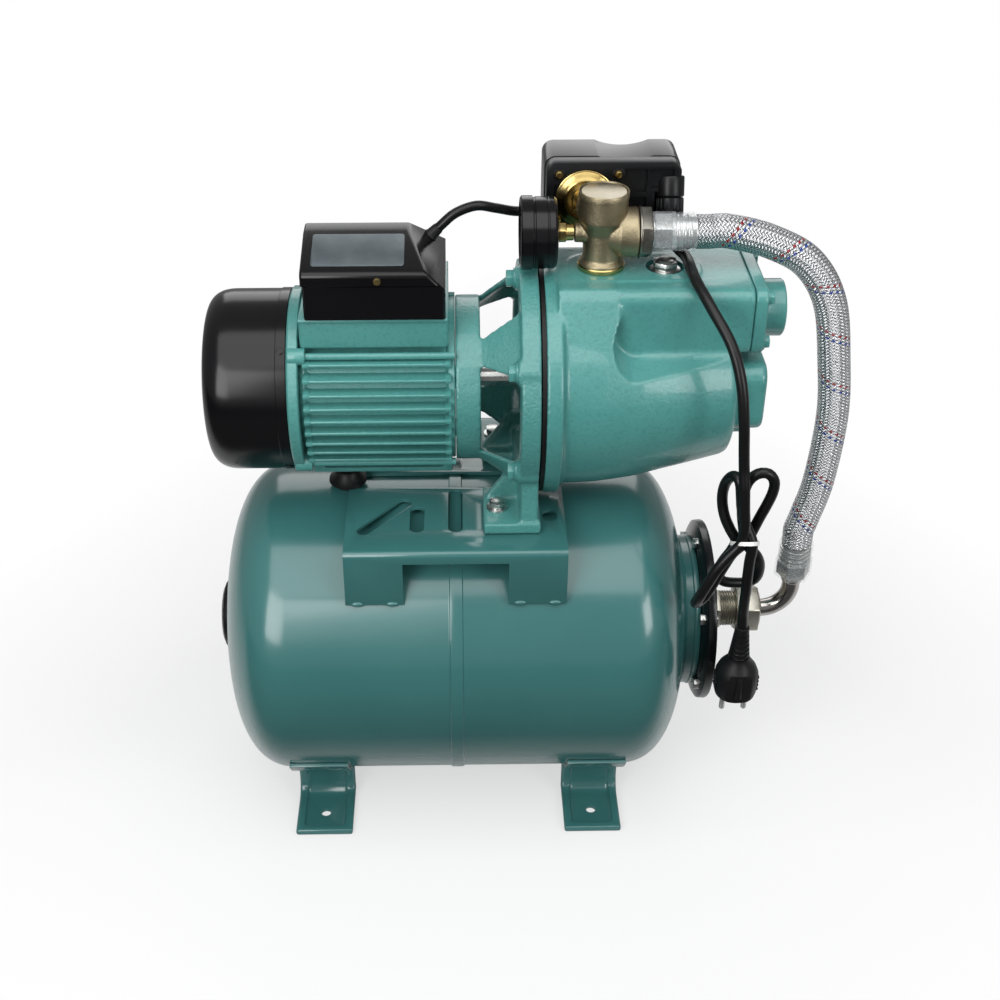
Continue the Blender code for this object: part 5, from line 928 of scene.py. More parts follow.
@dataclass
class PressureTank:
    """The pressed tank with its feet, plates, flange and air valve cover."""

    radius: float = 0.1405
    half: float = 0.205
    dome: float = 0.063
    power: float = 2.6
    neck: float = 0.068
    neck_end: float = 0.215
    foot_spacing: float = 0.247
    crown: float = 0.3085
    foot_width: float = 0.052
    bolts: int = 6
    bolt_ring: float = 0.0735
    grips: int = 24

    def dome_line(self, inner: float, count: int) -> list[Pair]:
        """Draws half a section of a dome.

        Args:
            inner: The radius of the hole in its middle.
            count: Steps from the hole to the rim.

        Returns:
            (reach, radius) points from the hole to the rim.
        """
        points = []
        start = math.asin((inner / self.radius) ** (self.power / 2))
        for step in range(count + 1):
            angle = start + (math.pi / 2 - start) * step / count
            radius = self.radius * math.sin(angle) ** (2 / self.power)
            reach = self.dome * max(0.0, 1 - (radius / self.radius) ** self.power) ** (1 / self.power)
            points.append((reach, radius))
        return points

    def shell(self) -> None:
        """The two welded halves, with the raised seam and the neck's weld."""
        straight = self.half - self.dome
        rim = self.radius
        left = [(-straight - reach, radius) for reach, radius in self.dome_line(0.0065, 22)]
        seam = [
            (-0.0068, rim), (-0.0058, rim + 0.0002), (-0.0050, rim + 0.0012), (-0.0042, rim + 0.0014),
            (0.0042, rim + 0.0014), (0.0050, rim + 0.0012), (0.0058, rim + 0.0002), (0.0068, rim),
        ]
        right = [(straight + reach, radius) for reach, radius in self.dome_line(self.neck + 0.004, 16)][::-1]
        start = right[-1][0]
        neck = [
            (start + 0.0012, self.neck + 0.0016), (start + 0.003, self.neck + 0.0002), (0.2095, self.neck),
            (0.2105, self.neck + 0.0010), (0.2130, self.neck + 0.0010), (self.neck_end, self.neck),
        ]
        piece = Bench.lathe("tank_body", left + seam + right + neck, centre=TANK_LINE, steps=144)
        Bench.deliver(piece, Finish.TANK, "tank_enamel", "tank_shell", angle=28)

    def feet(self) -> None:
        """The two pressed feet with raised rims, risers and the strap that hugs the tank."""
        middle, half = -self.foot_spacing / 2, self.foot_width / 2
        low, high = middle - half, middle + half
        hug, sheet, rim = self.radius + 0.0003, 0.0032, 0.003
        inside = arc((0, TANK_Z), hug, 214, 326, 28)
        outside = arc((0, TANK_Z), hug + sheet, 326, 214, 28)
        strap = Bench.slab("foot_left_pressing", inside + outside, Axis.X, low, high)
        rise = TANK_Z - math.sqrt((hug + sheet / 2) ** 2 - 0.060 ** 2)
        thick = sheet + rim
        for turn in (-1, 1):
            side_angle = 180 if turn > 0 else 360
            corner = arc((turn * 0.075, thick + 0.012), 0.012, 270, side_angle, 5)
            riser = [(turn * 0.0568, 0.0), (turn * 0.118, 0.0), (turn * 0.118, thick), *corner,
                     (turn * 0.063, rise), (turn * 0.0568, rise)]
            leg = Bench.rounded(Bench.slab("leg", riser, Axis.X, low, high), 0.0022, 3, 50)
            curve = arc((turn * 0.075, sheet + 0.0122), 0.0122, side_angle, 270, 5)
            tray = [(turn * 0.112, sheet), (turn * 0.112, 0.03), (turn * 0.083, rise - 0.010),
                    (turn * 0.0602, rise - 0.010), *curve]
            hollow = Bench.slab("tray", tray, Axis.X, low + 0.007, high - 0.007)
            hollow = Bench.rounded(hollow, 0.0035, 3, 60)
            hole = Bench.bar("hole", (middle, turn * 0.092, -0.01), (middle, turn * 0.092, 0.02), 0.0045, 24)
            Bench.united(strap, Bench.cut(leg, hollow, hole))
        Bench.rounded(strap, 0.0004, 2, 50)
        twin = Bench.copied(strap, "foot_right_pressing", (self.foot_spacing, 0, 0))
        Bench.deliver(strap, Finish.TANK, "tank_enamel", "tank_foot_left")
        Bench.deliver(twin, Finish.TANK, "tank_enamel", "tank_foot_right")

    def plate(self, side: int) -> None:
        """Builds an L-shaped plate with its slots, legs and the weld spots under the legs.

        Args:
            side: -1 for the front plate and 1 for the rear one.
        """
        name = "saddle_plate_front" if side < 0 else "saddle_plate_rear"
        node = "pump_plate_front" if side < 0 else "pump_plate_rear"
        low, high, half = self.crown + 0.0003, self.crown + 0.0033, 0.0915
        inner, outer = 0.012, 0.110
        foot = TANK_Z + math.sqrt((self.radius + 0.0006) ** 2 - 0.107 ** 2)
        bend, down = (side * (outer - 0.005), high - 0.005), 90 - side * 90
        sheet = [
            (side * inner, low), (side * inner, high), *arc(bend, 0.005, 90, down, 6),
            (side * outer, foot), (side * (outer - 0.003), foot), *arc(bend, 0.002, down, 90, 4),
        ]
        plate = Bench.slab(name, sheet, Axis.X, -half, half)
        Bench.cut(
            plate,
            Bench.block(
                "notch", (-0.0435, 0.0435), sorted((side * 0.10, side * 0.12)), (foot - 0.01, low - 0.008),
            ),
        )
        spots = [
            ((0.0, side * 0.022), (0.0, side * 0.074)), ((-0.032, side * 0.048), (-0.032, side * 0.074)),
            ((0.032, side * 0.048), (0.032, side * 0.074)), ((-0.076, side * 0.077), (-0.043, side * 0.036)),
            ((0.079, side * 0.054), (0.079, side * 0.059)),
        ]
        cuts = [
            Bench.slab("slot", slot_shape(start, end, 0.0122), Axis.Z, low - 0.004, high + 0.004)
            for start, end in spots
        ]
        cuts.append(Bench.bar("seam", (-0.011, 0, TANK_Z), (0.011, 0, TANK_Z), self.radius + 0.002, 144))
        Bench.rounded(Bench.cut(plate, *cuts), 0.0008, 2, 50)
        bpy.ops.object.select_all(action="DESELECT")
        bpy.ops.mesh.primitive_uv_sphere_add(
            segments=16, ring_count=8, radius=0.0042, location=(0, side * 0.1096, foot + 0.0008),
            scale=(1.3, 0.55, 0.55),
        )
        spot = bpy.context.object
        bpy.ops.object.transform_apply(location=True, rotation=True, scale=True)
        Bench.grouped(plate, Bench.spread(spot, [(x, 0, 0) for x in (-0.053, -0.082, 0.053, 0.082)]))
        Bench.deliver(plate, Finish.TANK, "tank_enamel", node)

    def flange(self) -> None:
        """The dished flange with its raised rim and threaded hub, and its bolts."""
        start = self.neck_end + 0.0003
        face = start + 0.004
        rim = start + 0.0125
        dish = Bench.lathe("flange_dish", [
            (start, 0.0160), (start, self.neck), (start + 0.001, self.neck + 0.003), (start + 0.0035, 0.0795),
            (start + 0.005, 0.0820), (rim - 0.002, 0.0825), (rim - 0.0004, 0.0818), (rim, 0.0800),
            (rim - 0.0006, 0.0782), (rim - 0.003, 0.0772), (face + 0.0015, 0.0700), (face, 0.0660),
            (face, 0.0620), (face + 0.0012, 0.0600), (face + 0.0012, 0.0380), (face + 0.004, 0.0330),
            (start + 0.013, 0.0262), (start + 0.0165, 0.0245), (start + 0.0203, 0.0240),
            (start + 0.0205, 0.0235), (start + 0.0205, 0.0167),
        ], centre=TANK_LINE, ring=True, steps=112)
        Bench.deliver(dish, Finish.PAINT, "flange_black", "tank_flange", angle=50)
        near, inward = face + 0.0016, 0.945
        places = ring_places(self.bolts, self.bolt_ring, 30)
        washer = Bench.rounded(
            Bench.bar("flange_bolts", (near, 0, TANK_Z), (near + 0.0016, 0, TANK_Z), 0.0068), 0.0003, 2,
        )
        nut = Bench.hex_head("nut", (near + 0.0016, 0, TANK_Z), (near + 0.0062, 0, TANK_Z), 0.0058)
        stud = Bench.bar("stud", (near + 0.006, 0, TANK_Z), (near + 0.0090, 0, TANK_Z), 0.0030)
        Bench.grouped(washer, nut, Bench.rounded(stud, 0.0005, 2))
        head = Bench.hex_head("head", (start - 0.0020, 0, TANK_Z), (start + 0.0030, 0, TANK_Z), 0.0052)
        bolts = Bench.spread(washer, [(0, inward * y, inward * z) for y, z in places])
        Bench.grouped(bolts, Bench.spread(head, [(0, y, z) for y, z in places]))
        Bench.deliver(bolts, Finish.STEEL, "plated_steel")

    def air_cover(self) -> None:
        """The screwed black cover over the air valve, with its grips."""
        face = -self.half - 0.0003
        cover = Bench.lathe("air_cover", [
            (face - 0.009, 0.012), (face - 0.0088, 0.0170), (face - 0.0075, 0.0250), (face - 0.0055, 0.0295),
            (face - 0.001, 0.0315), (face, 0.0315),
        ], centre=TANK_LINE)
        grips = []
        for y, z in ring_places(self.grips, 0.0305, 0):
            grips.append(
                Bench.bar(
                    "grip", (face - 0.0055, 0.95 * y, TANK_Z + 0.95 * z), (face - 0.0004, y, TANK_Z + z),
                    0.0009, 8,
                )
            )
        Bench.grouped(cover, *grips)
        Bench.deliver(cover, Finish.SATIN, "black_plastic", "air_valve_cap")

    def build(self) -> None:
        """Builds and dresses the tank."""
        self.shell()
        self.feet()
        for side in (-1, 1):
            self.plate(side)
        self.flange()
        self.air_cover()


# Pipe and hose


@dataclass
class HoseRun:
    """The pipe from the tank, the elbow, the braided hose and its ends."""

    radius: float = 0.0135
    nut_x: float = 0.2568
    top_x: float = 0.3068
    turn_x: float = 0.2808
    bend: float = 0.026
    ferrule: float = 0.0357
    ferrule_radius: float = 0.0155
    upper_x: float = 0.1556
    hose_x: float = 0.1916
    lower_z: float = 0.2063
    hose_z: float = 0.2423

    def pipe(self) -> None:
        """The threaded nipple with its hexagon."""
        start, end = 0.219, 0.2693
        line = [(start, 0.0125)]
        place = start
        while place + THREAD_PITCH < end:
            line += [(place, 0.0164), (place + 0.5 * THREAD_PITCH, 0.0152), (place + THREAD_PITCH, 0.0164)]
            place += THREAD_PITCH
        line += [(end, 0.0155), (end, 0.0125)]
        nipple = Bench.lathe("pipe_nipple", line, centre=TANK_LINE, steps=64, ring=True)
        collar = Bench.hex_head("collar", (0.2361, 0, TANK_Z), (0.2421, 0, TANK_Z), 0.0195)
        Bench.grouped(nipple, collar)
        Bench.deliver(nipple, Finish.PIPE, "plated_steel", "flange_nipple")

    def nut(self) -> None:
        """The union nut on the nipple, with a thick hexagon and a round shoulder."""
        nut = Bench.hex_head(
            "union_nut", (self.nut_x, 0, TANK_Z), (self.nut_x + 0.0205, 0, TANK_Z), 0.0232, 0.0012,
        )
        shoulder = Bench.lathe(
            "shoulder",
            [(self.nut_x + 0.020, 0.019), (self.nut_x + 0.0217, 0.0175), (self.nut_x + 0.022, 0.0090)],
            centre=TANK_LINE, steps=48,
        )
        Bench.grouped(nut, shoulder)
        Bench.deliver(nut, Finish.PIPE, "plated_steel", "elbow_nut")

    def elbow(self) -> None:
        """The bent chromed tube with a bead at each end."""
        path = [(self.top_x, 0.0, self.lower_z - 0.0002), (self.top_x, 0.0, TANK_Z + self.bend + 0.001)]
        bend = arc((self.turn_x, TANK_Z + self.bend), self.bend, 0, -90, 16)
        path += [(x, 0.0, z) for x, z in bend]
        path.append((self.turn_x - 0.006, 0.0, TANK_Z))
        tube = cord_curve("elbow_tube", [Vector(point) for point in path], 0.0080)
        tube.data.bevel_resolution = 10
        Bench.pick(tube)
        bpy.ops.object.convert(target="MESH")
        tube = bpy.context.object
        bead = Bench.rounded(
            Bench.bar("bead", (self.turn_x - 0.003, 0, TANK_Z), (self.turn_x, 0, TANK_Z), 0.0096, 48), 0.0008,
            3,
        )
        top = Bench.rounded(
            Bench.bar(
                "bead_top", (self.top_x, 0, self.lower_z - 0.006), (self.top_x, 0, self.lower_z - 0.0003),
                0.0094, 48,
            ),
            0.0008, 3,
        )
        Bench.grouped(tube, bead, top)
        Bench.deliver(tube, Finish.CHROME, "dark_chrome", "elbow", angle=60)

    def route(self) -> list[Point]:
        """Lays the hose from the brass fitting to the elbow.

        Returns:
            The points of its centre line.
        """
        points = [
            (self.hose_x, PORT_Z), (self.hose_x + 0.010, PORT_Z), (self.hose_x + 0.026, PORT_Z),
            (0.2500, PORT_Z - 0.0085), (0.2830, PORT_Z - 0.0270), (0.3050, PORT_Z - 0.062),
            (0.3155, PORT_Z - 0.115), (0.3212, PORT_Z - 0.168), (0.3180, PORT_Z - 0.232),
            (0.3105, PORT_Z - 0.270), (self.top_x, self.hose_z + 0.014), (self.top_x, self.hose_z + 0.008),
            (self.top_x, self.hose_z),
        ]
        return [(x, 0.0, z) for x, z in points]

    def hose(self, end_piece: Piece) -> None:
        """Builds the braided hose as a tube with a UV map that follows it: U metres along, V turns round.

        Args:
            end_piece: The ferrule on its far end; not used.
        """
        path = smooth_path(self.route(), 0.0015)
        around = 40
        vertices, faces, uvs = [], [], []
        travelled = [0.0]
        for start, end in zip(path, path[1:]):
            travelled.append(travelled[-1] + (end - start).length)
        side = Vector((0, 1, 0))
        for index, place in enumerate(path):
            along = (path[min(index + 1, len(path) - 1)] - path[max(index - 1, 0)]).normalized()
            out = side.cross(along).normalized()
            for step in range(around):
                angle = math.tau * step / around
                vertices.append(place + self.radius * (math.cos(angle) * side + math.sin(angle) * out))
        for index in range(len(path) - 1):
            for step in range(around):
                following = (step + 1) % around
                first, second = index * around, (index + 1) * around
                faces.append((first + step, second + step, second + following, first + following))
                low, high = step / around, (step + 1) / around
                uvs += [
                    (travelled[index], low), (travelled[index + 1], low), (travelled[index + 1], high),
                    (travelled[index], high),
                ]
        mesh = bpy.data.meshes.new("braided_hose")
        mesh.from_pydata(vertices, [], faces)
        layer = mesh.uv_layers.new(name="lay")
        for loop, place in zip(layer.data, uvs):
            loop.uv = place
        hose = bpy.data.objects.new("braided_hose", mesh)
        bpy.context.scene.collection.objects.link(hose)
        Bench.pick(hose)
        bpy.ops.object.mode_set(mode="EDIT")
        bpy.ops.mesh.select_all(action="SELECT")
        bpy.ops.mesh.normals_make_consistent(inside=False)
        bpy.ops.object.mode_set(mode="OBJECT")
        Bench.deliver(hose, Finish.BRAID, "steel_braid", "hose", angle=60)
        moved = [tuple(point - Vector((MIDDLE_X, 0, 0))) for point in path]
        path_length(path)
        moved[::4] + ([moved[-1]] if (len(moved) - 1) % 4 else [])

    def ferrule_at(self, name: str, node: str, move: Matrix) -> Piece:
        """Builds a swaged steel ferrule under its clear sleeve, along X from the origin, and moves it.

        Args:
            name: The start of both pieces' names.
            node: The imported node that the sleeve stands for.
            move: Where the two pieces go.

        Returns:
            The ferrule.
        """
        length, radius = self.ferrule, self.ferrule_radius
        crimp = Bench.lathe(f"{name}_crimp", [
            (0.0002, 0.0118), (0.001, 0.0126), (0.0165, 0.0126), (0.0172, 0.0129), (0.0320, 0.0129),
            (0.0330, 0.0131), (0.0345, 0.0131), (0.0352, 0.0130), (length, 0.0128),
        ], centre=(0, 0, 0), steps=64)
        flats = Bench.hex_head("flats", (0.0022, 0, 0), (0.0158, 0, 0), 0.0152, 0.0006)
        bead = Bench.rounded(Bench.bar("bead", (0, 0, 0), (0.0030, 0, 0), 0.0138, 48), 0.0008, 2)
        beads = Bench.spread(bead, [(x, 0, 0) for x in (0.0185, 0.0232, 0.0280)])
        Bench.grouped(crimp, flats, beads)
        crimp.matrix_world = move
        Bench.deliver(crimp, Finish.STEEL, "plated_steel")
        sleeve = Bench.lathe(f"{name}_sleeve", [
            (length - 0.0200, 0.0146), (length - 0.0175, 0.0152), (length - 0.0012, radius),
            (length - 0.0002, 0.0151), (length - 0.0002, 0.0146), (length - 0.0180, 0.0144),
        ], centre=(0, 0, 0), steps=64, ring=True)
        facets = Bench.bar("facets", (0.0004, 0, 0), (length - 0.0170, 0, 0), 0.0172, 6)
        hollow = Bench.bar("hollow", (-0.001, 0, 0), (length - 0.0160, 0, 0), 0.0158, 6)
        Bench.grouped(sleeve, Bench.rounded(Bench.cut(facets, hollow), 0.0012, 3, 25))
        sleeve.matrix_world = move
        Bench.deliver(sleeve, Finish.SLEEVE, "clear_sleeve", node)
        return crimp

    def upper_nut(self) -> None:
        """The dark hexagonal nut at the brass fitting, and its washer."""
        start = 0.1459
        nut = Bench.hex_head(
            "hose_union_nut", (start, 0, PORT_Z), (start + 0.0094, 0, PORT_Z), 0.0212, 0.0010,
        )
        neck = Bench.bar("neck", (start - 0.0085, 0, PORT_Z), (start + 0.001, 0, PORT_Z), 0.0150, 48)
        collar = Bench.rounded(
            Bench.bar("collar", (start - 0.0002, 0, PORT_Z), (start + 0.0016, 0, PORT_Z), 0.0205, 64), 0.0005,
            2,
        )
        Bench.grouped(nut, neck, collar)
        Bench.deliver(nut, Finish.PEWTER, "plated_steel", "hose_nut_upper")

    def build(self) -> None:
        """Builds and dresses the run from the tank to the brass fitting."""
        upright = Matrix.Translation((self.top_x, 0, self.lower_z)) @ Matrix.Rotation(-math.pi / 2, 4, "Y")
        self.hose(self.ferrule_at("lower", "hose_ferrule_lower", upright))
        self.ferrule_at("upper", "hose_ferrule_upper", Matrix.Translation((self.upper_x, 0, PORT_Z)))
        self.pipe()
        self.nut()
        self.elbow()
        self.upper_nut()


# Motor


@dataclass
class Motor:
    """The finned motor with its end shield, fan cover, terminal hood and rubber buffer."""

    rear: float = -0.1217
    front: float = 0.0010
    core: float = 0.0635
    tip: float = 0.0745
    fins: int = 9
    pitch: float = 0.0108
    hood_left: float = -0.1160
    hood_right: float = -0.0047
    hood_base: float = 0.4943

    def housing(self) -> None:
        """The housing with its fins, the pad under the hood and the pad over the buffer."""
        rear, front = self.rear, self.front
        body = Bench.lathe("motor_body", [
            (rear, 0.0580), (rear, 0.0640), (rear + 0.002, 0.0655), (rear + 0.004, 0.0655),
            (rear + 0.006, self.core), (front - 0.007, self.core), (front - 0.005, 0.0660),
            (front - 0.0008, 0.0665), (front, 0.0658), (front, 0.0580),
        ], ring=True)
        grouped = []
        for index in range(self.fins):
            z = (index - (self.fins - 1) / 2) * self.pitch
            half = math.sqrt(self.tip ** 2 - z ** 2)
            inner = math.sqrt((self.core - 0.003) ** 2 - z ** 2)
            for side in (-1, 1):
                fin = Bench.block(
                    "fin", (rear + 0.003, front - 0.003), sorted((side * inner, side * half)),
                    (AXIS_Z + z - 0.0013, AXIS_Z + z + 0.0013),
                )
                grouped.append(Bench.rounded(fin, 0.0010, 3, 50))
                for end in (rear + 0.003, front - 0.0085):
                    pad = Bench.block(
                        "fin_end", (end, end + 0.0055), sorted((side * inner, side * (half + 0.0004))),
                        (AXIS_Z + z - 0.0019, AXIS_Z + z + 0.0019),
                    )
                    grouped.append(Bench.rounded(pad, 0.0010, 2, 50))
        box = Bench.rounded(
            Bench.block(
                "box", (rear + 0.0015, front - 0.005), (-0.052, 0.052), (AXIS_Z + 0.0535, AXIS_Z + 0.0805),
            ),
            0.0028,
        )
        ledge = Bench.rounded(
            Bench.block(
                "ledge", (rear + 0.0015, front - 0.005), (-0.0548, 0.0548),
                (AXIS_Z + 0.0775, AXIS_Z + 0.0803),
            ),
            0.0010,
        )
        base = Bench.block(
            "base", (rear + 0.003, front - 0.003), (-0.027, 0.027), (AXIS_Z - 0.0755, AXIS_Z - 0.060),
        )
        gap = Bench.block(
            "gap", (rear + 0.011, front - 0.011), (-0.054, 0.054), (AXIS_Z - 0.0715, AXIS_Z - 0.0645),
        )
        Bench.grouped(body, *grouped, box, ledge, Bench.rounded(Bench.cut(base, gap), 0.0012, 2, 50))
        Bench.deliver(body, Finish.CAST, "cast_enamel", "motor_housing")

    def shield(self) -> None:
        """The rear end shield and its tie rods with their nuts."""
        front, rear = self.rear - 0.0003, self.rear - 0.0093
        ring = Bench.lathe("rear_shield", [
            (front, 0.0590), (front, 0.0755), (front - 0.0008, 0.0765), (rear + 0.0015, 0.0765),
            (rear, 0.0750), (rear, 0.0715), (rear - 0.0078, 0.0715), (rear - 0.0078, 0.0680),
            (rear + 0.002, 0.0660), (rear + 0.002, 0.0250), (rear - 0.0030, 0.0220), (rear - 0.0038, 0.0110),
            (front - 0.002, 0.0110), (front - 0.002, 0.0590),
        ], ring=True)
        rod = Bench.bar("rod", (front - 0.003, 0, AXIS_Z), (0.0010, 0, AXIS_Z), 0.0028, 20)
        lug = Bench.bar("lug", (rear + 0.001, 0, AXIS_Z), (front + 0.006, 0, AXIS_Z), 0.0068, 32)
        Bench.grouped(rod, Bench.rounded(lug, 0.0012, 2))
        corners = [(0, y, z) for y in (-0.0545, 0.0545) for z in (-0.0487, 0.0487)]
        Bench.grouped(ring, Bench.spread(rod, corners))
        Bench.deliver(ring, Finish.CAST, "cast_enamel", "end_shield")

    def fan_cover(self) -> None:
        """The gloss black fan cover with its rows of air slots and its lip."""
        front, rear, radius = -0.1313, -0.1993, 0.0745
        outer = [(rear, 0.030)]
        outer += [
            (rear + 0.024 - 0.024 * math.cos(turn) ** 0.8, radius - 0.019 + 0.019 * math.sin(turn) ** 0.8)
            for turn in (math.pi / 2 * step / 18 for step in range(19))
        ]
        outer += [
            (front - 0.0085, radius), (front - 0.0080, radius + 0.0006), (front - 0.0005, radius + 0.0006),
            (front, radius),
        ]
        inner = [(front, radius - 0.002), (rear + 0.025, radius - 0.002)]
        inner += arc((rear + 0.0225, radius - 0.0225), 0.0205, 90, 180, 10)
        inner += [(rear + 0.002, 0.030)]
        cover = Bench.lathe("fan_hood", [*outer, *inner], steps=128, ring=True)
        disc = Bench.bar("disc", (rear, 0, AXIS_Z), (rear + 0.002, 0, AXIS_Z), 0.0302, 64)
        Bench.united(cover, disc)
        slots = []
        for row in range(-3, 4):
            z = row * 0.0115
            half = math.sqrt(max(0.0, 0.046 ** 2 - z ** 2))
            for start, end in ((-half, -0.004), (0.004, half)):
                outline = slot_shape((start, AXIS_Z + z), (end, AXIS_Z + z), 0.0052, 6)
                slots.append(Bench.slab("slot", outline, Axis.X, rear - 0.005, rear + 0.006))
        Bench.cut(cover, *slots)
        screws = []
        for y, z in ring_places(4, radius, 45):
            out = Vector((0, y, z)).normalized()
            seat = Vector((front - 0.0042, 0, AXIS_Z)) + out * (radius + 0.0004)
            screws.append(Bench.rounded(Bench.bar("screw", seat, seat + 0.0010 * out, 0.0030, 24), 0.0004, 2))
        Bench.grouped(cover, *screws)
        Bench.deliver(cover, Finish.GLOSS, "black_plastic", "fan_cover", angle=40)

    def hood(self) -> None:
        """The terminal hood: box, lid, the joint between them, the slanted end, a blank plate and a screw."""
        base, front, back = self.hood_base, -0.058, 0.050
        wall, rear, top = base + 0.0377, base + 0.0190, base + 0.0527
        joint = base + 0.0290
        low, high = self.hood_left, self.hood_right
        section = [
            (front, base), (back, base), (back, rear), (0.010, top), (-0.008, top),
            (front + 0.004, wall + 0.003), (front, wall),
        ]
        hood = Bench.slab("hood_box", section, Axis.X, low, high)
        wedge = [
            (high - 0.0488, top + 0.02), (high + 0.02, top - 0.0488), (high + 0.04, top - 0.0488),
            (high + 0.04, top + 0.02),
        ]
        Bench.cut(hood, Bench.slab("wedge", wedge, Axis.Y, -0.1, 0.1))
        Bench.rounded(hood, 0.0042, 5, 18)
        ledge = Bench.block(
            "ledge", (low - 0.01, high + 0.01), (front - 0.01, back + 0.02), (base - 0.01, joint),
        )
        inset = round_box((low + 0.0011, front + 0.0011), (high - 0.0011, back - 0.0011), 0.004)
        keep = Bench.slab("keep", inset, Axis.Z, base - 0.02, joint + 0.01)
        Bench.cut(hood, Bench.cut(ledge, keep))
        seam = Bench.block(
            "seam", (low - 0.01, high + 0.01), (front - 0.01, back + 0.02), (joint - 0.0012, joint - 0.0003),
        )
        inset = round_box((low + 0.0020, front + 0.0020), (high - 0.0020, back - 0.0020), 0.004)
        core = Bench.slab("core", inset, Axis.Z, joint - 0.01, joint + 0.01)
        Bench.cut(hood, Bench.cut(seam, core))
        Bench.deliver(hood, Finish.GLOSS, "black_plastic", "terminal_cover", angle=30)
        slope = math.atan2(top - wall - 0.003, 0.054 - 0.008)
        middle = Vector(((low + high) / 2 - 0.012, -0.031, 0.0))
        plate = Bench.slab(
            "rating_plate_blank", round_box((-0.0355, -0.0195), (0.0355, 0.0195), 0.0025), Axis.Z, 0.0,
            0.0005,
        )
        Bench.rounded(plate, 0.0002, 2)
        height = wall + 0.003 + (middle.y - (front + 0.004)) * math.tan(slope) + 0.0001
        plate.matrix_world = Matrix.Translation((middle.x, middle.y, height)) @ Matrix.Rotation(slope, 4, "X")
        Bench.deliver(plate, Finish.PLATE, "black_plastic")
        head = [(front - 0.0012, 0.0018), (front - 0.0010, 0.0028), (front + 0.001, 0.0032)]
        screw = Bench.lathe("hood_screw", head, Axis.Y, ((low + high) / 2 + 0.003, 0, joint + 0.0040), 24)
        Bench.deliver(screw, Finish.GOLD, "plated_steel")

    def buffer(self) -> None:
        """The waisted rubber buffer under the motor."""
        low, high = 0.3121, 0.3377
        piece = Bench.lathe("rubber_buffer", [
            (0.3090, 0.0115), (low, 0.0117), (low, 0.0150), (low + 0.0012, 0.0163), (low + 0.004, 0.0160),
            (low + 0.008, 0.0115), (low + 0.0125, 0.0102), (low + 0.017, 0.0125), (low + 0.0195, 0.0158),
            (high - 0.002, 0.0162), (high, 0.0150),
        ], Axis.Z, (-0.093, 0, 0), 64)
        Bench.deliver(piece, Finish.RUBBER, "black_rubber", "motor_buffer")

    def build(self) -> None:
        """Builds and dresses the motor."""
        self.housing()
        self.shield()
        self.fan_cover()
        self.hood()
        self.buffer()


# Pump


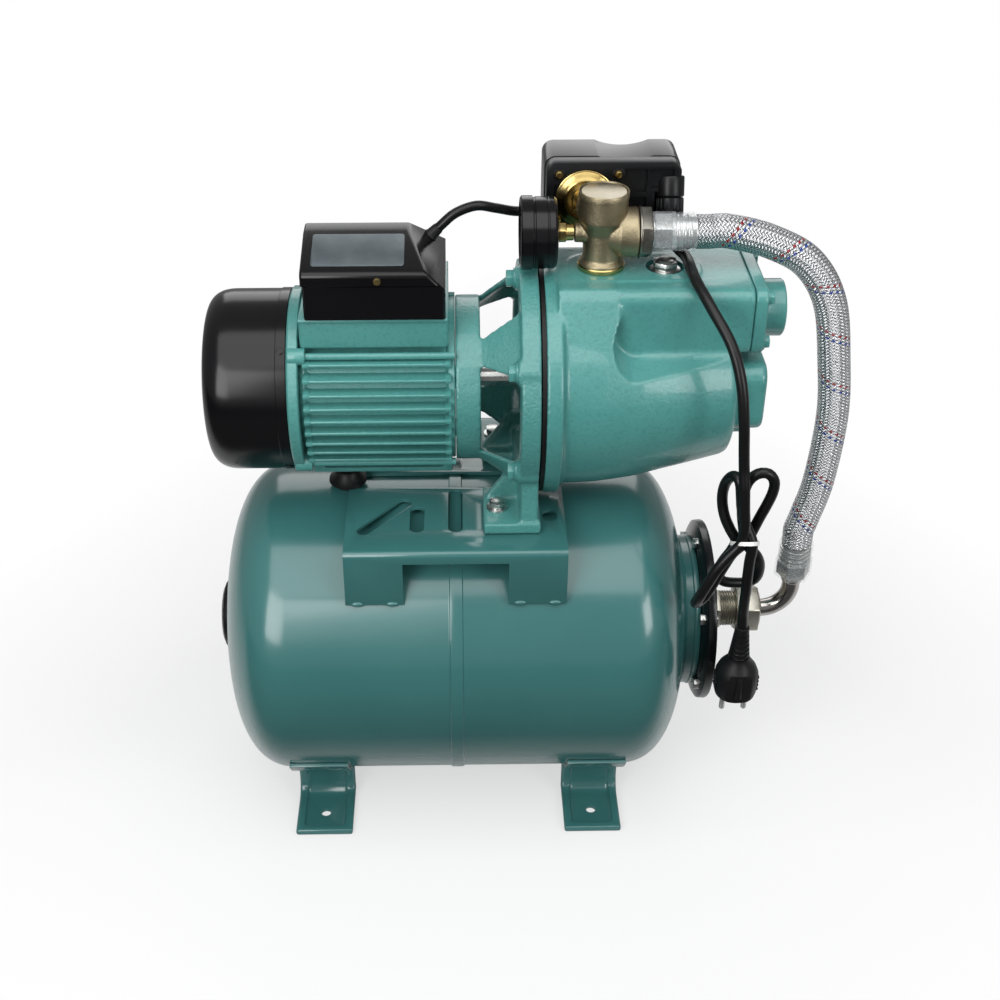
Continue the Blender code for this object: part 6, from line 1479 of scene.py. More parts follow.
@dataclass
class JetPump:
    """The cast bracket, the casing with its suction chest and nose, the cover and the plugs."""

    rear: float = 0.0013
    flange: float = 0.0523
    front: float = 0.0683
    casing: float = 0.0719
    body: float = 0.0856
    top: float = 0.5120
    rim: float = 0.097
    barrel: float = 0.088
    seat: float = 0.3121
    bolts: int = 6
    scoop: float = 0.0200

    def bracket(self) -> None:
        """The bracket's ring, cage, flange and feet, melted together as one casting."""
        rear, front = self.rear, self.front
        cage = Bench.lathe("bracket_casting", [
            (rear, 0.0680), (rear + 0.019, 0.0680), (rear + 0.022, 0.0690), (self.flange, 0.0880),
            (self.flange, self.rim), (front - 0.0006, self.rim), (front - 0.0006, 0.0170),
            (front - 0.008, 0.0170), (front - 0.008, 0.0805), (self.flange, 0.0825), (rear + 0.020, 0.0630),
            (rear + 0.016, 0.0630), (rear + 0.016, 0.0120), (rear + 0.012, 0.0120), (rear + 0.012, 0.0178),
            (rear, 0.0178),
        ], ring=True)
        windows = []
        for index in range(4):
            window = Bench.block(
                "window", (rear + 0.020, self.flange - 0.001), (-0.039, 0.039), (0.045, 0.12),
            )
            turned = Matrix.Rotation(index * math.pi / 2, 4, "X")
            window.matrix_world = Matrix.Translation((0, 0, AXIS_Z)) @ turned
            windows.append(window)
        Bench.cut(cage, *windows)
        feet = []
        web = [
            (-0.084, self.seat + 0.001), (0.084, self.seat + 0.001), (0.080, AXIS_Z - 0.052),
            (-0.080, AXIS_Z - 0.052),
        ]
        shell = Bench.slab("web", web, Axis.X, self.flange + 0.001, front - 0.0006)
        Bench.cut(
            shell, Bench.bar("clear", (self.flange - 0.01, 0, AXIS_Z), (front - 0.001, 0, AXIS_Z), 0.081, 64),
        )
        arch = Bench.slab("arch", [
            (-0.026, self.seat - 0.01), (0.026, self.seat - 0.01), (0.026, self.seat + 0.003),
            (0.016, self.seat + 0.0075), (-0.016, self.seat + 0.0075), (-0.026, self.seat + 0.003),
        ], Axis.X, 0.0, front + 0.01)
        Bench.cut(shell, arch)
        feet.append(shell)
        for side in (-1, 1):
            edge = sorted((side * 0.026, side * 0.085))
            feet.append(
                Bench.block("pad", (front - 0.045, front + 0.002), edge, (self.seat, self.seat + 0.010))
            )
            rib = Bench.slab("rib", [
                (front - 0.044, self.seat + 0.002), (front - 0.004, self.seat + 0.002),
                (front - 0.004, AXIS_Z - 0.056), (self.flange - 0.002, AXIS_Z - 0.056),
                (front - 0.044, self.seat + 0.010),
            ], Axis.Y, *sorted((side * 0.0385, side * 0.0455)))
            feet.append(rib)
            spot = Bench.bar(
                "spot", (0.0348, side * 0.060, self.seat), (0.0348, side * 0.060, self.seat + 0.0104), 0.0115,
                32,
            )
            feet.append(spot)
        ring = ring_places(self.bolts, self.rim - 0.008, 90)
        places = [(y, z) for y, z in ring if AXIS_Z + z > self.seat + 0.02]
        for y, z in places:
            lug_end = (front - 0.001, y, AXIS_Z + z)
            feet.append(Bench.bar("lug", (self.flange - 0.003, y, AXIS_Z + z), lug_end, 0.0098, 24))
        Bench.cast(cage, feet, CASTING_GRID, CASTING_PASSES)
        Bench.deliver(cage, Finish.ROUGH, "cast_enamel", "pump_bracket", angle=70)
        face = self.flange
        bolt = Bench.hex_head("casing_bolts", (face - 0.0100, 0, AXIS_Z), (face - 0.0040, 0, AXIS_Z), 0.0074)
        Bench.grouped(bolt, Bench.bar("flat", (face - 0.0042, 0, AXIS_Z), (face - 0.0020, 0, AXIS_Z), 0.0084))
        Bench.spread(bolt, [(0, y, z) for y, z in places])
        Bench.deliver(bolt, Finish.MACHINED, "cast_enamel")

    def gasket(self) -> None:
        """The black gasket between the flanges."""
        ring = Bench.lathe("flange_gasket", [
            (self.front + 0.0002, 0.081), (self.front + 0.0002, 0.0955), (self.casing - 0.0002, 0.0955),
            (self.casing - 0.0002, 0.081),
        ], ring=True)
        Bench.deliver(ring, Finish.RUBBER, "black_rubber", "casing_gasket")

    def casting(self) -> None:
        """The casing: barrel, shoulder, suction chest, side valleys and nose, melted into one casting."""
        rear, body = self.casing, self.body
        end = rear + 0.148
        barrel = Bench.lathe("casing_casting", [
            (rear, self.rim - 0.0006), (body - 0.0015, self.rim - 0.0006), (body - 0.0002, self.rim - 0.0020),
            (body, self.barrel + 0.003), (body + 0.003, self.barrel + 0.001), (body + 0.030, self.barrel),
            (body + 0.060, self.barrel - 0.0040), (end - 0.030, 0.0735), (end, 0.0660), (end + 0.004, 0.0640),
            (end + 0.006, 0.0600),
        ], steps=112)
        cutters, hollows = [], []
        for side in (-1, 1):
            wedge = [
                (side * 0.044, AXIS_Z + 0.0445), (side * 0.130, AXIS_Z + 0.0195),
                (side * 0.130, AXIS_Z + 0.13), (side * 0.044, AXIS_Z + 0.13),
            ]
            cutter = Bench.slab("valley", wedge, Axis.X, body + 0.046, end + 0.05)
            cutters.append(Bench.rounded(cutter, 0.010, 5, 40))
            near = (body + 0.0590, side * 0.0465, AXIS_Z + 0.0640)
            far = (body + 0.0590, side * 0.130, AXIS_Z + 0.0420)
            cutters.append(Bench.bar("scoop", near, far, self.scoop, 48))
            hollows.append(Bench.bar("scoop", near, far, self.scoop, 48))
        Bench.cut(barrel, *cutters)
        leave = math.radians(32)
        inside = self.barrel - 0.0010
        flank = [
            (0.7 * inside, AXIS_Z + 0.010), (inside * math.cos(leave), AXIS_Z + inside * math.sin(leave)),
            (0.0465, self.top - 0.007), (0.041, self.top - 0.0006),
        ]
        outline = flank + [(-y, z) for y, z in reversed(flank)]
        shoulder = Bench.rounded(
            Bench.slab("shoulder", outline, Axis.X, body - 0.002, body + 0.047), 0.007, 4, 60,
        )
        Bench.cut(shoulder, *hollows)
        inner = Bench.slab("inner", outline, Axis.X, body - 0.004, body + 0.030)
        half, crest = 0.047, self.top - 0.0012
        section = round_box((-half, AXIS_Z + 0.010), (half, crest), 0.010)
        chest = Bench.slab("chest", section, Axis.X, body - 0.003, rear + 0.151)
        section = round_box((-half, AXIS_Z + 0.0415), (half, crest), 0.010)
        face = Bench.slab("face", section, Axis.X, body - 0.002, rear + 0.163)
        section = round_box((-half, AXIS_Z - 0.030), (half, AXIS_Z + 0.030), 0.014)
        nose = Bench.slab("nose", section, Axis.X, end - 0.040, rear + 0.180)
        nose = Bench.rounded(nose, 0.004, 3, 60)
        drain = Bench.bar(
            "drain", (end - 0.020, 0, AXIS_Z - 0.041), (rear + 0.172, 0, AXIS_Z - 0.041), 0.0125, 32,
        )
        boss = Bench.bar(
            "boss", (rear + 0.097, 0, AXIS_Z + 0.07), (rear + 0.097, 0, self.top - 0.0004), 0.019, 48,
        )
        pad = Bench.slab(
            "pad", round_box((rear + 0.019, -0.026), (rear + 0.125, 0.026), 0.020), Axis.Z, self.top - 0.012,
            self.top,
        )
        Bench.cast(
            barrel, [shoulder, inner, chest, face, nose, drain, boss, pad], CASTING_GRID, CASTING_PASSES,
        )
        spot = Bench.bar(
            "spot", (rear + 0.097, 0, self.top - 0.0038), (rear + 0.097, 0, self.top + 0.01), 0.0155, 48,
        )
        Bench.cut(barrel, spot)
        Bench.deliver(barrel, Finish.CAST, "cast_enamel", "pump_casing", angle=60)

    def cover(self) -> None:
        """The suction cover with its threaded boss and four bolts."""
        start, end, face, centre = 0.2352, 0.2449, 0.2659, 0.4755
        outline = round_box((-0.047, AXIS_Z + 0.0415), (0.047, self.top - 0.0012), 0.010)
        plate = Bench.slab("suction_plate", outline, Axis.X, start, end)
        Bench.rounded(plate, 0.0016, 3, 60)
        boss = Bench.lathe("boss", [
            (end - 0.003, 0.0280), (end, 0.0262), (end + 0.002, 0.0240), (end + 0.005, 0.0232),
            (face - 0.0012, 0.0232), (face, 0.0222), (face, 0.0165), (start + 0.001, 0.0165),
            (start + 0.001, 0.020),
        ], centre=(0, 0, centre), ring=True)
        Bench.cut(plate, Bench.bar("bore", (start - 0.01, 0, centre), (face, 0, centre), 0.0180, 64))
        line = [(start + 0.002, 0.0172)]
        place = start + 0.003
        while place + THREAD_PITCH < face - 0.001:
            line += [(place, 0.0166), (place + 0.0011, 0.0155), (place + THREAD_PITCH, 0.0166)]
            place += THREAD_PITCH
        thread = Bench.lathe("thread", [*line, (place, 0.0172)], centre=(0, 0, centre), steps=64, ring=True)
        bolt = Bench.hex_head("bolt", (end + 0.0008, 0, 0), (end + 0.0052, 0, 0), 0.0058)
        Bench.grouped(bolt, Bench.bar("flat", (end - 0.001, 0, 0), (end + 0.0010, 0, 0), 0.0068))
        corners = [(0, y, z) for y in (-0.038, 0.038) for z in (AXIS_Z + 0.0505, self.top - 0.0100)]
        Bench.grouped(plate, boss, thread, Bench.spread(bolt, corners))
        Bench.deliver(plate, Finish.MACHINED, "cast_enamel", "suction_cover")

    def plugs(self) -> None:
        """The priming plug, the drain plug and the two foot bolts."""
        x, seat = self.casing + 0.097, self.top - 0.0037
        priming = Bench.hex_head("priming_screw", (x, 0, seat + 0.002), (x, 0, seat + 0.009), 0.0105, 0.0010)
        washer = Bench.rounded(
            Bench.bar("washer", (x, 0, seat), (x, 0, seat + 0.0022), 0.0125, 48), 0.0006, 2,
        )
        dome = Bench.lathe(
            "dome", [(seat + 0.0085, 0.0085), (seat + 0.0096, 0.0070), (seat + 0.0100, 0.0045)], Axis.Z,
            (x, 0, 0), 32,
        )
        Bench.grouped(priming, washer, dome)
        Bench.deliver(priming, Finish.STEEL, "plated_steel", "priming_plug")
        face, z = self.casing + 0.1723, AXIS_Z - 0.041
        drain = Bench.hex_head("drain_screw", (face + 0.001, 0, z), (face + 0.006, 0, z), 0.0075)
        flat = Bench.bar("flat", (face, 0, z), (face + 0.0015, 0, z), 0.0085)
        Bench.grouped(drain, flat)
        Bench.deliver(drain, Finish.MACHINED, "cast_enamel", "drain_plug")
        x, y, base = 0.0348, -0.060, self.seat + 0.0103
        bolt = Bench.hex_head("bolt_front", (x, y, base + 0.0030), (x, y, base + 0.0068), 0.0074, 0.0007)
        ring = Bench.rounded(Bench.bar("washer", (x, y, base), (x, y, base + 0.0016), 0.0088, 32), 0.0004, 2)
        spring = Bench.bar("spring", (x, y, base + 0.0016), (x, y, base + 0.0031), 0.0064, 32)
        shank = Bench.bar("shank", (x, y, self.seat - 0.0060), (x, y, base), 0.0038, 24)
        Bench.grouped(bolt, ring, spring, shank)
        twin = Bench.copied(bolt, "bolt_rear", (0, -2 * y, 0))
        Bench.deliver(bolt, Finish.STEEL, "plated_steel", "foot_bolt_front")
        Bench.deliver(twin, Finish.STEEL, "plated_steel", "foot_bolt_rear")

    def build(self) -> None:
        """Builds and dresses the pump."""
        self.bracket()
        self.gasket()
        self.casting()
        self.cover()
        self.plugs()


# Fittings


@dataclass
class Fittings:
    """The brass five way fitting, the gauge and the pressure switch."""

    x: float = 0.1176
    base: float = 0.5123
    top: float = 0.5763
    switch_x: float = 0.1056
    switch_z: float = 0.5573
    base_y: float = 0.0303

    def brass(self) -> None:
        """The fitting's cast body with its machined lips and the flat cap."""
        x, base = self.x, self.base
        body = Bench.lathe("brass_body", [
            (base - 0.002, 0.0164), (base, 0.0180), (base + 0.006, 0.0180), (base + 0.0085, 0.0152),
            (base + 0.030, 0.0146), (base + 0.036, 0.0165), (base + 0.041, 0.0192),
            (self.top - 0.0008, 0.0193), (self.top, 0.0186), (self.top, 0.0165),
        ], Axis.Z, (x, 0, 0), 72)
        side = Bench.lathe(
            "side", [(x + 0.004, 0.0150), (x + 0.013, 0.0196), (x + 0.0262, 0.0198), (x + 0.0278, 0.0190)],
            centre=PORT_LINE, steps=72,
        )
        gauge = Bench.lathe(
            "gauge", [(x - 0.0222, 0.0068), (x - 0.0215, 0.0076), (x - 0.016, 0.0077), (x - 0.010, 0.0090)],
            centre=PORT_LINE, steps=48,
        )
        switch = Bench.lathe(
            "switch", [(0.006, 0.0090), (0.018, 0.0078), (0.0218, 0.0076), (0.0225, 0.0068)], Axis.Y,
            (self.switch_x, 0, self.switch_z), 48,
        )
        Bench.cast(body, [side, gauge, switch], 0.0008, 4)
        Bench.cut(body, Bench.bar("recess", (x, 0, self.top - 0.006), (x, 0, self.top + 0.01), 0.0187, 72))
        lips = Bench.lathe("brass_lips", [
            (base, 0.0170), (base, 0.0184), (base + 0.0008, 0.0189), (base + 0.0034, 0.0189),
            (base + 0.0042, 0.0182), (base + 0.0042, 0.0170),
        ], Axis.Z, (x, 0, 0), 72, ring=True)
        Bench.deliver(lips, Finish.GOLD, "bright_brass")
        Bench.grouped(body, Bench.lathe("top_rim", [
            (self.top - 0.005, 0.0184), (self.top - 0.005, 0.0197), (self.top - 0.0010, 0.0198),
            (self.top, 0.0193), (self.top, 0.0190), (self.top - 0.0006, 0.0186),
        ], Axis.Z, (x, 0, 0), 96, ring=True))
        cap = Bench.lathe("top_cap", [
            (self.top - 0.006, 0.0150), (self.top - 0.0014, 0.0179), (self.top - 0.0008, 0.0175),
            (self.top - 0.0006, 0.0150),
        ], Axis.Z, (x, 0, 0), 72)
        Bench.deliver(cap, Finish.CAP, "brass", "outlet_cap")
        Bench.deliver(body, Finish.BRASS, "brass", "five_way_fitting", angle=60)

    def gauge(self) -> None:
        """The gauge's case with its bezel and steps, and the brass stem."""
        back, front, radius = 0.0818, 0.0528, 0.028
        case = Bench.lathe("gauge_body", [
            (front + 0.0030, radius - 0.0030), (front, radius - 0.0030), (front, radius - 0.0008),
            (front + 0.0012, radius + 0.0008), (front + 0.0095, radius + 0.0008),
            (front + 0.0102, radius - 0.0006), (front + 0.0112, radius - 0.0006), (front + 0.0118, radius),
            (back - 0.0085, radius), (back - 0.0080, radius - 0.0005), (back - 0.0072, radius - 0.0005),
            (back - 0.0066, radius), (back - 0.0025, radius), (back - 0.0006, radius - 0.0014),
            (back, radius - 0.0035), (back, 0.006), (back - 0.002, 0.006), (back - 0.002, radius - 0.004),
            (front + 0.0030, radius - 0.0022),
        ], centre=PORT_LINE, ring=True)
        Bench.deliver(case, Finish.GLOSS, "black_plastic", "gauge_case", angle=30)
        stem = Bench.hex_head(
            "gauge_hexagon", (back + 0.0003, 0, PORT_Z), (back + 0.0075, 0, PORT_Z), 0.0082, 0.0008,
        )
        neck = Bench.lathe(
            "neck", [(back + 0.006, 0.0064), (back + 0.0130, 0.0062)], centre=PORT_LINE, steps=40,
        )
        Bench.grouped(stem, neck)
        Bench.deliver(stem, Finish.GOLD, "brass", "gauge_stem")

    def flange(self) -> None:
        """The golden flange of the pressure switch, with its pressed rings."""
        low = 0.0228
        flange = Bench.lathe("golden_flange", [
            (low, 0.0085), (low, 0.0103), (low + 0.0018, 0.0112), (low + 0.0022, 0.0150),
            (low + 0.0012, 0.0165), (low + 0.0020, 0.0182), (low + 0.0034, 0.0196), (low + 0.0040, 0.0222),
            (low + 0.0052, 0.0234), (low + 0.0072, 0.0235), (low + 0.0072, 0.0200),
        ], Axis.Y, (self.switch_x, 0, self.switch_z))
        rim = Bench.lathe(
            "rim",
            [(low + 0.0046, 0.0228), (low + 0.0052, 0.0238), (low + 0.0062, 0.0238), (low + 0.0066, 0.0228)],
            Axis.Y, (self.switch_x, 0, self.switch_z),
        )
        Bench.grouped(flange, rim)
        Bench.deliver(flange, Finish.ZINC, "golden_zinc", "switch_flange", angle=45)

    def switch(self) -> None:
        """The switch's base with its pockets, bosses and screws, the hood over it and the cord's gland."""
        left = self.switch_x - 0.031
        right, low = left + 0.107, self.switch_z - 0.026
        high, base, back = low + 0.055, self.base_y, self.base_y + 0.0145
        notch = (right - 0.0201, self.switch_z + 0.0042)
        corners = arc((right - 0.008, high - 0.008), 0.008, 0, 90, 6) + arc(
            (left + 0.008, high - 0.008), 0.008, 90, 180, 6,
        )
        outline = corners + arc((left + 0.008, low + 0.008), 0.008, 180, 270, 6) + [
            (notch[0], low), notch, (right, notch[1]),
        ]
        plate = Bench.rounded(Bench.slab("switch_plate", outline, Axis.Y, base, back), 0.0010, 2, 40)
        pockets = []
        for start, end, floor, roof in (
            (left + 0.062, left + 0.080, low + 0.031, high - 0.005),
            (left + 0.083, right - 0.006, low + 0.034, high - 0.005),
            (left + 0.062, left + 0.080, low + 0.005, low + 0.027),
            (left + 0.006, left + 0.012, low + 0.016, high - 0.018),
        ):
            pockets.append(
                Bench.slab(
                    "pocket", round_box((start, floor), (end, roof), 0.0015, 3), Axis.Y, base - 0.002,
                    base + 0.0022,
                )
            )
        Bench.cut(plate, *pockets)
        places = [(x, 0, z) for x in (left + 0.010, left + 0.057) for z in (low + 0.009, high - 0.009)]
        cup = Bench.rounded(
            Bench.bar("cup", (0, base - 0.0010, 0), (0, base + 0.001, 0), 0.0052, 24), 0.0004, 2,
        )
        cups = Bench.spread(cup, places)
        head = [(base - 0.0030, 0.0012), (base - 0.0028, 0.0024), (base - 0.0016, 0.0034), (base, 0.0035)]
        screws = Bench.lathe("switch_screws", head, Axis.Y, (0, 0, 0), 24)
        for width, height in ((0.0020, 0.0004), (0.0004, 0.0020)):
            depth = (base - 0.004, base - 0.0020)
            Bench.cut(screws, Bench.block("cross", (-width, width), depth, (-height, height)))
        Bench.spread(screws, places)
        top = Vector((right - 0.0076, base + 0.0032, self.switch_z - 0.0008))
        tilt = math.radians(20)
        line = Vector((0, -math.sin(tilt), -math.cos(tilt)))
        boss = Bench.rounded(
            Bench.bar("boss", top - 0.0003 * line, top - 0.017 * line, 0.0112, 40), 0.0015, 3,
        )
        Bench.cut(boss, Bench.block("trim", (left, right + 0.02), (back, back + 0.03), (low, high + 0.01)))
        lead_z, lead_y = self.switch_z - 0.0138, base + 0.0082
        stub = Bench.lathe(
            "stub",
            [
                (left - 0.0120, 0.0046), (left - 0.0112, 0.0056), (left - 0.002, 0.0060),
                (left + 0.004, 0.0060),
            ],
            centre=(0, lead_y, lead_z), steps=32,
        )
        hump = [(left - 0.0100, 0.0058), (left - 0.0094, 0.0062), (left - 0.0088, 0.0058)]
        ring = Bench.lathe("ring", hump, centre=(0, lead_y, lead_z), steps=32)
        rings = Bench.spread(ring, [(step, 0, 0) for step in (0.0, 0.0026, 0.0052)])
        Bench.grouped(plate, boss, stub, rings, cups)
        Bench.deliver(plate, Finish.SATIN, "black_plastic", "switch_base")
        Bench.deliver(screws, Finish.ZINC, "golden_zinc")
        gland = Bench.lathe("cord_gland", [
            (-0.0200, 0.0052), (-0.0200, 0.0068), (-0.0188, 0.0078), (-0.0152, 0.0086), (-0.0140, 0.0098),
            (-0.0132, 0.0104), (-0.0006, 0.0106), (0, 0.0100),
        ], Axis.Z, (0, 0, 0), 48)
        rib = Bench.rounded(Bench.bar("rib", (0, 0, -0.0128), (0, 0, -0.0008), 0.0007, 8), 0.0002, 1)
        Bench.grouped(gland, Bench.spread(rib, [(x, y, 0) for x, y in ring_places(18, 0.0104, 0)]))
        gland.matrix_world = Matrix.Translation(top) @ Matrix.Rotation(-tilt, 4, "X")
        Bench.deliver(gland, Finish.SATIN, "black_plastic", "switch_gland_right")
        self.switch_cover(left, right, low, high, back + 0.0003)

    def switch_cover(self, left: float, right: float, low: float, high: float, start: float) -> None:
        """The hood of the switch with its shallow saddle on top.

        Args:
            left: Its left side.
            right: Its right side.
            low: Its underside.
            high: Its top at the ends.
            start: Its open side.
        """
        end = start + 0.041
        outline = round_box((left - 0.001, low - 0.001), (right + 0.001, high), 0.009)
        hood = Bench.slab("switch_hood", outline, Axis.Y, start, end)
        middle = (left + right) / 2 + 0.010
        dip = Bench.bar(
            "dip", (middle, start - 0.01, high + 0.052), (middle, end + 0.01, high + 0.052), 0.0565, 96,
        )
        Bench.cut(hood, dip)
        Bench.rounded(hood, 0.0050, 5, 30)
        hollow = Bench.slab(
            "hollow", round_box((left + 0.0022, low + 0.0022), (right - 0.0022, high - 0.0067), 0.006),
            Axis.Y, start - 0.01, end - 0.003,
        )
        Bench.cut(hood, hollow)
        Bench.deliver(hood, Finish.GLOSS, "black_plastic", "switch_cover", angle=32)

    def build(self) -> None:
        """Builds and dresses the fitting, the gauge and the switch."""
        self.brass()
        self.gauge()
        self.flange()
        self.switch()


# Cords


@dataclass
class Cords:
    """The lead to the switch, and the mains cord with its tied loops and plug.

    The loops hang in a plane through the tie that falls by lean for each metre towards the back.
    """

    radius: float = 0.0044
    lead_radius: float = 0.0040
    tie: Point = (0.2338, -0.108, 0.3162)
    lean: float = 0.66
    plug_top: Point = (0.2405, -0.1085, 0.2320)

    def route(self) -> list[Point]:
        """Lays the mains cord from the gland, past the casing, through its tied loops and down to the plug.

        Returns:
            The points of its centre line. The loops are given as (x, height, depth behind the tie).
        """
        down = [
            (0.1740, 0.0265, 0.5372), (0.1742, 0.0250, 0.5330), (0.1760, 0.0203, 0.5260),
            (0.1800, 0.0140, 0.5212), (0.1848, 0.0050, 0.5190), (0.1862, -0.0070, 0.5188),
            (0.1862, -0.0230, 0.5194), (0.1885, -0.0420, 0.5165), (0.1970, -0.0640, 0.5060),
            (0.2110, -0.0860, 0.4850), (0.2185, -0.1000, 0.4600), (0.2222, -0.1070, 0.4300),
            (0.2246, -0.1080, 0.4050),
        ]
        main = [
            (0.2262, 0.3885, -0.0005), (0.2275, 0.3700, -0.0045), (0.2288, 0.3509, -0.0070),
            (0.2304, 0.3330, -0.0085),
        ]
        lower_left = [
            (0.2292, 0.3190, -0.0085), (0.2245, 0.3110, -0.0095), (0.2180, 0.3030, -0.0110),
            (0.2112, 0.2924, -0.0120), (0.2047, 0.2779, -0.0120), (0.2005, 0.2670, -0.0105),
            (0.1985, 0.2600, -0.0060), (0.1990, 0.2572, 0.0), (0.2030, 0.2582, 0.0060),
            (0.2080, 0.2635, 0.0090), (0.2125, 0.2725, 0.0095), (0.2175, 0.2850, 0.0090),
            (0.2215, 0.2960, 0.0070), (0.2262, 0.3070, 0.0055), (0.2320, 0.3135, 0.0065),
        ]
        upper_right = [
            (0.2380, 0.3200, 0.0085), (0.2415, 0.3300, 0.0090), (0.2458, 0.3430, 0.0090),
            (0.2504, 0.3555, 0.0090), (0.2536, 0.3668, 0.0090), (0.2538, 0.3762, 0.0090),
            (0.2496, 0.3832, 0.0090), (0.2431, 0.3850, 0.0090), (0.2368, 0.3820, 0.0092),
            (0.2322, 0.3746, 0.0095), (0.2303, 0.3623, 0.0095), (0.2308, 0.3480, 0.0090),
            (0.2325, 0.3330, 0.0055),
        ]
        lower_right = [
            (0.2345, 0.3190, 0.0010), (0.2390, 0.3115, 0.0), (0.2440, 0.3060, 0.0), (0.2480, 0.2990, 0.0020),
            (0.2497, 0.2900, 0.0050), (0.2482, 0.2815, 0.0085), (0.2418, 0.2772, 0.0115),
            (0.2321, 0.2766, 0.0140), (0.2240, 0.2780, 0.0160), (0.2190, 0.2825, 0.0175),
            (0.2185, 0.2890, 0.0180), (0.2215, 0.2990, 0.0165), (0.2262, 0.3095, 0.0125),
        ]
        upper_left = [
            (0.2285, 0.3200, 0.0095), (0.2236, 0.3310, 0.0125), (0.2190, 0.3430, 0.0160),
            (0.2165, 0.3560, 0.0195), (0.2160, 0.3680, 0.0205), (0.2175, 0.3775, 0.0180),
            (0.2205, 0.3822, 0.0120), (0.2235, 0.3805, 0.0060), (0.2255, 0.3740, 0.0025),
            (0.2268, 0.3640, 0.0015), (0.2284, 0.3520, 0.0010), (0.2312, 0.3400, -0.0005),
            (0.2350, 0.3290, -0.0040),
        ]
        tail = [
            (0.2380, 0.3190, -0.0080), (0.2384, 0.3110, -0.0085), (0.2376, 0.3000, -0.0085),
            (0.2375, 0.2850, -0.0085), (0.2380, 0.2700, -0.0070), (0.2386, 0.2560, -0.0040),
            (0.2396, 0.2440, -0.0010),
        ]
        loops = main + lower_left + upper_right + lower_right + upper_left + tail
        laid = [(x, self.tie[1] + depth, z - self.lean * depth) for x, z, depth in loops]
        return [*down, *laid, self.plug_top]

    def plug(self) -> tuple[Piece, Piece]:
        """Builds the moulded two pin plug with its ribbed strain relief, side grips and metal pins.

        Returns:
            The plug's body and its pins.
        """
        x, y, top = self.plug_top
        shoulder, low = top - 0.038, top - 0.072
        body = Bench.lathe("plug_body", [
            (low, 0.0150), (low + 0.0012, 0.0172), (low + 0.006, 0.0184), (shoulder - 0.010, 0.0184),
            (shoulder - 0.004, 0.0160), (shoulder, 0.0130), (shoulder + 0.004, 0.0098),
            (shoulder + 0.010, 0.0088), (top - 0.004, 0.0062), (top - 0.0006, 0.0060), (top, 0.0052),
        ], Axis.Z, (x, y, 0), 64)
        flats = [
            Bench.block(
                "flat", (x - 0.03, x + 0.03), sorted((y + side * 0.0150, y + side * 0.03)),
                (low - 0.01, shoulder - 0.004),
            )
            for side in (-1, 1)
        ]
        Bench.cut(body, *flats)
        grooves = []
        for index in range(6):
            z = top - 0.006 - 0.0046 * index
            grooves.append(
                Bench.lathe(
                    "groove",
                    [(z, 0.0062), (z, 0.02), (z - 0.0020, 0.02), (z - 0.0020, 0.0062 + 0.0003 * index)],
                    Axis.Z, (x, y, 0), 40, ring=True,
                )
            )
        Bench.cut(body, *grooves)
        Bench.rounded(body, 0.0005, 2, 40)
        tops = (x, y - 0.0146, shoulder - 0.006), (x, y - 0.0150, low + 0.006)
        ridges = [Bench.rounded(Bench.bar("ridge", *tops, 0.0022, 20, 0.0034), 0.0006, 2)]
        for side in (-1, 1):
            reach = sorted((x + side * 0.0165, x + side * 0.0186))
            grip = Bench.block("grip", reach, (y - 0.006, y + 0.006), (low + 0.007, low + 0.0088))
            ridges.append(Bench.spread(grip, [(0, 0, 0.0042 * step) for step in range(4)]))
        Bench.grouped(body, *ridges)
        Bench.deliver(body, Finish.RUBBER, "black_rubber", "mains_plug")
        pin = [(low - 0.0185, 0.0014), (low - 0.0172, 0.0024), (low + 0.001, 0.0024)]
        pins = Bench.spread(
            Bench.lathe("plug_pins", pin, Axis.Z, (x, y, 0), 24), [(-0.0095, 0, 0), (0.0095, 0, 0)],
        )
        Bench.deliver(pins, Finish.STEEL, "plated_steel")
        return body, pins

    def band(self) -> Piece:
        """Builds the white tie round the cord's waist.

        Returns:
            The tie.
        """
        x, y, z = self.tie
        band = Bench.lathe(
            "cord_tie", [(-0.0016, 0.0104), (-0.0016, 0.0113), (0.0016, 0.0113), (0.0016, 0.0104)], Axis.Z,
            (0, 0, 0), 48, ring=True,
        )
        band.matrix_world = (
            Matrix.Translation((x, y, z + 0.0016)) @ Matrix.Rotation(math.radians(-32), 4, "X")
            @ Matrix.Diagonal((1.02, 1.62, 1.0, 1.0))
        )
        Bench.pick(band)
        bpy.ops.object.transform_apply(location=True, rotation=True, scale=True)
        Bench.deliver(band, Finish.TIE, "ivory_plastic")
        return band

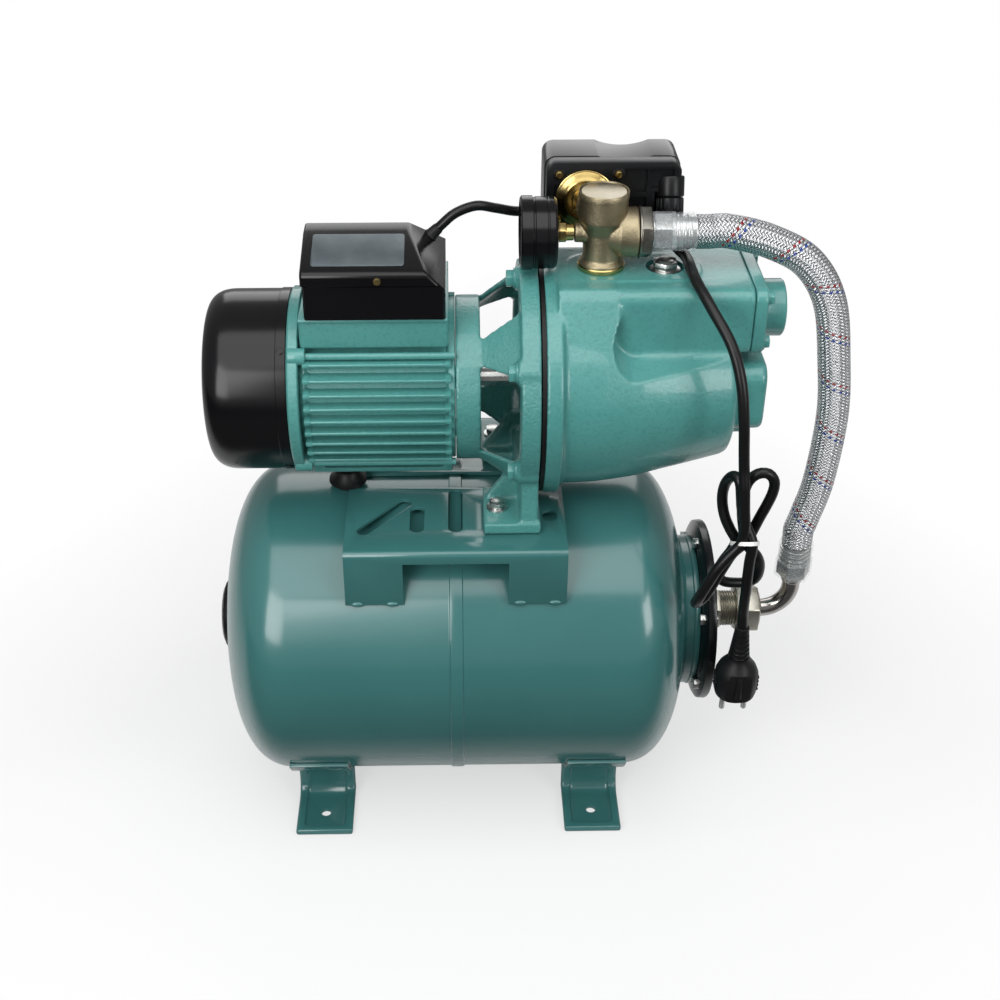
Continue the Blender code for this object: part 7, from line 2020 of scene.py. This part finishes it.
    def lead(self) -> None:
        """The lead from the hood's slanted end to the switch."""
        x, z = -0.0180, 0.5302
        gland = 0.0623
        points = [
            (x - 0.006, 0.020, z - 0.006), (x, 0.020, z), (x + 0.010, 0.020, z + 0.0105),
            (x + 0.021, 0.021, z + 0.0195), (x + 0.037, 0.023, z + 0.0245), (x + 0.052, 0.028, z + 0.0205),
            (gland - 0.014, 0.0355, 0.5450), (gland - 0.005, 0.0385, 0.5435), (gland, 0.0385, 0.5435),
        ]
        path = smooth_path(points, 0.003)
        lead = cord_curve("switch_cable", path, self.lead_radius)
        Bench.deliver(lead, Finish.CORD, "black_rubber", "switch_lead")
        relief = Bench.lathe(
            "lead_bush",
            [
                (-0.004, 0.0045), (-0.003, 0.0056), (0.0012, 0.0058), (0.0020, 0.0052), (0.009, 0.0046),
                (0.0100, 0.0042),
            ],
            Axis.Z, (0, 0, 0), 32,
        )
        aim = Vector((1, 0, 1)).to_track_quat("Z", "Y").to_matrix().to_4x4()
        relief.matrix_world = Matrix.Translation((x, 0.020, z + 0.0006)) @ aim
        Bench.deliver(relief, Finish.RUBBER, "black_rubber")
        tuple(path[0] - Vector((MIDDLE_X, 0, 0)))
        path_length(path)

    def mains(self) -> None:
        """The mains cord, its tie and its plug."""
        path = smooth_path(self.route(), 0.003)
        cord = cord_curve("mains_cable", path, self.radius)
        Bench.deliver(cord, Finish.CORD, "black_rubber", "mains_cord", "cord_hank", "cord_tail")
        plug, pins = self.plug()
        band = self.band()
        tuple(path[0] - Vector((MIDDLE_X, 0, 0)))
        path_length(path)

    def build(self) -> None:
        self.mains()
        self.lead()


# What stays from the frame


KEPT: dict[Finish, tuple[str, ...]] = {
    Finish.RUBBER: ("tank_bladder", "shaft_seal"),
    Finish.GOLD: ("air_valve_stem", "air_valve_pin", "impeller"),
    Finish.STEEL: ("switch_spring", "switch_lever", "rotor_core", "shaft", "rear_bearing", "front_bearing"),
    Finish.IVORY: ("cooling_fan", "capacitor", "terminal_block", "diffuser", "ejector"),
    Finish.COPPER: ("stator",),
    Finish.SATIN: ("gauge_pointer",),
    Finish.WINDOW: ("gauge_lens",),
    Finish.DIAL: ("gauge_dial",),
}


def dress_kept(nodes: Mapping[str, Piece]) -> None:
    """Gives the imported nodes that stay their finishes.

    Args:
        nodes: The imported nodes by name.
    """
    for finish, names in KEPT.items():
        for name in names:
            nodes[name].data.materials.clear()
            nodes[name].data.materials.append(finish.material())
            LOG.info("%s keeps its packed shape in %s", name, finish.value.name)


# Studio


@dataclass
class Studio:
    """The camera, the floor, the lamps and the white surroundings."""

    turn: float = 1.0
    lens: float = 52.2

    def camera(self) -> None:
        """The camera at the photograph's angle."""
        data = bpy.data.cameras.new("view")
        data.lens = self.lens
        data.sensor_width = 36.0
        data.shift_x = 0.02
        camera = bpy.data.objects.new("view", data)
        turn = math.radians(self.turn)
        camera.location = (0.0216 - MIDDLE_X - 1.063 * math.sin(turn), -1.063 * math.cos(turn), 0.994)
        camera.rotation_euler = Euler((math.radians(56.5), 0.0, -turn))
        bpy.context.scene.collection.objects.link(camera)
        bpy.context.scene.camera = camera

    def lamp(self, name: str, place: Point, aim: Point, size: Pair, power: float) -> None:
        """A soft rectangular lamp.

        Args:
            name: Its name.
            place: Where it stands.
            aim: What it points at.
            size: Its width and height.
            power: Its power in watts.
        """
        data = bpy.data.lights.new(name, "AREA")
        data.shape = "RECTANGLE"
        data.size, data.size_y = size
        data.energy = power
        lamp = bpy.data.objects.new(name, data)
        lamp.location = place
        lamp.rotation_euler = (Vector(aim) - Vector(place)).to_track_quat("-Z", "Y").to_euler()
        bpy.context.scene.collection.objects.link(lamp)

    def floor(self) -> None:
        """The floor, which is white to the camera. Its front part is dark to other rays, which paints a dark
        reflection and shade on the tank's lower half.
        """
        bpy.ops.object.select_all(action="DESELECT")
        bpy.ops.mesh.primitive_plane_add(size=12.0, location=(0, 2.0, -0.0006))
        floor = bpy.context.object
        bpy.ops.object.transform_apply(location=True, rotation=True, scale=True)
        floor.name = "studio_floor"
        sheet = Sheet("studio_floor_white_painted_dark_front")
        rays = sheet.tree.nodes.new("ShaderNodeLightPath")
        seen = Tap(sheet, rays.outputs["Is Camera Ray"])
        # Painted shade: in front of the set, the floor is dark to all rays but the camera's. The tank's lower
        # half therefore reflects it as dark and gets less bounced light.
        painted_dark_front = sheet.ramp(sheet.along("Y") + 0.5, (0.30, 1.0), (0.42, 0.0))
        shade = painted_dark_front * (1.0 - seen)
        away = sheet.ramp(sheet.along("X").size() + 0.7 * sheet.along("Y").size(), (0.42, 0.0), (0.80, 1.0))
        sheet.set(
            Base_Color=sheet.mix(shade, (0.88, 0.88, 0.88), (0.10, 0.10, 0.10)), Roughness=0.9,
            Specular_IOR_Level=0.0,
        )
        glow = sheet.node("ShaderNodeEmission", None, {"Color": (1, 1, 1, 1), "Strength": 1.0})
        share = sheet.node(
            "ShaderNodeMixShader", None,
            {0: seen * (0.58 + 0.42 * away), 1: Tap(sheet, sheet.surface.outputs[0]), 2: glow},
        )
        sheet.feed(sheet.tree.nodes["Material Output"].inputs[0], share)
        floor.data.materials.append(sheet.material)

    def world(self) -> None:
        """Surroundings that are white to the camera and through clear pieces, and soft grey to the rest."""
        world = bpy.data.worlds.new("studio")
        world.use_nodes = True
        tree = world.node_tree
        rays = tree.nodes.new("ShaderNodeLightPath")
        seen = tree.nodes.new("ShaderNodeMath")
        seen.operation = "MAXIMUM"
        tree.links.new(rays.outputs["Is Camera Ray"], seen.inputs[0])
        tree.links.new(rays.outputs["Is Transmission Ray"], seen.inputs[1])
        mirror = tree.nodes.new("ShaderNodeMath")
        mirror.operation = "MULTIPLY_ADD"
        tree.links.new(rays.outputs["Is Glossy Ray"], mirror.inputs[0])
        mirror.inputs[1].default_value = 0.06
        mirror.inputs[2].default_value = 0.26
        level = tree.nodes.new("ShaderNodeMath")
        level.operation = "MAXIMUM"
        tree.links.new(seen.outputs[0], level.inputs[0])
        tree.links.new(mirror.outputs[0], level.inputs[1])
        background = tree.nodes["Background"]
        background.inputs["Color"].default_value = (1, 1, 1, 1)
        tree.links.new(level.outputs[0], background.inputs["Strength"])
        bpy.context.scene.world = world

    def build(self) -> None:
        """Sets up the view, the floor and the light."""
        self.camera()
        self.floor()
        self.world()
        self.lamp("left_box", (-0.64, -1.02, 0.86), (-0.06, 0, 0.30), (0.55, 0.72), 7.5)
        self.lamp("right_box", (0.92, -0.95, 0.78), (0.05, 0, 0.28), (0.42, 0.55), 4.5)
        self.lamp("top_box", (0.0, -0.50, 1.45), (0, 0, 0.35), (1.70, 1.00), 12.5)
        self.lamp("back_box", (0.0, 1.10, 0.90), (0, 0, 0.30), (1.2, 0.6), 4.0)
        bpy.context.scene.view_settings.view_transform = "Standard"


def main() -> None:
    """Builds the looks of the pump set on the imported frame."""
    logging.basicConfig(level=logging.INFO, format="%(name)s: %(message)s")
    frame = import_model()
    Studio().build()
    Cords().build()
    HoseRun().build()
    PressureTank().build()
    Motor().build()
    JetPump().build()
    Fittings().build()
    dress_kept(frame["nodes"])
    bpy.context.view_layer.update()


if __name__ == "__main__":
    main()
